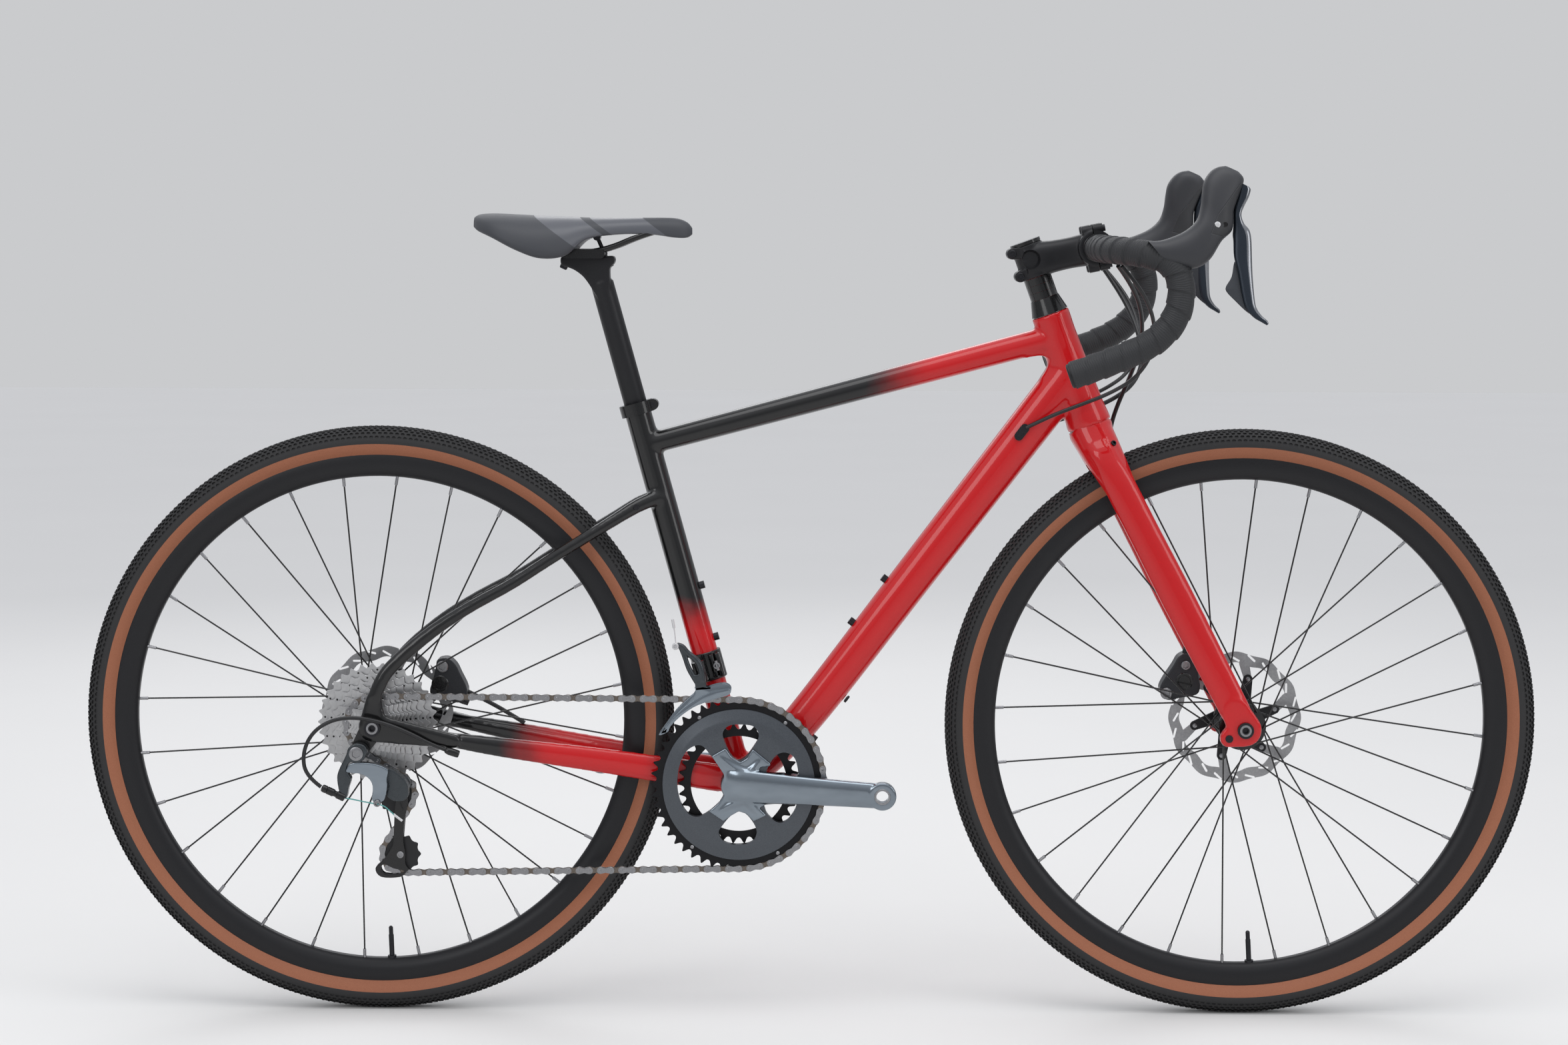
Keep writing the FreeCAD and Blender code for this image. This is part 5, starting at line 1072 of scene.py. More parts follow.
def toothed(shape: Shape, centre: Vector, count: int, inner: float, place: float, thick: float,
            tip: float = 1.0) -> None:
    """Adds a toothed wheel for the chain.

    Args:
        shape: Shape that gets the wheel.
        centre: Axle in the side view.
        count: Number of teeth.
        inner: Radius of its opening.
        place: Place across the bike.
        thick: Thickness.
        tip: Share of the full tooth height.
    """
    radius = pitch_radius(count)
    half, lip = thick / 2, 0.35
    line = [(radius + rise * tip, 360.0 * (tooth + share) / count)
            for tooth in range(count) for share, rise in TOOTH]
    rings = []
    for far, grow in ((half, -lip), (half - lip, 0), (-half + lip, 0), (-half, -lip)):
        rings.append([placed(centre + polar(r + grow, a), place + far) for r, a in line])
    for far in (-half, half):
        rings.append([placed(centre + polar(inner, a), place + far) for _, a in line])
    shape.loft(rings, False, True)


@dataclass
class View:
    """Camera at the photograph's viewing angle."""

    place: Spot = (15.90, -3853.64, 951.04)
    right: Spot = (0.99991694, 0.0124937, 0.00316609)
    ahead: Spot = (-0.01214211, 0.99552537, -0.09371128)
    above: Spot = (-0.00432272, 0.09366506, 0.99559438)
    lens: float = 74.76
    sensor: float = 36.0
    far: float = 60.0

    def build(self) -> None:
        """Adds the camera."""
        data = bpy.data.cameras.new("camera")
        data.lens = self.lens
        data.sensor_width = self.sensor
        data.clip_end = self.far
        camera = shown("camera", data)
        turn = Matrix((Vector(self.right), Vector(self.above), -Vector(self.ahead))).transposed().to_4x4()
        camera.matrix_world = Matrix.Translation(Vector(self.place) * MM) @ turn
        bpy.context.scene.camera = camera


@dataclass
class Cords:
    """Housings and hoses, each on the smooth spline of its route."""

    housing: float = 2.3
    hose: float = 2.6
    shift: Table = (
        (352, -158, 896), (374, -146, 872), (393, -118, 838), (398, -84, 800), (382, -54, 766),
        (350, -40, 745), (314, -36, 731), (281, -33, 718), (254, -25, 704))
    rear_brake: Table = (
        (350, 138, 897), (371, 123, 867), (390, 97, 829), (400, 62, 786), (388, 43, 753), (358, 37, 732),
        (321, 36, 718), (284, 33, 705), (249, 25, 694))
    front_brake: Table = (
        (350, -130, 896), (370, -105, 872), (385, -66, 838), (388, -22, 800), (379, 16, 762), (366, 34, 728),
        (358, 40, 700), (356, 40, 676))
    stay_hose: Table = (
        (-419, 59, 377), (-396, 58, 366), (-370, 57, 352), (-346, 57, 337))
    rear_shift: Table = (
        (-412, -79, 321), (-437, -84, 330), (-468, -87, 347), (-499, -91, 360), (-532, -95, 367),
        (-560, -98, 363), (-582, -98, 347), (-592, -98, 322), (-588, -97, 297), (-571, -95, 284))
    stop_profile: Spots = ((2.4, -1), (4.0, -1), (4.6, 1), (4.6, 11), (3.6, 15), (2.4, 16))

    def crossing(self, name: str, route: Sequence[Sequence[float]], radius: float, node: str) -> None:
        """Cord between the handlebar and the frame, made as a fixed wire along its route."""
        path = line_points(name, route)
        shape = Shape()
        shape.wire(path, radius, 16)
        piece = shape.piece(name, CABLE_JACKET, angle=40)
        length = path_length(path)
        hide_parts(node)
        [v * MM for v in route[0]]
        [v * MM for v in route[1]]
        [v * MM for v in route[-2]]
        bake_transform(piece)
        LOG.info("%s bends between the bar and the frame, %.0f mm", name, length)

    def riding(self, name: str, route: Sequence[Sequence[float]], radius: float, node: str,
               body: str) -> None:
        """Cord that stays with one body."""
        length = path_length(line_points(name, route))
        piece = spline_object(name, route)
        piece.data.bevel_depth = radius * MM
        piece.data.bevel_resolution = 5
        piece.data.use_fill_caps = True
        piece.data.materials.append(CABLE_JACKET.material())
        [v * MM for v in route[0]]
        fitted(piece, body, "black_plastic", node)
        LOG.info("%s is %.0f mm long", name, length)

    def build(self) -> None:
        """Makes every cord."""
        for side in Side:
            route = [tuple(side.point(spot)) for spot in self.shift]
            self.crossing(side.label + "_shift_housing", route, self.housing, "shift_housings")
        self.crossing("rear_brake_line", self.rear_brake, self.hose, "rear_brake_hose")
        self.riding("front_brake_line", self.front_brake, self.hose, "front_brake_hose", "steering")
        self.riding("rear_stay_line", self.stay_hose, self.hose, "rear_cables", "frame")
        self.riding("rear_shift_loop", self.rear_shift, self.housing, "rear_cables", "frame")
        stop = Shape()
        start = Vector(self.rear_shift[0])
        stop.lathe(self.stop_profile, start, (Vector(self.rear_shift[1]) - start).normalized(), 24)
        fitted(stop.piece("housing_stop", GLOSS_BLACK, angle=40), "frame", "black_plastic", "rear_cables")


@dataclass
class FrameShell:
    """Welded frame as one painted skin."""

    voxel: float = 2.2
    passes: int = 9
    main_power: float = 2.3
    stay_power: float = 2.2
    head_profile: Spots = (
        (26.5, 0), (26.5, 6), (24.9, 22), (23.0, 80), (22.2, 118), (22.6, 134), (22.6, 141))
    seat_radius: float = 15.9
    shell_radius: float = 23.0
    shell_half: float = 34.0
    top_drop: float = 49.0
    top_height: float = 112.0
    top_rows: Spots = ((15, 13), (16.5, 14), (18, 15))
    down_foot: float = 28.0
    down_height: float = 66.0
    down_root: Spot = (7.0, 23.0, 18.0)
    down_shares: Tuple[float, ...] = (0.19, 0.55, 1)
    down_size: Pair = (22.0, 21.5)
    down_grow: float = 4.0
    web_half: float = 12.5
    web_reach: float = 46.0
    web_under_top: float = 15.0
    web_over_down: float = 25.5
    web_roots: Spot = (9.0, 12.0, 20.0)
    stay_size: Pair = (9.0, 16.0)
    stay_rows: Table = (
        (.095, 1.03, .60, .44), (.22, .965, .70, .58), (.36, .86, .85, .75), (.60, .57, .90, .92),
        (.78, .445, .80, 1.0), (.95, .35, 1.0, 1.06))
    seatstay_drop: float = 112.0
    seatstay_end: Spot = (1.5, 0.0, 34.0)
    seatstay_size: Pair = (6.5, 8.0)
    seatstay_rows: Table = (
        (0, 0, .150, 1, 1.15), (.083, .049, .310, 1, 1.05), (.188, .138, .490, 1, .90),
        (.368, .293, .650, 1, .86), (.520, .430, .755, 1, .86), (.675, .552, .850, 1, .90),
        (.815, .685, .940, 1, 1), (.951, .860, 1.020, .95, 1.05), (1, 1, 1.055, .9, 1.05))
    dropout_radius: float = 17.0
    dropout_share: float = 0.22
    dropout_ends: Pair = (8.5, 9.0)
    dropout_places: Pair = (-79.0, -71.0)
    post_bore: Spots = ((13.75, 284), (13.75, 520))
    head_bore: Spots = ((17.4, -40), (17.4, 200))
    shell_bore: Spots = ((17.4, -60), (17.4, 60))
    axle_bore: Spots = ((6.2, -120), (6.2, 120))

    def down_axis(self, share: float) -> Vector:
        """Point on the down tube's axis."""
        start = LAY.bb - UP * self.down_foot
        return start + (LAY.on_steerer(LAY.head_low + self.down_height) - start) * share

    def main_tubes(self, shape: Shape) -> None:
        """Head tube, top tube, down tube, seat tube and bottom bracket shell."""
        shape.lathe(self.head_profile, LAY.on_steerer(LAY.head_low), LAY.steer_up, 48, False)
        shape.drum(self.seat_radius, 0, LAY.seat_length, LAY.bb, LAY.seat_up, 48)
        shape.drum(self.shell_radius, -self.shell_half, self.shell_half, LAY.bb, ACROSS, 48)
        start = LAY.on_seat(LAY.seat_length - self.top_drop)
        end = LAY.on_steerer(LAY.head_low + self.top_height)
        rows = [(*p, *sizes) for p, sizes in zip((start, (start + end) / 2, end), self.top_rows)]
        shape.rows(spline(rows, 8), 40, self.main_power)
        low, *sizes = self.down_root
        rows = [(*(LAY.bb - UP * low), *sizes)]
        wide, deep = self.down_size
        for share in self.down_shares:
            rows.append((*self.down_axis(share), wide + share, deep + self.down_grow * share))
        shape.rows(spline(rows, 8), 40, self.main_power)
        self.web(shape, start, end)

    def web(self, shape: Shape, start: Vector, end: Vector) -> None:
        """Rounded web where the top tube and the down tube meet the head tube."""
        top_way = (start - end).normalized()
        down_way = (self.down_axis(0) - self.down_axis(1)).normalized()
        under, over = (Vector((way.z, 0, -way.x)) for way in (top_way, -down_way))
        under = under if under.z < 0 else -under
        over = over if over.z > 0 else -over
        top_edge = end + under * self.web_under_top
        down_edge = self.down_axis(1) + over * self.web_over_down
        cross = top_way.x * down_way.z - top_way.z * down_way.x
        gap = down_edge - top_edge
        corner = top_edge + top_way * ((gap.x * down_way.z - gap.z * down_way.x) / cross)
        first, last = corner + top_way * self.web_reach, corner + down_way * self.web_reach
        steps = 12
        curve = []
        for step in range(steps + 1):
            t = step / steps
            curve.append(first * (1 - t) ** 2 + corner * (2 * t * (1 - t)) + last * t * t)
        rise, sink, back = self.web_roots
        roots = [last - over * sink, corner - top_way * back]
        shape.prism([first + UP * rise] + curve + roots, -self.web_half, self.web_half)

    def stays(self, shape: Shape) -> None:
        """Chainstays, seatstays and dropouts of both sides."""
        axle, reach = LAY.rear_axle, LAY.bb - LAY.rear_axle
        top = LAY.on_seat(LAY.seat_length - self.seatstay_drop)
        end = axle + Vector(self.seatstay_end)
        wide, deep = self.stay_size
        lower = [(*placed(axle + reach * s, -LAY.rear_half * y), wide * w, deep * d)
                 for s, y, w, d in self.stay_rows]
        wide, deep = self.seatstay_size
        upper = []
        for x, z, y, w, d in self.seatstay_rows:
            spot = Vector((top.x + (end.x - top.x) * x, -LAY.rear_half * y, top.z + (end.z - top.z) * z))
            upper.append((*spot, wide * w, deep * d))
        plates = [pill_outline(axle, foot, self.dropout_radius, radius)
                  for foot, radius in zip((axle + reach * self.dropout_share, end), self.dropout_ends)]
        for side in Side:
            for rows in (lower, upper):
                shape.rows(spline([(*side.point(r), *r[3:]) for r in rows], 8), 28, self.stay_power)
            for plate in plates:
                shape.prism(plate, *side.span(*self.dropout_places))

    def build(self) -> None:
        """Makes the skin and its bores."""
        shape = Shape()
        self.main_tubes(shape)
        self.stays(shape)
        piece = melted(shape.piece("frame_shell", PAINT), self.voxel, self.passes)
        for profile, origin, axis in (
                (self.post_bore, LAY.bb, LAY.seat_up),
                (self.head_bore, LAY.on_steerer(LAY.head_low), LAY.steer_up),
                (self.shell_bore, LAY.bb, ACROSS),
                (self.axle_bore, LAY.rear_axle, ACROSS)):
            drilled(piece, profile, origin, axis)
        fitted(piece, "frame", "frame_paint", "head_tube", "top_tube", "down_tube", "seat_tube",
               "bottom_bracket_shell", "chainstays", "seatstays", "dropouts")


@dataclass
class Fork:
    """One-piece fork with a bolt on each side of its crown."""

    voxel: float = 1.7
    passes: int = 14
    sides: int = 32
    power: float = 2.2
    top_height: float = 379.0
    race_height: float = 395.0
    half_track: float = 56.5
    crown_size: Pair = (18.0, 10.0)
    crown: Table = (
        (.30, .006, .99, .97, .20), (.52, .030, .94, .90, .75), (.64, .075, .86, .82, 2.5))
    leg_size: Pair = (19.0, 10.0)
    legs: Table = (
        (.16, .68, .98, 1), (.33, .75, 1, 1), (.55, .84, 1.04, .92), (.78, .94, .99, .80),
        (.94, 1, .96, .66))
    shoulders: Table = ((-.03, 0, 26, 26), (.06, .38, 23, 17.5), (.17, .685, 18.6, 10))
    eyelet: Spot = (-19.0, 0.0, -10.0)
    end_radius: float = 19.5
    eyelet_radius: float = 10.5
    blade_radius: float = 16.5
    end_places: Pair = (-63.0, -50.0)
    race_profile: Spots = ((24.5, -16), (26.4, -4), (26.4, 0))
    steerer_foot: Spot = (16.4, -16.0, 30.0)
    steerer: Spot = (14.2, 0.0, 227.0)
    bores: Spots = ((39.0, 50.0), (6.2, 90.0), (357.0, 25.0))
    crown_bolt: Spot = (355.5, -32.4, 686.0)
    bolt_way: Spot = (0.45, -0.7, 0.55)
    bolt_radius: float = 3.3
    bolt_height: float = 3.0

    def skin(self, rows: Rows) -> List[List[Vector]]:
        """Rings through rows of x, y, z, depth, thickness and direction."""
        return [oval(Vector(r[:3]), Vector(r[5:8]), r[3], r[4], LAY.steer_ahead, self.sides, self.power)
                for r in spline(rows, 8)]

    def on_leg(self, share: float, place: float) -> Vector:
        """Point at a share of the line from the crown to the axle, and of the half track."""
        start = LAY.on_steerer(self.top_height)
        return placed(start + (LAY.front_axle - start) * share, -self.half_track * place)

    def shoulder(self) -> Rows:
        """Rows that carry the crown's round foot into one leg."""
        spots = [self.on_leg(share, place) for share, place, _, _ in self.shoulders]
        return [(*spot, deep, wide, *way.normalized())
                for spot, way, (_, _, deep, wide) in zip(spots, headings(spots), self.shoulders)]

    def leg(self) -> Rows:
        """Rows from the middle of the crown down one leg."""
        start = LAY.on_steerer(self.top_height)
        line = (LAY.front_axle - start).normalized()
        deep, wide = self.crown_size
        rows = [(*start, deep, wide, *(-ACROSS))]
        for place, share, depth, thick, slope in self.crown:
            rows.append((*self.on_leg(share, place), deep * depth, wide * thick, *(line * slope - ACROSS)))
        deep, wide = self.leg_size
        spots = [Vector(rows[-1][:3])] + [self.on_leg(share, place) for share, place, _, _ in self.legs]
        for (_, _, depth, thick), spot, way in zip(self.legs, spots[1:], headings(spots)[1:]):
            rows.append((*spot, deep * depth, wide * thick, *way.normalized()))
        return rows

    def ends(self, shape: Shape) -> None:
        """Plates at the axle with their eyelets."""
        blade = placed(self.on_leg(self.legs[-1][0], 0), 0)
        for side in Side:
            for foot, radius in ((LAY.front_axle + Vector(self.eyelet), self.eyelet_radius),
                                 (blade, self.blade_radius)):
                outline = pill_outline(LAY.front_axle, foot, self.end_radius, radius)
                shape.prism(outline, *side.span(*self.end_places))

    def build(self) -> None:
        """Legs, crown, steerer and ends."""
        shape = Shape()
        for side in Side:
            shape.loft(side.rings(self.skin(self.leg())))
            shape.loft(side.rings(self.skin(self.shoulder())))
        self.ends(shape)
        race = LAY.on_steerer(self.race_height)
        shape.lathe(self.race_profile, race, LAY.steer_up, 48, False)
        for drum in (self.steerer_foot, self.steerer):
            shape.drum(*drum, race, LAY.steer_up)
        piece = melted(shape.piece("fork_shell", FORK_PAINT), self.voxel, self.passes)
        for radius, half in self.bores:
            drilled(piece, [(radius, -half), (radius, half)], LAY.front_axle, ACROSS, 160)
        fitted(piece, "steering", "fork_paint", "fork")
        bolts = Shape()
        for side in Side:
            way = side.point(self.bolt_way).normalized()
            socket_bolt(bolts, side.point(self.crown_bolt), way, self.bolt_radius, self.bolt_height)
        fitted(bolts.piece("crown_bolts", DARK_BOLT), "steering", "bolt_steel", "fork")


@dataclass
class Wheel:
    """Tyre with knobs, rim, spokes, hub and rotor of one wheel."""

    name: str
    axle: Vector
    turn: float
    right_flange: float
    left_flange: float
    half: float
    rotor_place: float
    right_end: float
    tyre_radius: float = 349.7
    tyre_height: float = 32.7
    tyre_shares: Spots = ((0, 12), (.2, 17.0), (.47, 20), (.7, 18.2), (.87, 13.9), (.965, 7.2))
    casing: float = 2.6
    inner_share: float = 0.84
    tan_limit: float = 331.0
    tread_edge: float = 1.4
    knob_step: float = 6.9
    knob_row_step: float = 5.4
    knob: Spots = ((2.35, -0.4), (2.2, 0.9), (1.7, 1.3))
    knob_sides: int = 7
    rim_half: Spots = (
        (317.3, 12.0), (316.4, 12.4), (304.5, 12.1), (299.5, 10.9), (294.6, 8.0), (291.6, 5.0), (291, 3.2))
    rim_well: Spots = ((305, 8.6), (316.2, 9.4), (317.3, 10.0))
    rim_inner: float = 291.0
    valve: Spots = ((5.2, -1.5), (5.2, 2.2), (3.1, 2.4), (3.1, 27), (2.6, 28), (2.6, 36.4), (1.2, 38))
    spoke_count: int = 28
    spoke_circle: float = 24.0
    spoke_lead: float = 5.2
    spoke_radius: float = 1.0
    spoke_bend: float = 3.1
    spoke_spread: float = 3.0
    spoke_head: Spots = ((1.9, -0.2), (1.7, 0.5), (0.9, 0.9))
    head_seat: float = 1.5
    nipple_radius: float = 1.9
    nipple_length: float = 10.0
    nipple_sink: float = 0.6
    nipple_lap: float = 2.0
    rotor_half: float = 0.9
    rotor_waves: int = 12
    rotor_steps: int = 180
    rotor_outer: Pair = (78.6, 1.3)
    rotor_inner: Pair = (65.4, 1.7)
    slot_count: int = 24
    slot_reaches: Pair = (71.0, 74.5)
    slot_lean: Pair = (2.4, 3.4)
    slot_radius: float = 1.3
    arm_count: int = 6
    arm_turn: float = 12.0
    arm_reaches: Spot = (19.0, 49.0, 66.5)
    arm_sweeps: Pair = (-16.0, 9.0)
    arm_radii: Pair = (8.0, 5.6)
    lug_radii: Pair = (4.6, 6.0)
    arm_lap: float = 0.4
    lug_sink: float = 0.05
    carrier: Spot = (15.0, 25.0, 0.5)
    rivet: Spots = ((2.9, -0.2), (2.7, 0.5), (1.4, 0.8))
    lock_ring: Spots = ((12, 0), (23.5, 0), (23.5, 1.6), (22, 2.4), (16.5, 2.4), (16, 1.2), (12, 1.2))

    def fit(self, piece: Object, slot: str, node: str) -> None:
        """Sets a piece on the wheel, for one of its nodes."""
        fitted(piece, self.name + "_wheel", slot, self.name + "_" + node)

    def crown(self) -> List[Pair]:
        """Outer line of the tyre's section, from one rim edge to the other."""
        base, top = self.tyre_radius - self.tyre_height, self.tyre_height
        half = [(top * share, place) for share, place in self.tyre_shares]
        rows = half + [(top, 0)] + [(r, -p) for r, p in reversed(half)]
        return [(base + r, p) for r, p in spline(rows, 4)]

    def tyre(self) -> None:
        """Carcass with tan walls, and rows of round knobs."""
        outer = self.crown()
        inner = [(r - self.casing, p * self.inner_share) for r, p in reversed(outer)]
        shape = Shape()
        rows = len(outer)

        def mark(row: int, column: int) -> int:
            """Tan below the tread's edge, rubber above."""
            return 1 if row < rows - 1 and max(outer[row][0], outer[row + 1][0]) <= self.tan_limit else 0
        shape.lathe(outer + inner, self.axle, ACROSS, 180, True, mark)
        self.fit(shape.piece(self.name + "_tyre_casing", TREAD, TAN_WALL, angle=60), "tyre_rubber", "tyre")
        knob = stud(self.knob, self.knob_sides)
        hidden = self.knob_sides * 2
        knob.faces = knob.faces[:hidden] + knob.faces[hidden + self.knob_sides:]
        knob.marks = [0] * len(knob.faces)
        spots = self.knob_spots([(r, p) for r, p in outer if r >= self.tan_limit + self.tread_edge])
        self.fit(SCATTER.spread(self.name + "_tread_knobs", spots, knob, TREAD, 30), "tyre_rubber", "tyre")

    def knob_spots(self, tread: Sequence[Pair]) -> List[Tuple[Vector, Vector, Vector]]:
        """Place, facing and along of each knob on the tread's line, in staggered rows."""
        spots = []
        travelled, row = 0.0, 0
        next_row = self.knob_row_step / 2
        count = round(math.tau * self.tyre_radius / self.knob_step)
        for (r0, p0), (r1, p1) in zip(tread, tread[1:]):
            step = math.hypot(r1 - r0, p1 - p0)
            while travelled + step >= next_row:
                t = (next_row - travelled) / step
                radius, place = r0 + (r1 - r0) * t, p0 + (p1 - p0) * t
                lift = math.atan2(-(r1 - r0) * math.copysign(1, p1 - p0), abs(p1 - p0))
                for number in range(count):
                    out = polar(1, 360.0 * (number + 0.5 * (row % 2)) / count)
                    face = out * math.cos(lift) - ACROSS * math.sin(lift)
                    spots.append((placed(self.axle + out * radius, place), face, out.cross(ACROSS)))
                row += 1
                next_row += self.knob_row_step
            travelled += step
        return spots

    def rim(self) -> None:
        """Deep rim, its valve and the valve's nut."""
        profile = list(self.rim_half) + [(r, -p) for r, p in reversed(self.rim_half)]
        profile += [(r, -p) for r, p in reversed(self.rim_well)] + list(self.rim_well)
        shape = Shape()
        shape.lathe(profile, self.axle, ACROSS, 180)
        self.fit(shape.piece(self.name + "_rim_hoop", SATIN_BLACK, angle=50), "black_metal", "rim")
        foot = self.axle - polar(self.rim_inner, 90 + self.turn)
        valve = Shape()
        valve.lathe(self.valve, foot, (self.axle - foot).normalized(), 20, False)
        self.fit(valve.piece(self.name + "_valve", DARK_BOLT), "black_metal", "rim")

    def laces(self) -> Iterator[Tuple[Vector, float, int, Vector]]:
        """Spot and flange place, lead and rim spot of each spoke."""
        step = 360.0 / self.spoke_count
        for number in range(self.spoke_count):
            side = 1 if number % 2 else -1
            lead = 1 if number // 2 % 2 else -1
            place = side * (self.left_flange if side > 0 else self.right_flange)
            turned = number + lead * self.spoke_lead + 0.5
            hub = self.axle + polar(self.spoke_circle, step * turned + self.turn)
            rim = self.axle + polar(self.rim_inner, step * (number + 0.5) + self.turn)
            yield hub, place, lead, placed(rim, side * self.spoke_spread)

    def spokes(self) -> None:
        """Crossed spokes with bright nipples."""
        lines, nipples = [], []
        for hub, place, lead, rim_end in self.laces():
            hub_end = placed(hub, place + lead * self.spoke_bend)
            along = (hub_end - rim_end).normalized()
            neck = rim_end + along * self.nipple_length
            lines.append((neck - along * self.nipple_lap, hub_end))
            nipples.append((rim_end - along * self.nipple_sink, neck))
        wires = RODS.rods(self.name + "_spoke_wires", lines, self.spoke_radius, GLOSS_BLACK)
        self.fit(wires, "black_metal", "spokes")
        self.fit(RODS.rods(self.name + "_nipples", nipples, self.nipple_radius, BOLT), "bolt_steel", "spokes")

    def hub(self) -> None:
        """Turned hub shell with spoke heads on its flanges."""
        r, l, end, seat = -self.right_flange, self.left_flange, self.right_end, self.rotor_place
        profile = [
            (6.2, -end), (9.6, -end), (10, -end + 0.6), (10, r - 5), (13, r - 4), (14, r - 1.8),
            (27.4, r - 1.5), (28, r - 0.9), (28, r + 0.9), (27.4, r + 1.5), (19, r + 2.4), (14.5, r + 6),
            (13, r + 10), (13, l - 10), (14.5, l - 6), (19, l - 2.4), (27.4, l - 1.5), (28, l - 0.9),
            (28, l + 0.9), (27.4, l + 1.5),
            (19, l + 1.8), (19, seat + 0.8), (18, seat + 1.8), (10, seat + 1.8), (10, self.half - 1.2),
            (9.4, self.half - 0.5), (6.2, self.half - 0.5)]
        shape = Shape()
        shape.lathe(profile, self.axle, ACROSS, 64)
        self.fit(shape.piece(self.name + "_hub_shell", GLOSS_BLACK, angle=38), "black_metal", "hub")
        heads = [(placed(hub, place - lead * self.head_seat), ACROSS * -lead, AHEAD)
                 for hub, place, lead, _ in self.laces()]
        head = stud(self.spoke_head, 8)
        self.fit(SCATTER.spread(self.name + "_spoke_heads", heads, head, DARK_BOLT), "black_metal", "hub")

    def wave(self, radius: float, rise: float) -> List[Vector]:
        """Wavy loop of the rotor."""
        turns = [360.0 * step / self.rotor_steps for step in range(self.rotor_steps)]
        return [self.axle + polar(radius + rise * math.cos(math.radians(turn * self.rotor_waves)), turn)
                for turn in turns]

    def rotor_band(self, low: float, high: float) -> None:
        """Wavy braking band with its slots."""
        band, cuts = Shape(), Shape()
        outer, inner = self.wave(*self.rotor_outer), self.wave(*self.rotor_inner)
        band.loft([[placed(p, y) for p in edge] for edge, y in (
            (outer, high), (outer, low), (inner, low), (inner, high))], False, True)
        out, lean = self.slot_lean
        for number in range(self.slot_count):
            turn = 360.0 * number / self.slot_count
            reach = self.slot_reaches[number % 2]
            ends = [self.axle + polar(reach + out * way, turn + lean * way) for way in (-1, 1)]
            cuts.prism(pill_outline(*ends, self.slot_radius, self.slot_radius), low - 2, high + 2)
        self.fit(bored(band.piece(self.name + "_rotor_band", ROTOR_STEEL), cuts), "steel", "rotor")

    def rotor(self) -> None:
        """Brake rotor and its lock ring."""
        low, high = self.rotor_place - self.rotor_half, self.rotor_place + self.rotor_half
        self.rotor_band(low, high)
        lugs, carrier, ring, rivets = Shape(), Shape(), Shape(), []
        foot, joint, tip = self.arm_reaches
        back, ahead = self.arm_sweeps
        lap, sink = self.arm_lap, self.lug_sink
        for number in range(self.arm_count):
            turn = 360.0 * number / self.arm_count + self.arm_turn
            middle = self.axle + polar(joint, turn)
            lugs.prism(pill_outline(middle, self.axle + polar(tip, turn + ahead), *self.lug_radii),
                       low + sink, high - sink)
            carrier.prism(pill_outline(self.axle + polar(foot, turn + back), middle, *self.arm_radii),
                          low - lap, high + lap)
            rivets.append((placed(middle, low - lap), -ACROSS, AHEAD))
        inner, outer, lip = self.carrier
        carrier.lathe([(inner, low - lip), (outer, low - lip), (outer, high + lip), (inner, high + lip)],
                      self.axle, ACROSS, 48)
        self.fit(lugs.piece(self.name + "_rotor_lugs", ROTOR_STEEL), "steel", "rotor")
        self.fit(carrier.piece(self.name + "_rotor_carrier", SATIN_BLACK), "black_metal", "rotor")
        rivet = stud(self.rivet, 12)
        self.fit(SCATTER.spread(self.name + "_rotor_rivets", rivets, rivet, BOLT), "bolt_steel", "rotor")
        ring.lathe([(radius, high + rise) for radius, rise in self.lock_ring], self.axle, ACROSS, 48)
        fitted(ring.piece(self.name + "_lock_ring", SATIN_BLACK), self.name + "_wheel", "black_metal")

    def build(self) -> None:
        """Makes the wheel."""
        self.tyre()
        self.rim()
        self.spokes()
        self.hub()
        self.rotor()


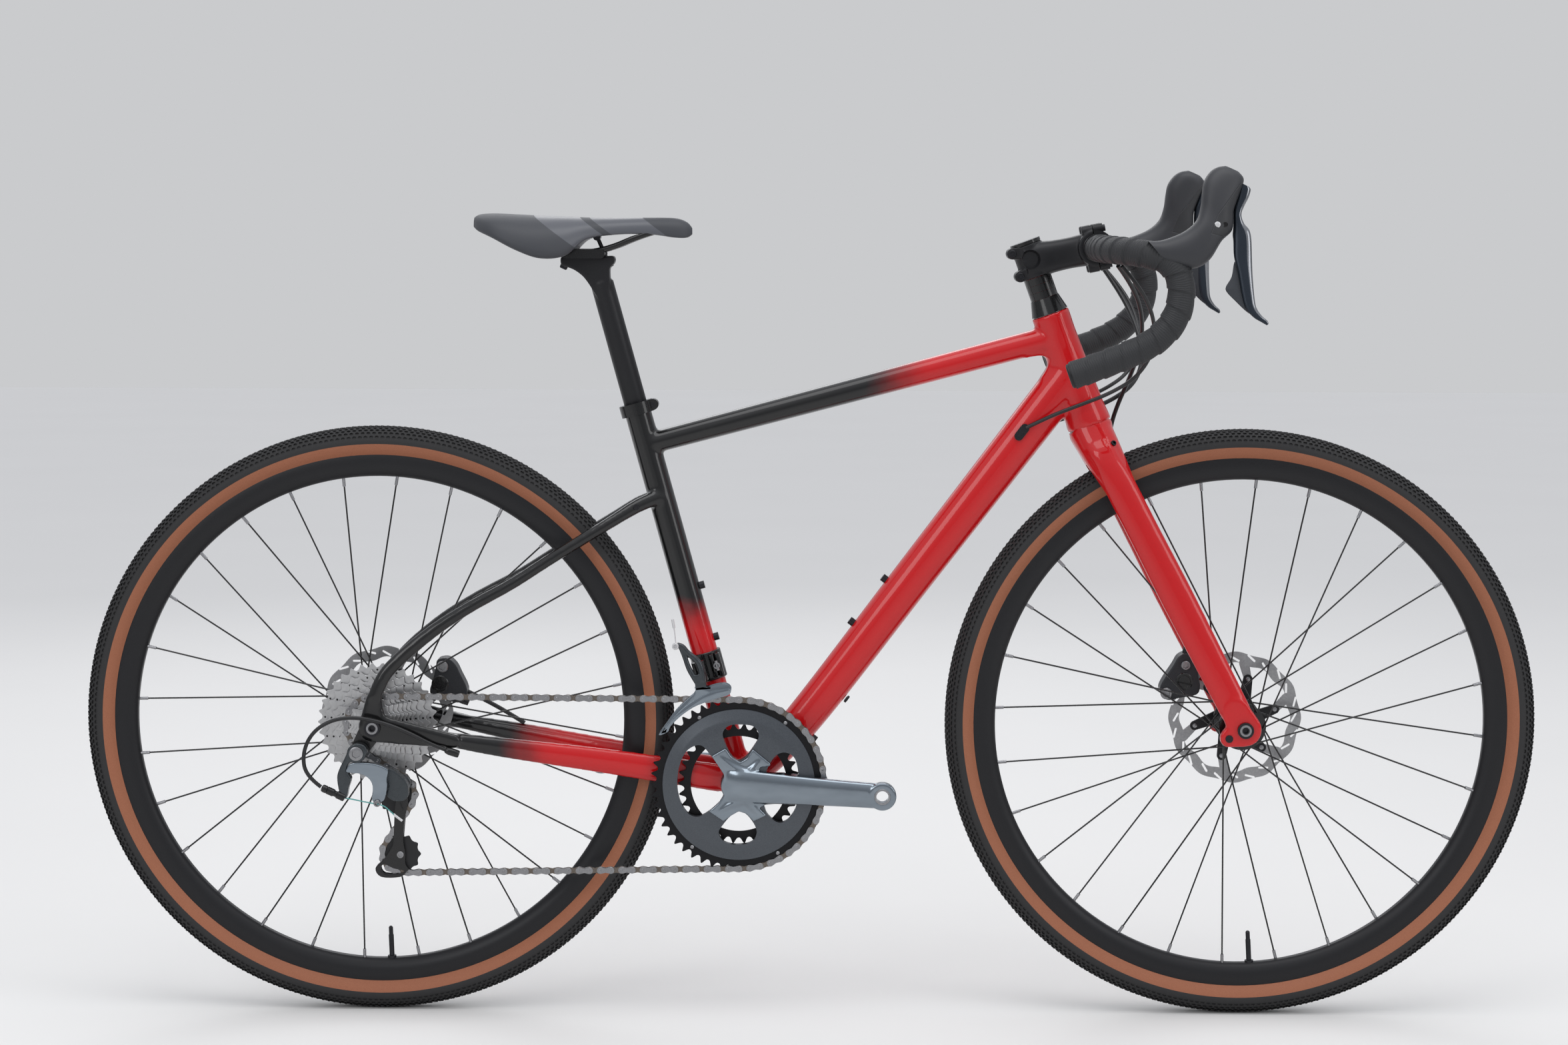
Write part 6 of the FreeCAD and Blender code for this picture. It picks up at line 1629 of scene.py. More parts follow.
@dataclass
class Chain:
    """Chain of inner and outer links on its run round the ring, cog and pulleys."""

    links: int = 114
    cog_teeth: int = 17
    held_pitches: float = 2.2
    plate_length: float = 12.65
    plate_thickness: float = 0.65
    plate_radius: float = 4.1
    plate_waist: float = 2.75
    inner_near: float = 1.2
    outer_near: float = 1.95
    rivet: Spots = ((1.3, -2.85), (1.7, -2.6), (1.7, 2.6), (1.3, 2.85))

    def stretches(self) -> List[Tuple[float, Callable[[float], Vector]]]:
        """Length and point function of each wrap and run."""
        ring = [(centre, pitch_radius(teeth), turn, place) for centre, teeth, turn, place in (
            (LAY.bb, LAY.ring_teeth, -1, LAY.ring_place),
            (LAY.tension, LAY.pulley_teeth, -1, LAY.cog_place),
            (LAY.guide, LAY.pulley_teeth, 1, LAY.cog_place),
            (LAY.rear_axle, self.cog_teeth, -1, LAY.cog_place))]
        count = len(ring)
        runs = []
        for number in range(count):
            (a, ra, ta, _), (b, rb, tb, _) = ring[number], ring[(number + 1) % count]
            reach = b - a
            heading = math.degrees(math.atan2(reach.z, reach.x))
            lean = math.degrees(math.asin((tb * rb - ta * ra) / reach.length))
            normal = polar(1, heading - lean + 90)
            runs.append((a - normal * (ta * ra), b - normal * (tb * rb)))
        parts = []
        for number, (centre, radius, turn, place) in enumerate(ring):
            arrive, leave = runs[number - 1][1] - centre, runs[number][0] - centre
            start = math.atan2(arrive.z, arrive.x)
            sweep = (math.atan2(leave.z, leave.x) - start) * turn % math.tau * turn
            parts.append((abs(sweep) * radius, self.wrap(centre, radius, start, sweep, place)))
            first, last = runs[number]
            parts.append(((last - first).length, self.run(first, last, place, ring[(number + 1) % count][3])))
        return parts

    def wrap(self, centre: Vector, radius: float, start: float, sweep: float,
             place: float) -> Callable[[float], Vector]:
        """Point function of a wrap."""
        return lambda share: placed(centre + polar(radius, math.degrees(start + sweep * share)), place)

    def run(self, first: Vector, last: Vector, place: float, other: float) -> Callable[[float], Vector]:
        """Point function of a straight run that leans once it has left its wheel."""
        held = CHAIN_PITCH * self.held_pitches / (last - first).length

        def spot(share: float) -> Vector:
            """Point at a share of the run."""
            lean = min(max((share - held) / (1 - 2 * held), 0), 1)
            return placed(first + (last - first) * share, place + (other - place) * lean)
        return spot

    def pins(self) -> List[Vector]:
        """Places of the chain's pins."""
        parts = self.stretches()
        total = sum(length for length, _ in parts)
        points = []
        for number in range(self.links):
            rest = total * number / self.links
            for length, spot in parts:
                if rest <= length:
                    break
                rest -= length
            points.append(spot(rest / length))
        return points

    def plates(self, near: float) -> Shape:
        """Pair of waisted plates, with their length along X and their width across Z."""
        half, thick, end_radius = self.plate_length / 2, self.plate_thickness, self.plate_radius
        outline = []
        for end in (1, -1):
            for step in range(9):
                spot = polar(end_radius, -100 + 25 * step)
                outline.append(((half + spot.x) * end, spot.z * end))
            outline.append((0, self.plate_waist * end))
        shape = Shape()
        lip = min(0.18, thick / 3)
        for low, high in ((near, near + thick), (-near - thick, -near)):
            rings = []
            for z, grow in ((low, -lip), (low + lip, 0), (high - lip, 0), (high, -lip)):
                along, across = 1 + grow / (half + end_radius), 1 + grow / end_radius
                rings.append([Vector((x * along, y * across, z)) for x, y in outline])
            shape.loft(rings)
        return shape

    def build(self) -> None:
        """Places the links and pins."""
        pins = self.pins()
        inner, outer, rivets = [], [], []
        for number, here in enumerate(pins):
            there = pins[(number + 1) % len(pins)]
            along = (there - here).normalized()
            (outer if number % 2 else inner).append(((here + there) / 2, ACROSS, along))
            rivets.append((here, ACROSS, along))
        for name, spots, item, finish in (
                ("chain_inner_links", inner, self.plates(self.inner_near), CHAIN_BROWN),
                ("chain_outer_links", outer, self.plates(self.outer_near), STEEL),
                ("chain_rivets", rivets, stud(self.rivet, 8), STEEL)):
            fitted(SCATTER.spread(name, spots, item, finish), "frame", "steel", "chain")


@dataclass
class BarTape:
    """Wound tape on both halves of the drop bar, with plugs in its ends."""

    start: float = 46.0
    reach: float = 86.0
    half_width: float = 206.0
    drop: float = 141.0
    inner_radius: float = 14.7
    lap: float = 1.5
    lap_share: float = 0.94
    lap_power: float = 0.7
    wrap: float = 21.0
    rib: float = 2.6
    rib_wave: float = 0.314
    rib_turns: float = 14.0
    sides: int = 44
    route: Table = (
        (0, .54, 0), (.15, .79, -.01), (.47, .96, -.03), (.78, 1.0, -.085), (.945, 1.01, -.25),
        (.905, 1.02, -.51), (.64, 1.022, -.715), (.19, 1.012, -.855), (-.47, .995, -1))
    plug: Spots = ((12.5, -2), (14.2, 0), (14.2, 2.2), (12.8, 3.6), (9, 4), (8.4, 3.2))

    def points(self, side: Side) -> List[Vector]:
        """Points of one half's line, from a place beside the stem to its end."""
        centre = LAY.bar
        rows = [side.point((centre.x, -self.start, centre.z))]
        for x, y, z in self.route:
            spot = (centre.x + self.reach * x, -self.half_width * y, centre.z + self.drop * z)
            rows.append(side.point(spot))
        return line_points("bar_line", rows, 40)

    def winding(self, path: Ring, side: Side) -> Tuple[List[List[Vector]], List[float]]:
        """Rings of the wound tape, and how far along the bar each one lies."""
        turn_side = UP
        travelled = 0.0
        rings, places = [], []
        for number, (point, way) in enumerate(zip(path, headings(path))):
            if number:
                travelled += (point - path[number - 1]).length
            tangent = way.normalized()
            turn_side = (turn_side - tangent * turn_side.dot(tangent)).normalized()
            other = tangent.cross(turn_side)
            ring = []
            for i in range(self.sides):
                angle = math.tau * i / self.sides
                phase = (travelled / self.wrap + side.value * i / self.sides) % 1.0
                rise = min(phase / self.lap_share, (1 - phase) / (1 - self.lap_share))
                radius = self.inner_radius + self.lap * rise ** self.lap_power
                sweep = turn_side * (radius * math.cos(angle)) + other * (radius * math.sin(angle))
                ring.append(point + sweep)
            rings.append(ring)
            places.append(travelled)
        return rings, places

    def ribs(self, mesh: Mesh, places: Sequence[float]) -> None:
        """Lays the map of the ribs along and round the bar."""
        layer = mesh.uv_layers.new(name="wrap_map")
        count = self.sides
        total = len(places) * count
        for polygon in mesh.polygons:
            corners = [mesh.loops[i].vertex_index for i in polygon.loop_indices]
            wraps = [c % count for c in corners if c < total]
            seam = wraps and max(wraps) - min(wraps) > count / 2
            for index, corner in zip(polygon.loop_indices, corners):
                row, place = divmod(min(corner, total - 1), count)
                place = place + count if seam and place < count / 2 else place
                along = places[row] / self.rib * self.rib_wave
                layer.data[index].uv = (along, place / count * self.rib_turns)

    def half(self, side: Side) -> None:
        """One half's tape, wound outward from the middle."""
        name = side.label + "_tape"
        path = self.points(side)
        rings, places = self.winding(path, side)
        shape = Shape()
        shape.loft(rings)
        piece = shape.piece(name, TAPE, angle=50)
        self.ribs(piece.data, places)
        fitted(piece, "steering", "bar_wrap", "bar_tape")
        plug = Shape()
        plug.lathe(self.plug, path[-1], (path[-1] - path[-2]).normalized(), 32, False)
        fitted(plug.piece(name + "_plug", BLACK_PLASTIC, angle=35), "steering", "black_plastic", "bar_tape")

    def build(self) -> None:
        """Both halves."""
        for side in Side:
            self.half(side)


@dataclass
class Saddle:
    """Padded saddle with satin side panels."""

    length: float = 256.0
    width: float = 144.0
    height: float = 63.0
    padding: float = 20.0
    rise: float = 162.0
    nose: float = 110.0
    base: float = 6.0
    rises: Spot = (0.93, 0.62, 0.12)
    steps: int = 7
    section_steps: int = 5
    stations: Table = (
        (0.000, 0.26, 0.930, 0.745), (0.030, 0.58, 0.985, 0.665), (0.100, 0.88, 1.000, 0.545),
        (0.210, 1.00, 0.980, 0.325), (0.320, 0.97, 0.960, 0.180), (0.430, 0.80, 0.945, 0.230),
        (0.520, 0.58, 0.930, 0.520), (0.650, 0.38, 0.922, 0.610), (0.800, 0.30, 0.930, 0.620),
        (0.920, 0.27, 0.922, 0.560), (0.975, 0.20, 0.850, 0.560), (1.000, 0.09, 0.740, 0.620))

    def spot(self, share: float, rise: float, place: float) -> Vector:
        """Point of the saddle's own box."""
        top = LAY.on_seat(LAY.seat_length + self.rise)
        back = self.nose - self.length * (1 - share)
        return Vector((top.x + back, place, top.z + self.base + self.height * rise))

    def section(self, share: float, width: float, top: float, edge: float) -> List[Vector]:
        """Closed section at a share of the length."""
        half = self.width / 2 * width
        under = max(edge, top - self.padding / self.height)
        crown, flank, lip = (edge + (top - edge) * share_up for share_up in self.rises)
        table = [(0, top), (half * .5, crown), (half * .88, flank), (half, lip), (half * .86, edge),
                 (half * .5, (edge + under) / 2), (0, under)]
        table += [(-p, r) for p, r in reversed(table[1:-1])]
        steps = self.section_steps
        fine = spline([table[-1]] + table + table[:2], steps)[steps:-steps]
        return [self.spot(share, r, p) for p, r in fine[:-1]]

    def build(self) -> None:
        """Makes the cover."""
        shape = Shape()
        shape.loft([self.section(*row) for row in spline(list(self.stations), self.steps)])
        piece = shape.piece("saddle_padding", COVER, angle=60)
        fitted(piece, "seat", "saddle_cover", "saddle")


@dataclass
class Controls:
    """Hoods, brake levers and shift paddles of both sides.

    Each station of a hood or blade holds two edge points of the side view, the place across the bike and the
    half width there.
    """

    hood: Table = (
        (376.3, 924.4, 395.9, 900.0, -205.0, 15.0), (389.6, 925.2, 412.3, 894.9, -205.5, 17.5),
        (404.3, 929.7, 430.8, 894.9, -206.0, 18.5), (419.1, 937.1, 445.6, 904.6, -205.0, 18.5),
        (430.3, 948.2, 458.1, 924.6, -203.0, 18.0), (435.0, 963.1, 470.3, 937.3, -199.0, 17.5),
        (436.6, 977.9, 471.8, 957.3, -196.0, 17.5), (439.0, 991.2, 477.2, 973.6, -193.0, 17.0),
        (445.9, 1001.7, 482.5, 987.0, -190.0, 15.5), (454.1, 1006.9, 483.3, 995.1, -188.5, 12.5),
        (463.2, 1008.4, 478.1, 1001.8, -187.5, 6.5))
    blade: Table = (
        (489.9, 984.8, 479.4, 989.9, -191.0, 5.5), (491.4, 981.8, 478.0, 983.2, -191.0, 6.0),
        (489.2, 973.6, 475.8, 972.8, -192.0, 6.0), (484.0, 963.2, 472.9, 963.2, -193.0, 6.0),
        (481.0, 954.3, 472.1, 954.3, -194.5, 6.0), (483.9, 944.7, 472.1, 942.4, -196.0, 5.8),
        (489.7, 937.3, 471.3, 932.1, -198.0, 5.6), (491.9, 926.2, 471.9, 924.7, -200.0, 5.5),
        (492.5, 904.0, 472.4, 907.7, -204.0, 5.0), (493.0, 885.6, 476.6, 889.2, -208.0, 4.8),
        (494.3, 867.1, 480.2, 867.1, -212.0, 4.5), (496.3, 852.4, 484.5, 850.9, -215.5, 4.0),
        (502.0, 842.9, 493.1, 840.6, -218.5, 3.6), (508.4, 837.0, 502.5, 834.8, -221.0, 3.0),
        (509.8, 833.4, 507.6, 831.9, -222.0, 1.6))
    paddle: Spots = (
        (473.3, 901.7), (479.3, 898.8), (485.6, 878.0), (488.8, 865.4), (495.0, 850.6), (499.6, 840.9),
        (487.6, 845.3), (472.5, 859.4), (464.2, 868.3), (463.4, 874.2), (469.9, 885.4))
    hood_power: float = 2.4
    blade_power: float = 2.6
    # Share of the blade's ring given the painted highlight along its front edge.
    highlight_share: float = 0.2
    paddle_place: float = -202.0
    paddle_lean: float = 0.24
    paddle_thickness: float = 2.6
    paddle_rings: Spots = ((-1, 0.95), (-0.6, 1), (0.4, 1), (1, 0.93))
    cap: Spot = (451.8, -218.4, 943.2)
    cap_profile: Spots = ((3.4, -3), (3.4, 0.1), (2.4, 0.6))
    # Black disc of painted shade in each hood's screw hole, and its profile.
    hole: Spot = (460.7, -216.4, 943.2)
    hole_shade_profile: Spots = ((2.8, -3), (2.8, 0.1), (2.4, -0.4))
    sides: int = 40

    def skin(self, stations: Table, power: float, side: Side) -> List[List[Vector]]:
        """Rings through the stations."""
        rings = []
        for ax, az, bx, bz, place, half in spline(list(stations), 5):
            first, last = Vector((ax, place, az)), Vector((bx, place, bz))
            middle, reach = (first + last) / 2, (last - first) / 2
            rings.append([middle + reach * c + ACROSS * (half * s) for c, s in loop(self.sides, power)])
        return side.rings(rings)

    def build_hoods(self) -> None:
        """Hoods with their seams, and on each the small cap and a black disc of painted shade in the screw
        hole.
        """
        hoods, caps = Shape(), Shape()
        for side in Side:
            hoods.loft(self.skin(self.hood, self.hood_power, side))
            outward = -ACROSS * side.value
            caps.lathe(self.cap_profile, side.point(self.cap), outward, 20, False)
            # Black disc in the screw hole: painted shade.
            caps.lathe(self.hole_shade_profile, side.point(self.hole), outward, 20, False, lambda row, column: 1)
        fitted(hoods.piece("hood_rubber_pair", HOOD_SKIN, angle=60), "steering", "grip_rubber", "lever_hoods")
        piece = caps.piece("hood_screws", WHITE_CAP, GLOSS_BLACK, angle=40)
        fitted(piece, "steering", "black_plastic", "lever_hoods")

    def lever(self, side: Side) -> None:
        """Lever blade with a painted highlight along its front edge."""
        edge = self.sides // 2

        def mark(row: int, column: int) -> int:
            """Painted highlight along the front edge."""
            return 1 if abs(column - edge + 0.5) < self.sides * self.highlight_share else 0
        blade = Shape()
        blade.loft(self.skin(self.blade, self.blade_power, side), mark=mark)
        piece = blade.piece(side.label + "_blade", LEVER_SIDE, LEVER_HIGHLIGHT, angle=50)
        fitted(piece, side.label + "_lever", "black_gloss", "brake_lever_" + side.label)

    def shifter(self, side: Side) -> None:
        """Paddle behind the lever."""
        outline = rounded(self.paddle, 4)
        middle = sum(outline, Vector()) / len(outline)
        top = max(p.z for p in outline)
        rings = []
        for lift, shrink in self.paddle_rings:
            ring = []
            for p in outline:
                place = self.paddle_place - (top - p.z) * self.paddle_lean - lift * self.paddle_thickness / 2
                ring.append(placed(middle + (p - middle) * shrink, place))
            rings.append(ring)
        paddle = Shape()
        paddle.loft(side.rings(rings))
        piece = paddle.piece(side.label + "_shift_blade", PADDLE_GREY)
        fitted(piece, side.label + "_paddle", "black_plastic", "shift_paddle_" + side.label)

    def build(self) -> None:
        """Both sides."""
        self.build_hoods()
        for side in Side:
            self.lever(side)
            self.shifter(side)


@dataclass
class Crankset:
    """Forged cranks, the toothed rings, their cover and its rivets."""

    spider: Spots = (
        (-115.2, 316.2), (-98.7, 325.9), (-90.8, 314.8), (-81.4, 309.2), (-73.5, 314.1), (-66.5, 325.2),
        (-45.2, 307.8), (-46.0, 304.7), (-57.0, 303.0), (-59.3, 299.0), (-51.5, 297.5), (-10.6, 294.5),
        (-10.6, 260.0), (-26.2, 260.2), (-51.4, 258.5), (-58.4, 254.4), (-49.8, 245.7), (-65.5, 238.4),
        (-73.4, 247.2), (-82.8, 250.3), (-92.3, 244.7), (-100.9, 238.2), (-118.3, 250.1), (-106.5, 260.5),
        (-99.4, 272.5), (-97.9, 282.1), (-101.0, 294.8), (-108.9, 306.7))
    spider_places: Pair = (-57.2, -49.2)
    top_window: Spots = (
        (-102.0, 340.9), (-99.7, 348.1), (-92.6, 352.9), (-80.0, 353.7), (-67.4, 352.2), (-61.1, 346.7),
        (-59.5, 338.8), (-63.5, 330.8), (-73.7, 316.4), (-83.1, 310.8), (-91.0, 315.5), (-98.1, 328.2))
    left_window: Spots = (
        (-155.5, 288.9), (-152.4, 306.4), (-145.3, 320.8), (-135.1, 328.0), (-126.4, 328.1), (-119.3, 320.9),
        (-106.7, 303.5), (-98.8, 289.2), (-98.0, 276.4), (-103.5, 263.6), (-117.7, 250.0), (-130.3, 243.5),
        (-141.3, 245.9), (-150.0, 257.0), (-154.8, 271.3))
    right_window: Spots = (
        (-50.0, 299.0), (-44.5, 310.2), (-37.5, 318.2), (-28.0, 320.6), (-18.6, 315.9), (-13.8, 304.0),
        (-11.3, 280.1), (-13.6, 260.9), (-18.3, 248.9), (-26.2, 239.3), (-36.4, 236.9), (-46.7, 244.0),
        (-52.2, 254.3), (-55.5, 279.9))
    low_window: Spots = (
        (-106.6, 224.5), (-101.9, 233.3), (-92.4, 244.5), (-83.0, 250.2), (-73.5, 246.2), (-64.8, 235.1),
        (-61.6, 225.5), (-64.8, 215.9), (-73.4, 211.1), (-89.2, 210.2), (-101.1, 214.1))
    length: float = 170.0
    turn: float = -3.3
    arm: Table = (
        (-0.09, 52.0, 5.0, 21.0), (0.0, 56.0, 6.5, 19.6), (0.2, 59.0, 6.8, 18.6), (0.45, 61.4, 6.8, 17.0),
        (0.75, 64.2, 6.6, 15.6), (1.0, 66.0, 6.6, 15.0))
    arm_power: float = 2.8
    tip_profile: Spots = ((15.6, -72.6), (16.6, -71.4), (16.6, -60.8), (15.6, -59.6))
    ridges: Tuple[Table, ...] = (
        ((-28.0, -57.5, 291.0), (-62.0, -56.0, 292.5), (-86.0, -53.5, 301.0), (-106.0, -51.8, 316.0)),
        ((-28.0, -57.5, 266.0), (-62.0, -56.0, 266.5), (-87.0, -53.5, 260.5), (-108.0, -51.8, 248.5)),
        ((-76.0, -55.0, 292.0), (-66.0, -53.5, 301.0), (-58.0, -51.8, 312.0)),
        ((-76.0, -55.0, 266.0), (-67.0, -53.5, 257.0), (-60.0, -51.8, 246.0)))
    ridge_radius: float = 6.6
    right_boss: Spots = ((20, -56.5), (21, -55.5), (21, -44.6))
    left_boss: Spots = ((19, -64.8), (21, -62), (21, -44.6))
    pedal_bore: Spots = ((7.14, -90), (7.14, 90))
    pedal_seat: Spots = ((7.2, -71.1), (7.2, -73.1), (9.4, -73.1), (10.2, -71.9))
    spindle: Spot = (12.0, -45.0, 59.0)
    small_teeth: int = 34
    small_place: float = -40.0
    ring_inner: Pair = (84.0, 57.0)
    ring_thickness: float = 2.0
    cover_profile: Spots = (
        (22, -45.2), (22, -54.0), (62, -54.0), (76.5, -53.4), (79.0, -52.6), (90.0, -49.6), (90.4, -48.6),
        (90.0, -46.2), (80, -45.2))
    cover_cut: Pair = (-70.0, -30.0)
    rivets: Spots = ((92.5, 120.2), (92.3, 53.4), (93.0, 233.7), (94.0, 299.7))
    rivet_profile: Spots = ((2.2, -48.2), (2.2, -49.3), (1.4, -49.9))

    def crank(self, side: Side) -> None:
        """One crank, melted into a single skin, with its pedal hole and the seat round it."""
        shape = Shape()
        way = side.value
        rows = [(*placed(LAY.bb + polar(self.length * share * way, self.turn), -place), thick, deep)
                for share, place, thick, deep in self.arm]
        shape.rows(spline(rows, 6), 36, self.arm_power)
        tip = LAY.bb + polar(self.length * way, self.turn)
        shape.lathe(self.tip_profile, tip, ACROSS, 40, False)
        if side is Side.RIGHT:
            shape.prism(side_points(self.spider), *self.spider_places)
            for ridge in self.ridges:
                path = [Vector(spot) for spot in spline(list(ridge), 5)]
                shape.tube(path, lambda share: self.ridge_radius - share, 20)
            shape.lathe(self.right_boss, LAY.bb, ACROSS, 40, False)
        else:
            shape.lathe(self.left_boss, LAY.bb, ACROSS, 40, False)
        shape.points = [side.point(p) for p in shape.points]
        piece = melted(shape.piece(side.label + "_crank_arm", POLISHED), 1.0, 12)
        drilled(piece, self.pedal_bore, tip, ACROSS)
        node = side.label + "_crank"
        fitted(piece, "crankset", "polished_alloy", node)
        ring = Shape()
        ring.lathe([(radius, place * way) for radius, place in self.pedal_seat], tip, ACROSS, 40)
        fitted(ring.piece(side.label + "_pedal_seat", BOLT), "crankset", "polished_alloy", node)

    def axle(self) -> None:
        """Spindle between the cranks."""
        shape = Shape()
        shape.drum(*self.spindle, LAY.bb, ACROSS)
        fitted(shape.piece("crank_spindle", STEEL), "crankset", "polished_alloy", "right_crank")

    def rings(self) -> None:
        """Toothed rings, and the raised cover of the large one with its four windows."""
        teeth = Shape()
        for count, inner, place in zip((LAY.ring_teeth, self.small_teeth), self.ring_inner,
                                       (LAY.ring_place, self.small_place)):
            toothed(teeth, LAY.bb, count, inner, place, self.ring_thickness)
        fitted(teeth.piece("ring_teeth", RING_BLACK), "crankset", "ring_grey", "chainrings")
        shape = Shape()
        shape.lathe(self.cover_profile, LAY.bb, ACROSS, 144)
        piece = shape.piece("ring_cover", COVER_GREY)
        for window in (self.top_window, self.left_window, self.right_window, self.low_window):
            tool = Shape()
            tool.prism(rounded(window, 4), *self.cover_cut)
            bored(piece, tool)
        tidy(piece.data, 30)
        fitted(piece, "crankset", "ring_grey", "chainrings")
        rivets = Shape()
        for reach, angle in self.rivets:
            rivets.lathe(self.rivet_profile, LAY.bb + polar(reach, angle), ACROSS, 16, False)
        fitted(rivets.piece("ring_rivets", STEEL), "crankset", "ring_grey", "chainrings")

    def build(self) -> None:
        """Both cranks, the spindle and the rings."""
        self.crank(Side.RIGHT)
        self.axle()
        self.crank(Side.LEFT)
        self.rings()


@dataclass
class Cassette:
    """Ten cogs with shaped teeth on the freehub."""

    teeth: Tuple[int, ...] = (11, 13, 15, 17, 19, 21, 23, 26, 30, 34)
    first_place: float = -66.0
    spacing: float = 3.95
    thickness: float = 1.8
    inner: float = 18.0
    tip: float = 0.72
    holed_from: float = 30.0
    hole_depth: float = 6.0
    # Profile of the black disc at each hole: painted shade standing in for the hole.
    hole: Spots = ((1.25, -0.2), (1.25, 0.06), (0.9, 0.1))
    freehub: Spots = (
        (6.2, -70.4), (10, -70.4), (10, -68), (17, -68), (19.4, -66), (19.4, -30.4), (17, -26.6),
        (6.2, -26.6))

    def build(self) -> None:
        """Cogs, spacers and black discs of painted shade at each hole of the large cogs."""
        shape = Shape()
        hole_shade_discs = []
        for number, count in enumerate(self.teeth):
            place = self.first_place + self.spacing * number
            toothed(shape, LAY.rear_axle, count, self.inner, place, self.thickness, self.tip)
            radius = pitch_radius(count)
            if radius > self.holed_from:
                for hole in range(count // 2):
                    spot = LAY.rear_axle + polar(radius - self.hole_depth, 720.0 * (hole + 0.25) / count)
                    hole_shade_discs.append((placed(spot, place - self.thickness / 2), -ACROSS, AHEAD))
        shape.lathe(self.freehub, LAY.rear_axle, ACROSS, 48)
        fitted(shape.piece("cog_stack", COG_STEEL), "cog_set", "steel", "cassette")
        # Black disc at each hole's place: painted shade instead of a cut hole.
        item = stud(self.hole, 10)
        fitted(SCATTER.spread("cog_holes", hole_shade_discs, item, GLOSS_BLACK), "cog_set", "steel", "cassette")


@dataclass
class RearDerailleur:
    """Upper knuckle, polished link, lower knuckle, slim cage and inner cable."""

    knuckle: Spots = (
        (-536.6, 331.0), (-544.6, 315.2), (-550.1, 304.1), (-552.6, 294.6), (-551.1, 282.0), (-548.1, 271.7),
        (-541.9, 270.1), (-539.4, 282.0), (-536.2, 293.1), (-540.8, 300.2), (-541.5, 305.7), (-536.8, 312.9),
        (-525.8, 314.5), (-517.1, 323.2), (-519.4, 331.9), (-527.9, 335.0))
    knuckle_places: Pair = (-92.5, -78.0)
    link: Spots = (
        (-541.9, 301.5), (-538.7, 309.4), (-529.3, 312.6), (-509.8, 311.2), (-495.7, 306.5), (-492.6, 301.8),
        (-494.3, 292.3), (-493.6, 286.0), (-495.2, 274.9), (-498.4, 267.0), (-506.3, 264.6), (-511.7, 268.5),
        (-510.8, 279.6), (-511.5, 287.5), (-516.2, 294.5), (-525.5, 299.2), (-534.9, 300.0))
    link_places: Pair = (-93.0, -82.5)
    lower: Spots = (
        (-496.1, 302.5), (-489.8, 303.3), (-480.4, 296.3), (-472.7, 288.4), (-470.4, 280.5), (-471.2, 270.1),
        (-476.8, 265.3), (-487.0, 265.3), (-495.6, 271.6), (-493.9, 283.5), (-496.9, 293.0))
    lower_places: Pair = (-83.0, -66.0)
    lower_pivot: Pair = (-481.2, 283.0)
    lower_boss: Spot = (11.5, -68.0, -60.3)
    cage: Spots = (
        (-487.8, 263.5), (-489.5, 250.8), (-490.5, 230.8), (-491.4, 213.2), (-495.4, 202.8), (-503.4, 190.7),
        (-513.0, 180.3), (-506.0, 169.9), (-483.8, 170.0), (-475.9, 176.5), (-473.5, 179.7), (-477.4, 186.9),
        (-477.3, 198.9), (-479.6, 213.3), (-478.6, 230.9), (-476.9, 245.2), (-473.7, 260.4), (-475.0, 274.0),
        (-481.0, 279.0), (-487.0, 275.0))
    window: Spots = (
        (-506.7, 181.1), (-501.9, 185.1), (-491.7, 180.4), (-480.6, 178.1), (-479.1, 175.7), (-485.4, 174.0),
        (-502.0, 173.9))
    hanger_bolt: Pair = (-529.7, 323.0)
    hanger_boss: Spot = (11.2, -93.0, -77.5)
    hanger_head: Spot = (-93.2, 8.2, 2.2)
    cable_bolt: Spot = (-505.5, -93.0, 264.8)
    cable_head: Pair = (4.2, 3.4)
    adjuster_start: Spot = (-570.2, -95.0, 283.2)
    adjuster_stop: Spot = (-543.0, -90.0, 269.5)
    adjuster: Spots = (
        (2.4, 0), (3.9, 0.6), (4.6, 2), (4.6, 6), (4.1, 6.6), (4.6, 7.2), (4.6, 15), (3.6, 16.5), (3.6, 19),
        (4.6, 20), (4.6, 29), (2.6, 30))
    cable: float = 0.75
    cable_cap: float = 1.5
    tail: Table = ((-505.3, -95.2, 264.0), (-497.5, -95.5, 262.4), (-491, -95.8, 256.6), (-485.1, -96, 251.4))
    tail_cap: Table = ((-485.6, -96, 251.8), (-480, -96, 247.4), (-475.8, -96, 244.3))
    run: Table = ((-544.0, -90.2, 270.0), (-536, -91.5, 269.2), (-524, -93.6, 266.9), (-509.5, -95.2, 264.6))
    plate_gap: float = 3.6
    plate: float = 1.8
    plate_ease: float = 0.45
    pulley_inner: float = 5.0
    pulley_thickness: float = 2.0
    pulley_tip: float = 0.4
    pulley_bolt: Pair = (4.0, 1.6)
    pulley_pin: float = 2.4

    def upper_knuckle(self) -> None:
        """Knuckle on the hanger with its bolt, the cable stop and the adjuster."""
        shape, head, barrel = Shape(), Shape(), Shape()
        bolt = side_point(self.hanger_bolt)
        shape.prism(rounded(self.knuckle), *self.knuckle_places)
        shape.drum(*self.hanger_boss, bolt, ACROSS, 32)
        piece = melted(shape.piece("upper_knuckle", GREY_ALLOY), 0.9, 5)
        fitted(piece, "frame", "black_metal", "derailleur_knuckle")
        place, radius, height = self.hanger_head
        socket_bolt(head, placed(bolt, place), -ACROSS, radius, height)
        fitted(head.piece("hanger_bolt_head", STEEL), "frame", "bolt_steel", "derailleur_knuckle")
        start = Vector(self.adjuster_start)
        barrel.lathe(self.adjuster, start, (Vector(self.adjuster_stop) - start).normalized(), 24, False)
        fitted(barrel.piece("barrel_adjuster", GLOSS_BLACK), "frame", "black_plastic", "derailleur_knuckle")

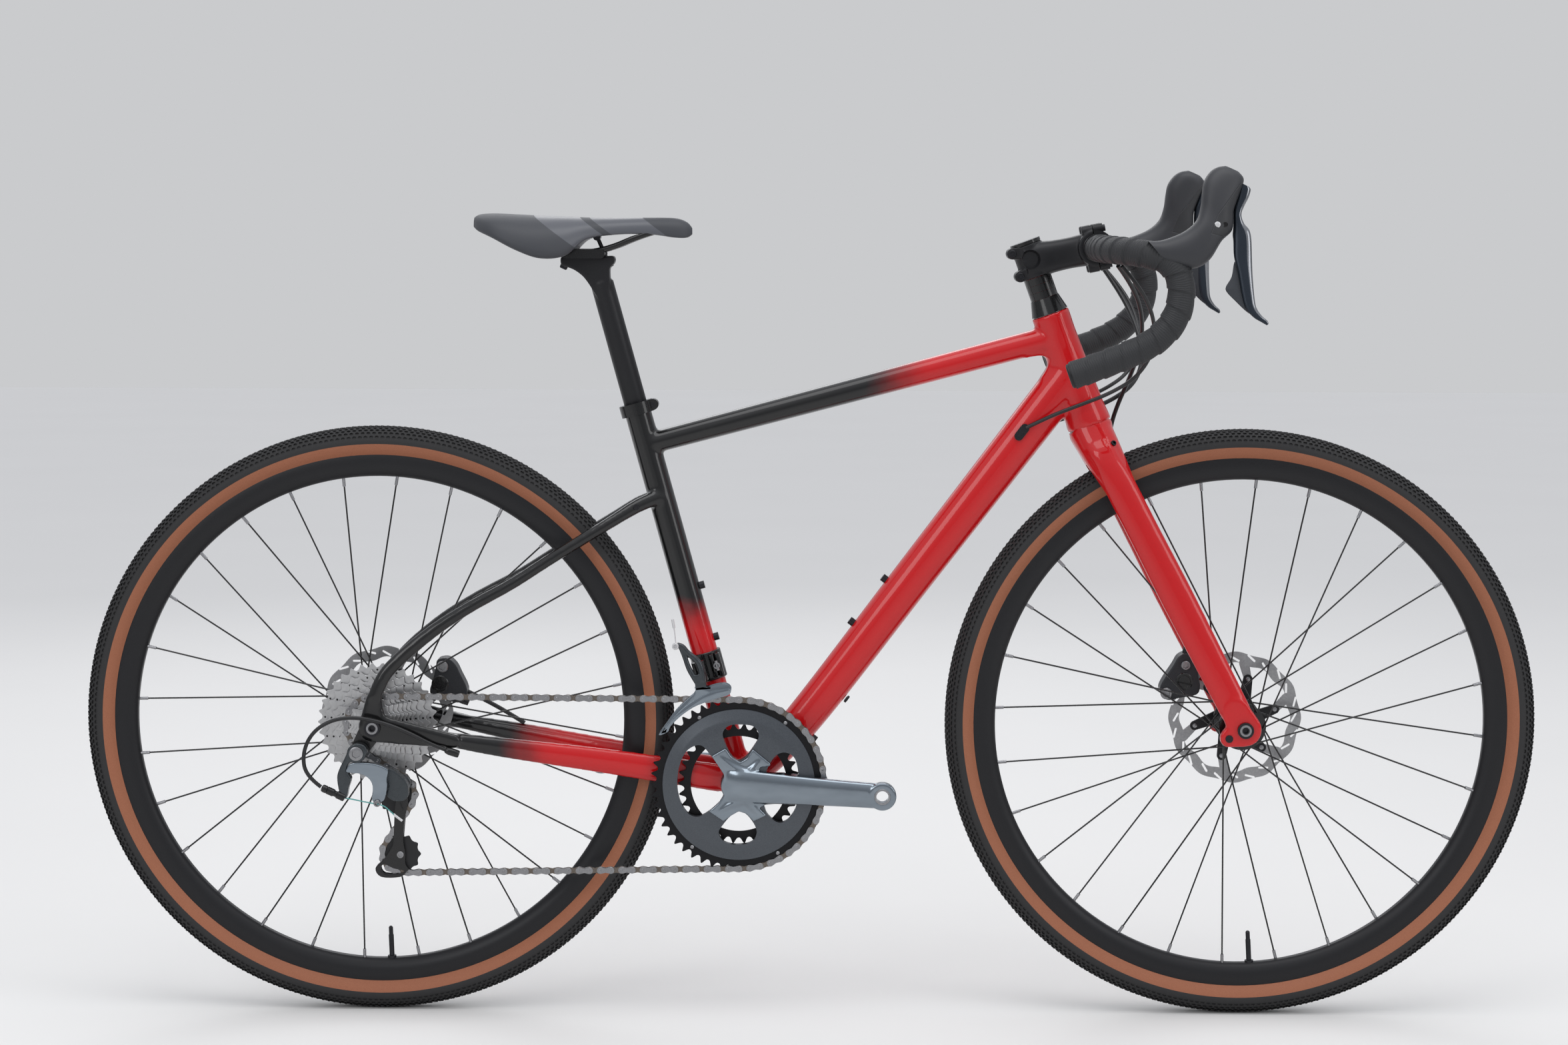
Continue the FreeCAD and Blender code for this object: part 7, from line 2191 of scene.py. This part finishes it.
    def parallel_link(self) -> None:
        """Link with its cable bolt."""
        shape, bolt = Shape(), Shape()
        shape.prism(rounded(self.link), *self.link_places)
        piece = melted(shape.piece("parallel_link", POLISHED), 0.8, 5)
        fitted(piece, "link", "polished_alloy", "derailleur_link")
        socket_bolt(bolt, Vector(self.cable_bolt), -ACROSS, *self.cable_head)
        fitted(bolt.piece("cable_clamp_bolt", STEEL), "link", "polished_alloy", "derailleur_link")

    def lower_knuckle(self) -> None:
        """Knuckle that carries the cage."""
        lower = Shape()
        lower.prism(rounded(self.lower), *self.lower_places)
        lower.drum(*self.lower_boss, side_point(self.lower_pivot), ACROSS, 32)
        piece = melted(lower.piece("lower_knuckle_body", GREY_ALLOY), 0.9, 6)
        fitted(piece, "lower_knuckle", "black_metal", "cage_knuckle")

    def inner_cable(self) -> None:
        """Bare cable to the clamp bolt, its tail and the cap on it."""
        cap = [Vector(spot) for spot in self.tail_cap]
        for name, body, path, radius, count, finish in (
                ("inner_cable_tail", "link", line_points("cable_tail", self.tail), self.cable, 10, TEAL),
                ("cable_end_cap", "link", cap, self.cable_cap, 12, WHITE_CAP),
                ("inner_cable_run", "frame", line_points("cable_run", self.run), self.cable, 10, TEAL)):
            shape = Shape()
            shape.wire(path, radius, count)
            fitted(shape.piece(name, finish, angle=40), body, "steel")

    def chain_cage(self) -> None:
        """Slim outer and inner plates with an open foot, the pulleys and their bolts."""
        outer, inner = LAY.cog_place - self.plate_gap, LAY.cog_place + self.plate_gap
        for name, low, high in (("outer", outer - self.plate, outer), ("inner", inner, inner + self.plate)):
            shape, tool = Shape(), Shape()
            shape.prism(rounded(self.cage, 4), low, high)
            tool.prism(rounded(self.window), low - 5, high + 5)
            piece = bored(shape.piece(name + "_cage_plate", GLOSS_BLACK), tool)
            fitted(eased(piece, self.plate_ease), "chain_cage", "black_gloss", "derailleur_cage")
        bolts = Shape()
        for name, axle in (("tension", LAY.tension), ("guide", LAY.guide)):
            wheel = Shape()
            toothed(wheel, axle, LAY.pulley_teeth, self.pulley_inner, LAY.cog_place, self.pulley_thickness,
                    self.pulley_tip)
            wheel.lathe([(2.7, outer + 0.5), (5.2, outer + 0.5), (5.6, inner - 1.5), (5.2, inner - 0.5),
                         (2.7, inner - 0.5)], axle, ACROSS, 24)
            piece = wheel.piece(name + "_pulley_wheel", BLACK_PLASTIC)
            fitted(piece, name + "_wheel", "black_plastic", name + "_pulley")
            socket_bolt(bolts, placed(axle, outer - self.plate), -ACROSS, *self.pulley_bolt)
            bolts.drum(self.pulley_pin, outer, inner, axle, ACROSS, 20)
        fitted(bolts.piece("pulley_bolts", STEEL), "chain_cage", "bolt_steel", "derailleur_cage")

    def build(self) -> None:
        """Makes the derailleur."""
        self.upper_knuckle()
        self.parallel_link()
        self.inner_cable()
        self.lower_knuckle()
        self.chain_cage()


@dataclass
class FrontDerailleur:
    """Band clamp, swinging arm, polished cage and cable end."""

    plate: Spots = (
        (-177.6, 340.5), (-168.1, 354.9), (-156.3, 370.8), (-144.5, 382.8), (-136.7, 389.2), (-134.3, 394.0),
        (-134.3, 398.7), (-121.0, 398.0), (-109.2, 401.2), (-99.0, 402.1), (-92.7, 398.1), (-92.7, 391.4),
        (-97.4, 387.6), (-106.8, 385.2), (-120.9, 380.4), (-136.7, 373.7), (-152.4, 362.5), (-164.2, 350.3),
        (-166.6, 344.6))
    ridge: Spots = (
        (-172.0, 345.5), (-160.0, 361.5), (-146.0, 375.0), (-130.0, 385.5), (-112.0, 393.5), (-96.5, 396.5),
        (-94.5, 392.5), (-106.8, 386.4), (-120.9, 381.6), (-136.7, 375.0), (-152.4, 364.0), (-164.2, 351.8))
    front_bridge: Spots = ((-134, 394), (-134, 398.4), (-116, 398.4), (-116, 395.6))
    rear_bridge: Spots = ((-175.6, 341.8), (-170.5, 350), (-167.5, 348), (-168.6, 343.5))
    outer_places: Pair = (-53.6, -52.2)
    ridge_places: Pair = (-54.6, -53.0)
    inner_places: Pair = (-42.0, -40.6)
    plate_ease: float = 0.35
    right_arm: Table = (
        (-156, -50, 447.5), (-150, -50, 447), (-144, -51, 438), (-132, -52, 430), (-126.5, -52, 418),
        (-126, -52, 405))
    right_radius: float = 3.4
    left_arm: Table = (
        (-152, -50, 445), (-147, -50, 434), (-142.5, -51, 420), (-135.5, -52, 409), (-131, -52, 402))
    left_radius: float = 3.0
    arm_foot: Spots = ((-136.8, 411.7), (-124.2, 414.2), (-121.1, 398.5), (-133.7, 396.5))
    arm_foot_places: Pair = (-55.5, -44.0)
    cable_bolt: Spot = (-157.8, -52.2, 446.2)
    cable_head: Pair = (4.0, 3.0)
    wire: Table = ((-157.2, -53.5, 449), (-158.4, -53.5, 460), (-159.6, -53.5, 469))
    wire_radius: float = 0.7
    cap: Table = ((-159.5, -53.5, 468), (-160.3, -53.5, 473), (-161.1, -53.5, 478.4))
    cap_radius: float = 1.6
    band_low: float = 124.0
    band_high: float = 158.0
    band_radii: Spot = (16.0, 18.2, 18.9)
    band_lip: float = 0.8
    lug_height: float = 141.0
    lug_ahead: float = 11.0
    lug_shift: float = 3.6
    lug_half: float = 14.0
    lug_size: Spot = (-19.5, 4.5, 2.9)
    root_behind: float = 9.0
    root_half: float = 12.0
    root_size: Spot = (-30.0, 14.0, 8.0)
    lug_ease: float = 0.8
    nut_half: float = 6.0
    nut_size: Spot = (-25.2, 2.4, 2.6)
    clamp_head: Spot = (-24.0, 4.2, 4.0)

    def block(self, shape: Shape, ahead: float, half: float, size: Spot, count: int, power: float) -> None:
        """Adds a block along the seat tube.

        Args:
            shape: Shape that gets the block.
            ahead: Place ahead of the tube's axis.
            half: Half its height.
            size: Place across the bike and both half sizes.
            count: Points of its ring.
            power: Two for an oval, more for a boxier form.
        """
        middle = LAY.on_seat(self.lug_height) + LAY.seat_ahead * ahead
        rows = [(*placed(middle + LAY.seat_up * rise, size[0]), *size[1:]) for rise in (-half, half)]
        shape.rows(rows, count, power)

    def clamp(self) -> None:
        """Split band round the seat tube with its bolt."""
        band, lugs, bolt = Shape(), Shape(), Shape()
        low, high, lip = self.band_low, self.band_high, self.band_lip
        inner, edge, outer = self.band_radii
        profile = [(inner, low), (edge, low), (outer, low + lip), (outer, high - lip), (edge, high),
                   (inner, high)]
        band.lathe(profile, LAY.bb, LAY.seat_up, 56)
        fitted(band.piece("clamp_band", GLOSS_BLACK), "frame", "black_gloss", "front_derailleur_body")
        for shift in (-self.lug_shift, self.lug_shift):
            self.block(lugs, self.lug_ahead + shift, self.lug_half, self.lug_size, 20, 4.0)
        self.block(lugs, -self.root_behind, self.root_half, self.root_size, 24, 3.5)
        piece = eased(lugs.piece("clamp_lugs", GLOSS_BLACK), self.lug_ease)
        fitted(piece, "frame", "black_gloss", "front_derailleur_body")
        self.block(bolt, self.lug_ahead, self.nut_half, self.nut_size, 20, 2.0)
        place, radius, height = self.clamp_head
        middle = LAY.on_seat(self.lug_height) + LAY.seat_ahead * self.lug_ahead
        socket_bolt(bolt, placed(middle, place), -ACROSS, radius, height)
        fitted(bolt.piece("clamp_bolt", STEEL, angle=35), "frame", "bolt_steel", "front_derailleur_body")

    def swing(self) -> None:
        """Cage plates, arm and cable bolt."""
        plates, arm, metal = Shape(), Shape(), Shape()
        across = (self.outer_places[0], self.inner_places[1])
        plate, ridge = rounded(self.plate), rounded(self.ridge)
        front, rear = side_points(self.front_bridge), side_points(self.rear_bridge)
        for outline, places in ((plate, self.outer_places), (ridge, self.ridge_places),
                                (plate, self.inner_places), (front, across), (rear, across)):
            plates.prism(outline, *places)
        piece = eased(plates.piece("cage_plates", POLISHED), self.plate_ease)
        fitted(piece, "front_shifter", "polished_alloy", "front_derailleur_cage")
        for route, wide in ((self.right_arm, self.right_radius), (self.left_arm, self.left_radius)):
            path = line_points("arm_line", route, 8)
            arm.tube(path, lambda share, wide=wide: wide * (0.9 + 0.35 * share), 14)
        arm.prism(side_points(self.arm_foot), *self.arm_foot_places)
        piece = melted(arm.piece("swing_arm", GREY_ALLOY), 0.8, 4)
        fitted(piece, "front_shifter", "polished_alloy", "front_derailleur_cage")
        socket_bolt(metal, Vector(self.cable_bolt), -ACROSS, *self.cable_head)
        metal.wire([Vector(spot) for spot in self.wire], self.wire_radius)
        metal.wire([Vector(spot) for spot in self.cap], self.cap_radius, 12)
        piece = metal.piece("front_cable_end", WHITE_CAP, angle=35)
        fitted(piece, "front_shifter", "bolt_steel", "front_derailleur_cage")

    def build(self) -> None:
        """Makes the derailleur."""
        self.clamp()
        self.swing()


@dataclass
class Cockpit:
    """Stem with its dished side, and its bolts."""

    neck: Table = (
        (-0.1, 20.4, 20.5), (0.15, 20.0, 20.5), (0.36, 17.4, 18.8), (0.62, 16.6, 18.2), (0.9, 20.5, 19.5))
    neck_power: float = 3.0
    rear_clamp: Spot = (18.4, 0.2, 39.8)
    rear_bolts: Spots = ((236.4, 907.5), (246.0, 880.8))
    rear_head: Spot = (-16.2, 4.6, 2.6)
    lug_radius: float = 6.6
    lug_half: float = 16.0
    lug_level: float = 894.0
    lug_share: float = 0.9
    bar_clamp: Spot = (20.9, -23.0, 23.0)
    ear: Spot = (6.2, -13.0, 6.0)
    ear_rise: float = 21.5
    ear_place: float = 15.0
    dish: Pair = (257.2, 901.2)
    dish_profile: Spots = ((13.5, -26), (11.5, -18.6), (9.0, -14.9))
    bar_bore: Spots = ((15.8, -40), (15.8, 40))
    face_cut: Spots = ((60, -0.6), (60, 60))

    def body(self) -> None:
        """Neck with both clamps, their lugs and the dish in each side."""
        shape = Shape()
        middle, centre = LAY.stem, LAY.bar
        rows = [(*(middle + (centre - middle) * share), wide, deep) for share, wide, deep in self.neck]
        shape.rows(spline(rows, 6), 36, self.neck_power)
        shape.drum(*self.rear_clamp, LAY.on_steerer(LAY.stem_low), LAY.steer_up, 48)
        for spot in self.rear_bolts:
            root = middle + LAY.steer_up * (spot[1] - self.lug_level) * self.lug_share
            outline = pill_outline(side_point(spot), root, self.lug_radius, self.lug_radius)
            shape.prism(outline, -self.lug_half, self.lug_half)
        way = (centre - middle).normalized()
        over = Vector((-way.z, 0, way.x))
        shape.drum(*self.bar_clamp, centre, ACROSS, 48)
        for rise in (-self.ear_rise, self.ear_rise):
            for place in (-self.ear_place, self.ear_place):
                shape.drum(*self.ear, placed(centre + over * rise, place), way, 24)
        piece = melted(shape.piece("stem_body", SATIN_BLACK), 1.1, 5)
        dish = side_point(self.dish)
        for profile, origin, axis in ((self.dish_profile, dish, ACROSS), (self.dish_profile, dish, -ACROSS),
                                      (self.bar_bore, centre, ACROSS), (self.face_cut, centre, way)):
            drilled(piece, profile, origin, axis)
        fitted(piece, "steering", "black_metal", "stem")

    def build(self) -> None:
        """Stem body, faceplate and bolts."""
        self.body()
        fitted(copied("stem_faceplate", SATIN_BLACK), "steering", "black_metal", "stem_faceplate")
        fitted(copied("steering_bolts", DARK_BOLT), "steering", "bolt_steel", "steering_bolts")
        heads = Shape()
        place, radius, height = self.rear_head
        for spot in self.rear_bolts:
            socket_bolt(heads, placed(side_point(spot), place), -ACROSS, radius, height)
        fitted(heads.piece("stem_clamp_bolts", DARK_BOLT), "steering", "bolt_steel", "steering_bolts")


@dataclass
class Seatpost:
    """Post whose head flares into a cradle, with its clamp bolts."""

    head: Spots = (
        (-247.0, 850.0), (-255.0, 860.0), (-261.2, 869.6), (-268.2, 878.9), (-276.4, 885.5), (-284.2, 889.4),
        (-293.6, 892.5), (-295.2, 898.8), (-292.0, 902.7), (-264.5, 905.7), (-248.8, 902.9), (-233.1, 903.7),
        (-231.5, 895.9), (-237.0, 889.6), (-237.4, 881.7), (-237.0, 868.0), (-240.0, 852.0))
    head_half: float = 12.4
    post: Spots = ((13.2, -110.0), (13.6, -109.4), (13.6, 112.0))
    collar: Spot = (13.7, 96.0, 150.0)
    bolts: Tuple[Spots, ...] = (((-252.6, 926.0), (-238.6, 894.0)), ((-276.0, 926.0), (-291.5, 892.0)))
    bolt_radius: float = 2.4
    bolt_head: Pair = (4.6, 4.0)
    nut: Spot = (4.4, -9.0, 9.0)

    def build(self) -> None:
        """Makes the post and its bolts."""
        tube, head, bolts = Shape(), Shape(), Shape()
        top = LAY.on_seat(LAY.seat_length)
        tube.lathe(self.post, top, LAY.seat_up, 48, False)
        fitted(tube.piece("post_tube", SATIN_BLACK, angle=40), "seat", "black_metal", "seatpost")
        head.prism(rounded(self.head), -self.head_half, self.head_half)
        head.drum(*self.collar, top, LAY.seat_up, 48)
        piece = melted(head.piece("post_head", SATIN_BLACK), 1.1, 12)
        fitted(piece, "seat", "black_metal", "seatpost")
        for node in ("saddle_clamp", "saddle_rails"):
            fitted(copied(node, GLOSS_BLACK), "seat", "black_metal", node)
        for ends in self.bolts:
            first, last = side_points(ends)
            bolts.wire([first, (first + last) / 2, last], self.bolt_radius, 14)
            socket_bolt(bolts, last, (last - first).normalized(), *self.bolt_head)
            bolts.drum(*self.nut, first, ACROSS, 20)
        fitted(bolts.piece("saddle_bolts", DARK_BOLT), "seat", "black_metal", "saddle_clamp")


@dataclass
class Caliper:
    """Disc caliper with its bolts, a round cover and its hose fitting."""

    name: str
    body: str
    axle: Vector
    place: float
    outline: Spots
    bolts: Table
    cover: Pair
    inlet: Tuple[Spot, Spot]
    inner_half: float = 12.0
    outer_half: float = 14.0
    slot_half: float = 3.0
    roof: float = 82.0
    bolt_seat: float = 0.4
    bolt_height: float = 4.0
    cover_profile: Spots = ((10.5, 1.0), (10.5, -0.5), (9.6, -1.1), (7.5, -1.1), (7.0, -0.6))
    fitting: Spots = ((4.4, 0), (4.4, 0.6), (3.4, 1))

    def fit(self, piece: Object, slot: str) -> None:
        """Sets a piece of the caliper on its body."""
        fitted(piece, self.body, slot, self.name + "_caliper")

    def build(self) -> None:
        """Makes the caliper."""
        shape, metal, dark = Shape(), Shape(), Shape()
        low, high = self.place - self.inner_half, self.place + self.outer_half
        shape.prism(rounded(self.outline), low, high)
        piece = melted(shape.piece(self.name + "_caliper_body", CALIPER_GREY), 0.9, 6)
        slot = [(self.roof, self.place - self.slot_half), (self.roof, self.place + self.slot_half)]
        self.fit(drilled(piece, slot, self.axle, ACROSS, 64), "black_metal")
        for x, z, radius in self.bolts:
            socket_bolt(metal, Vector((x, low + self.bolt_seat, z)), -ACROSS, radius, self.bolt_height)
        self.fit(metal.piece(self.name + "_caliper_bolts", STEEL), "bolt_steel")
        cover = [(radius, low + rise) for radius, rise in self.cover_profile]
        dark.lathe(cover, side_point(self.cover), ACROSS, 32, False)
        start, stop = (Vector(spot) for spot in self.inlet)
        reach = stop - start
        fitting = [(radius, reach.length * share) for radius, share in self.fitting]
        dark.lathe(fitting, start, reach.normalized(), 20, False)
        self.fit(dark.piece(self.name + "_caliper_cover", GLOSS_BLACK), "black_metal")


@dataclass
class Dressed:
    """Pieces whose form is already right, with their finishes."""

    looks: Tuple[Tuple[str, Finish, str], ...] = (
        ("headset_bearings", STEEL, "steel"),
        ("bottom_bracket_cups", GLOSS_BLACK, "black_gloss"),
        ("derailleur_hanger", GLOSS_BLACK, "black_gloss"),
        ("seat_clamp", GLOSS_BLACK, "black_gloss"),
        ("frame_fittings", DARK_BOLT, "bolt_steel"),
        ("rear_axle", DARK_BOLT, "black_metal"),
        ("front_axle", DARK_BOLT, "black_metal"),
        ("headset_spacers", GLOSS_BLACK, "black_gloss"),
        ("handlebar", SATIN_BLACK, "black_metal"))
    rear_end: float = -82.6
    front_end: float = -66.6
    ring: Spots = ((4.4, 1.0), (4.4, -0.5), (6.8, -0.5), (7.4, 0.4))

    def build(self) -> None:
        """Dresses each piece."""
        for node, finish, slot in self.looks:
            fitted(copied(node, finish), frame["nodes"][node]["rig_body"], slot, node)
        for name, body, axle, place in (("rear", "frame", LAY.rear_axle, self.rear_end),
                                        ("front", "steering", LAY.front_axle, self.front_end)):
            ring = Shape()
            ring.lathe([(radius, place + rise) for radius, rise in self.ring], axle, ACROSS, 32)
            fitted(ring.piece(name + "_axle_ring", STEEL), body, "black_metal", name + "_axle")


@dataclass
class Studio:
    """Pale floor, pale surround and soft lamps."""

    floor_colour: Colour = shade(226, 225, 223)
    floor_shade: float = 0.985
    floor_grain: float = 1.5
    floor_rough: float = 0.75
    floor_size: float = 14.0
    wall_colour: Colour = shade(202, 203, 205)
    fill_colour: Colour = (0.93, 0.95, 1.0, 1.0)
    fill_rise: Pair = (-0.1, 0.7)
    fill_strength: Pair = (0.34, 0.92)
    boxes: Tuple[Tuple[str, Spot, Spot, Pair, float], ...] = (
        ("top_box", (0.2, -0.8, 3.4), (0, 0, 0.5), (3.2, 2.0), 38),
        ("front_box", (-2.2, -3.2, 2.2), (0, 0, 0.6), (1.6, 1.6), 21),
        ("side_box", (3.0, -2.0, 1.8), (0.2, 0, 0.6), (1.2, 1.8), 16),
        ("back_box", (-0.6, 3.2, 2.4), (0, 0, 0.7), (2.6, 1.4), 19))

    def floor(self) -> None:
        """Wide floor under the wheels."""
        graph = Graph("pale_floor")
        low = tuple(v * self.floor_shade for v in self.floor_colour[:3]) + (1.0,)
        cloud = graph.span(graph.noise(self.floor_grain), 0, 1)
        graph.dress("Base Color", graph.mix(cloud, self.floor_colour, low))
        graph.dress("Roughness", self.floor_rough)
        mesh = bpy.data.meshes.new("floor")
        size = self.floor_size
        corners = [(-size, -size, 0), (size, -size, 0), (size, size, 0), (-size, size, 0)]
        mesh.from_pydata(corners, [], [(0, 1, 2, 3)])
        mesh.materials.append(graph.material)
        shown("floor", mesh)

    def surround(self) -> None:
        """Pale surround for the camera, softer light for the rest."""
        world = bpy.data.worlds.new("surround")
        world.use_nodes = True
        bpy.context.scene.world = world
        world.node_tree.nodes.clear()
        graph = Nodes(world.node_tree)
        rays = graph.add("ShaderNodeLightPath", {}).outputs["Is Camera Ray"]
        spot = graph.add("ShaderNodeTexCoord", {}).outputs["Generated"]
        height = graph.add("ShaderNodeSeparateXYZ", {0: spot}).outputs[2]
        steps = dict(enumerate((height, *self.fill_rise, *self.fill_strength)))
        strength = graph.add("ShaderNodeMapRange", steps).outputs[0]
        seen = graph.add("ShaderNodeBackground", {0: self.wall_colour, 1: 1.0}).outputs[0]
        fill = graph.add("ShaderNodeBackground", {0: self.fill_colour, 1: strength}).outputs[0]
        mix = graph.add("ShaderNodeMixShader", {0: rays, 1: fill, 2: seen}).outputs[0]
        graph.add("ShaderNodeOutputWorld", {0: mix})

    def lamps(self) -> None:
        """Soft boxes above and at the sides."""
        for name, place, aim, size, power in self.boxes:
            data = bpy.data.lights.new(name, "AREA")
            data.shape = "RECTANGLE"
            data.size, data.size_y = size
            data.energy = power
            way = Vector(aim) - Vector(place)
            turn = way.to_track_quat("-Z", "Y").to_matrix().to_4x4()
            shown(name, data).matrix_world = Matrix.Translation(place) @ turn

    def build(self) -> None:
        """Sets up the studio."""
        bpy.context.scene.view_settings.view_transform = "Standard"
        self.floor()
        self.surround()
        self.lamps()


WHEELS = (
    Wheel(name="front", axle=LAY.front_axle, turn=3.3, right_flange=33, left_flange=22, half=LAY.front_half,
          rotor_place=40, right_end=LAY.front_half - 0.5),
    Wheel(name="rear", axle=LAY.rear_axle, turn=2.1, right_flange=19, left_flange=34, half=LAY.rear_half,
          rotor_place=56, right_end=34.0))
CALIPERS = (
    Caliper(name="front", body="steering", axle=LAY.front_axle, place=40.0, outline=(
        (421.2, 384.6), (424.3, 395.9), (436.8, 415.4), (443.0, 425.9), (452.6, 430.0), (464.6, 426.0),
        (466.4, 413.9), (467.4, 401.8), (469.1, 389.7), (465.3, 379.9), (445.3, 375.8), (429.4, 373.3)),
            bolts=((428.5, 381.4, 7.0), (451.2, 415.4, 5.6)), cover=(450.0, 396.0),
            inlet=((452, 40, 427), (455, 40, 441))),
    Caliper(name="rear", body="frame", axle=LAY.rear_axle, place=56.0, outline=(
        (-459.6, 375.4), (-455.4, 392.5), (-452.1, 407.2), (-450.4, 415.3), (-442.3, 417.8), (-435.1, 416.2),
        (-427.8, 408.9), (-423.1, 399.2), (-414.3, 379.7), (-417.6, 366.6), (-428.1, 363.3),
        (-447.5, 368.9)),
            bolts=((-443.8, 407.5, 7.0),), cover=(-447.0, 386.0),
            inlet=((-430, 58, 368), (-414, 58, 361))))


def main() -> None:
    """Builds every sub-assembly in order."""
    logging.basicConfig(level=logging.INFO, format="%(message)s")
    for assembly in (View(), Cords(), FrameShell(), Fork(), *WHEELS, Chain(), BarTape(), Saddle(), Controls(),
                     Crankset(), Cassette(), RearDerailleur(), FrontDerailleur(), Cockpit(), Seatpost(),
                     *CALIPERS, Dressed(), Studio()):
        assembly.build()


if __name__ == "__main__":
    main()
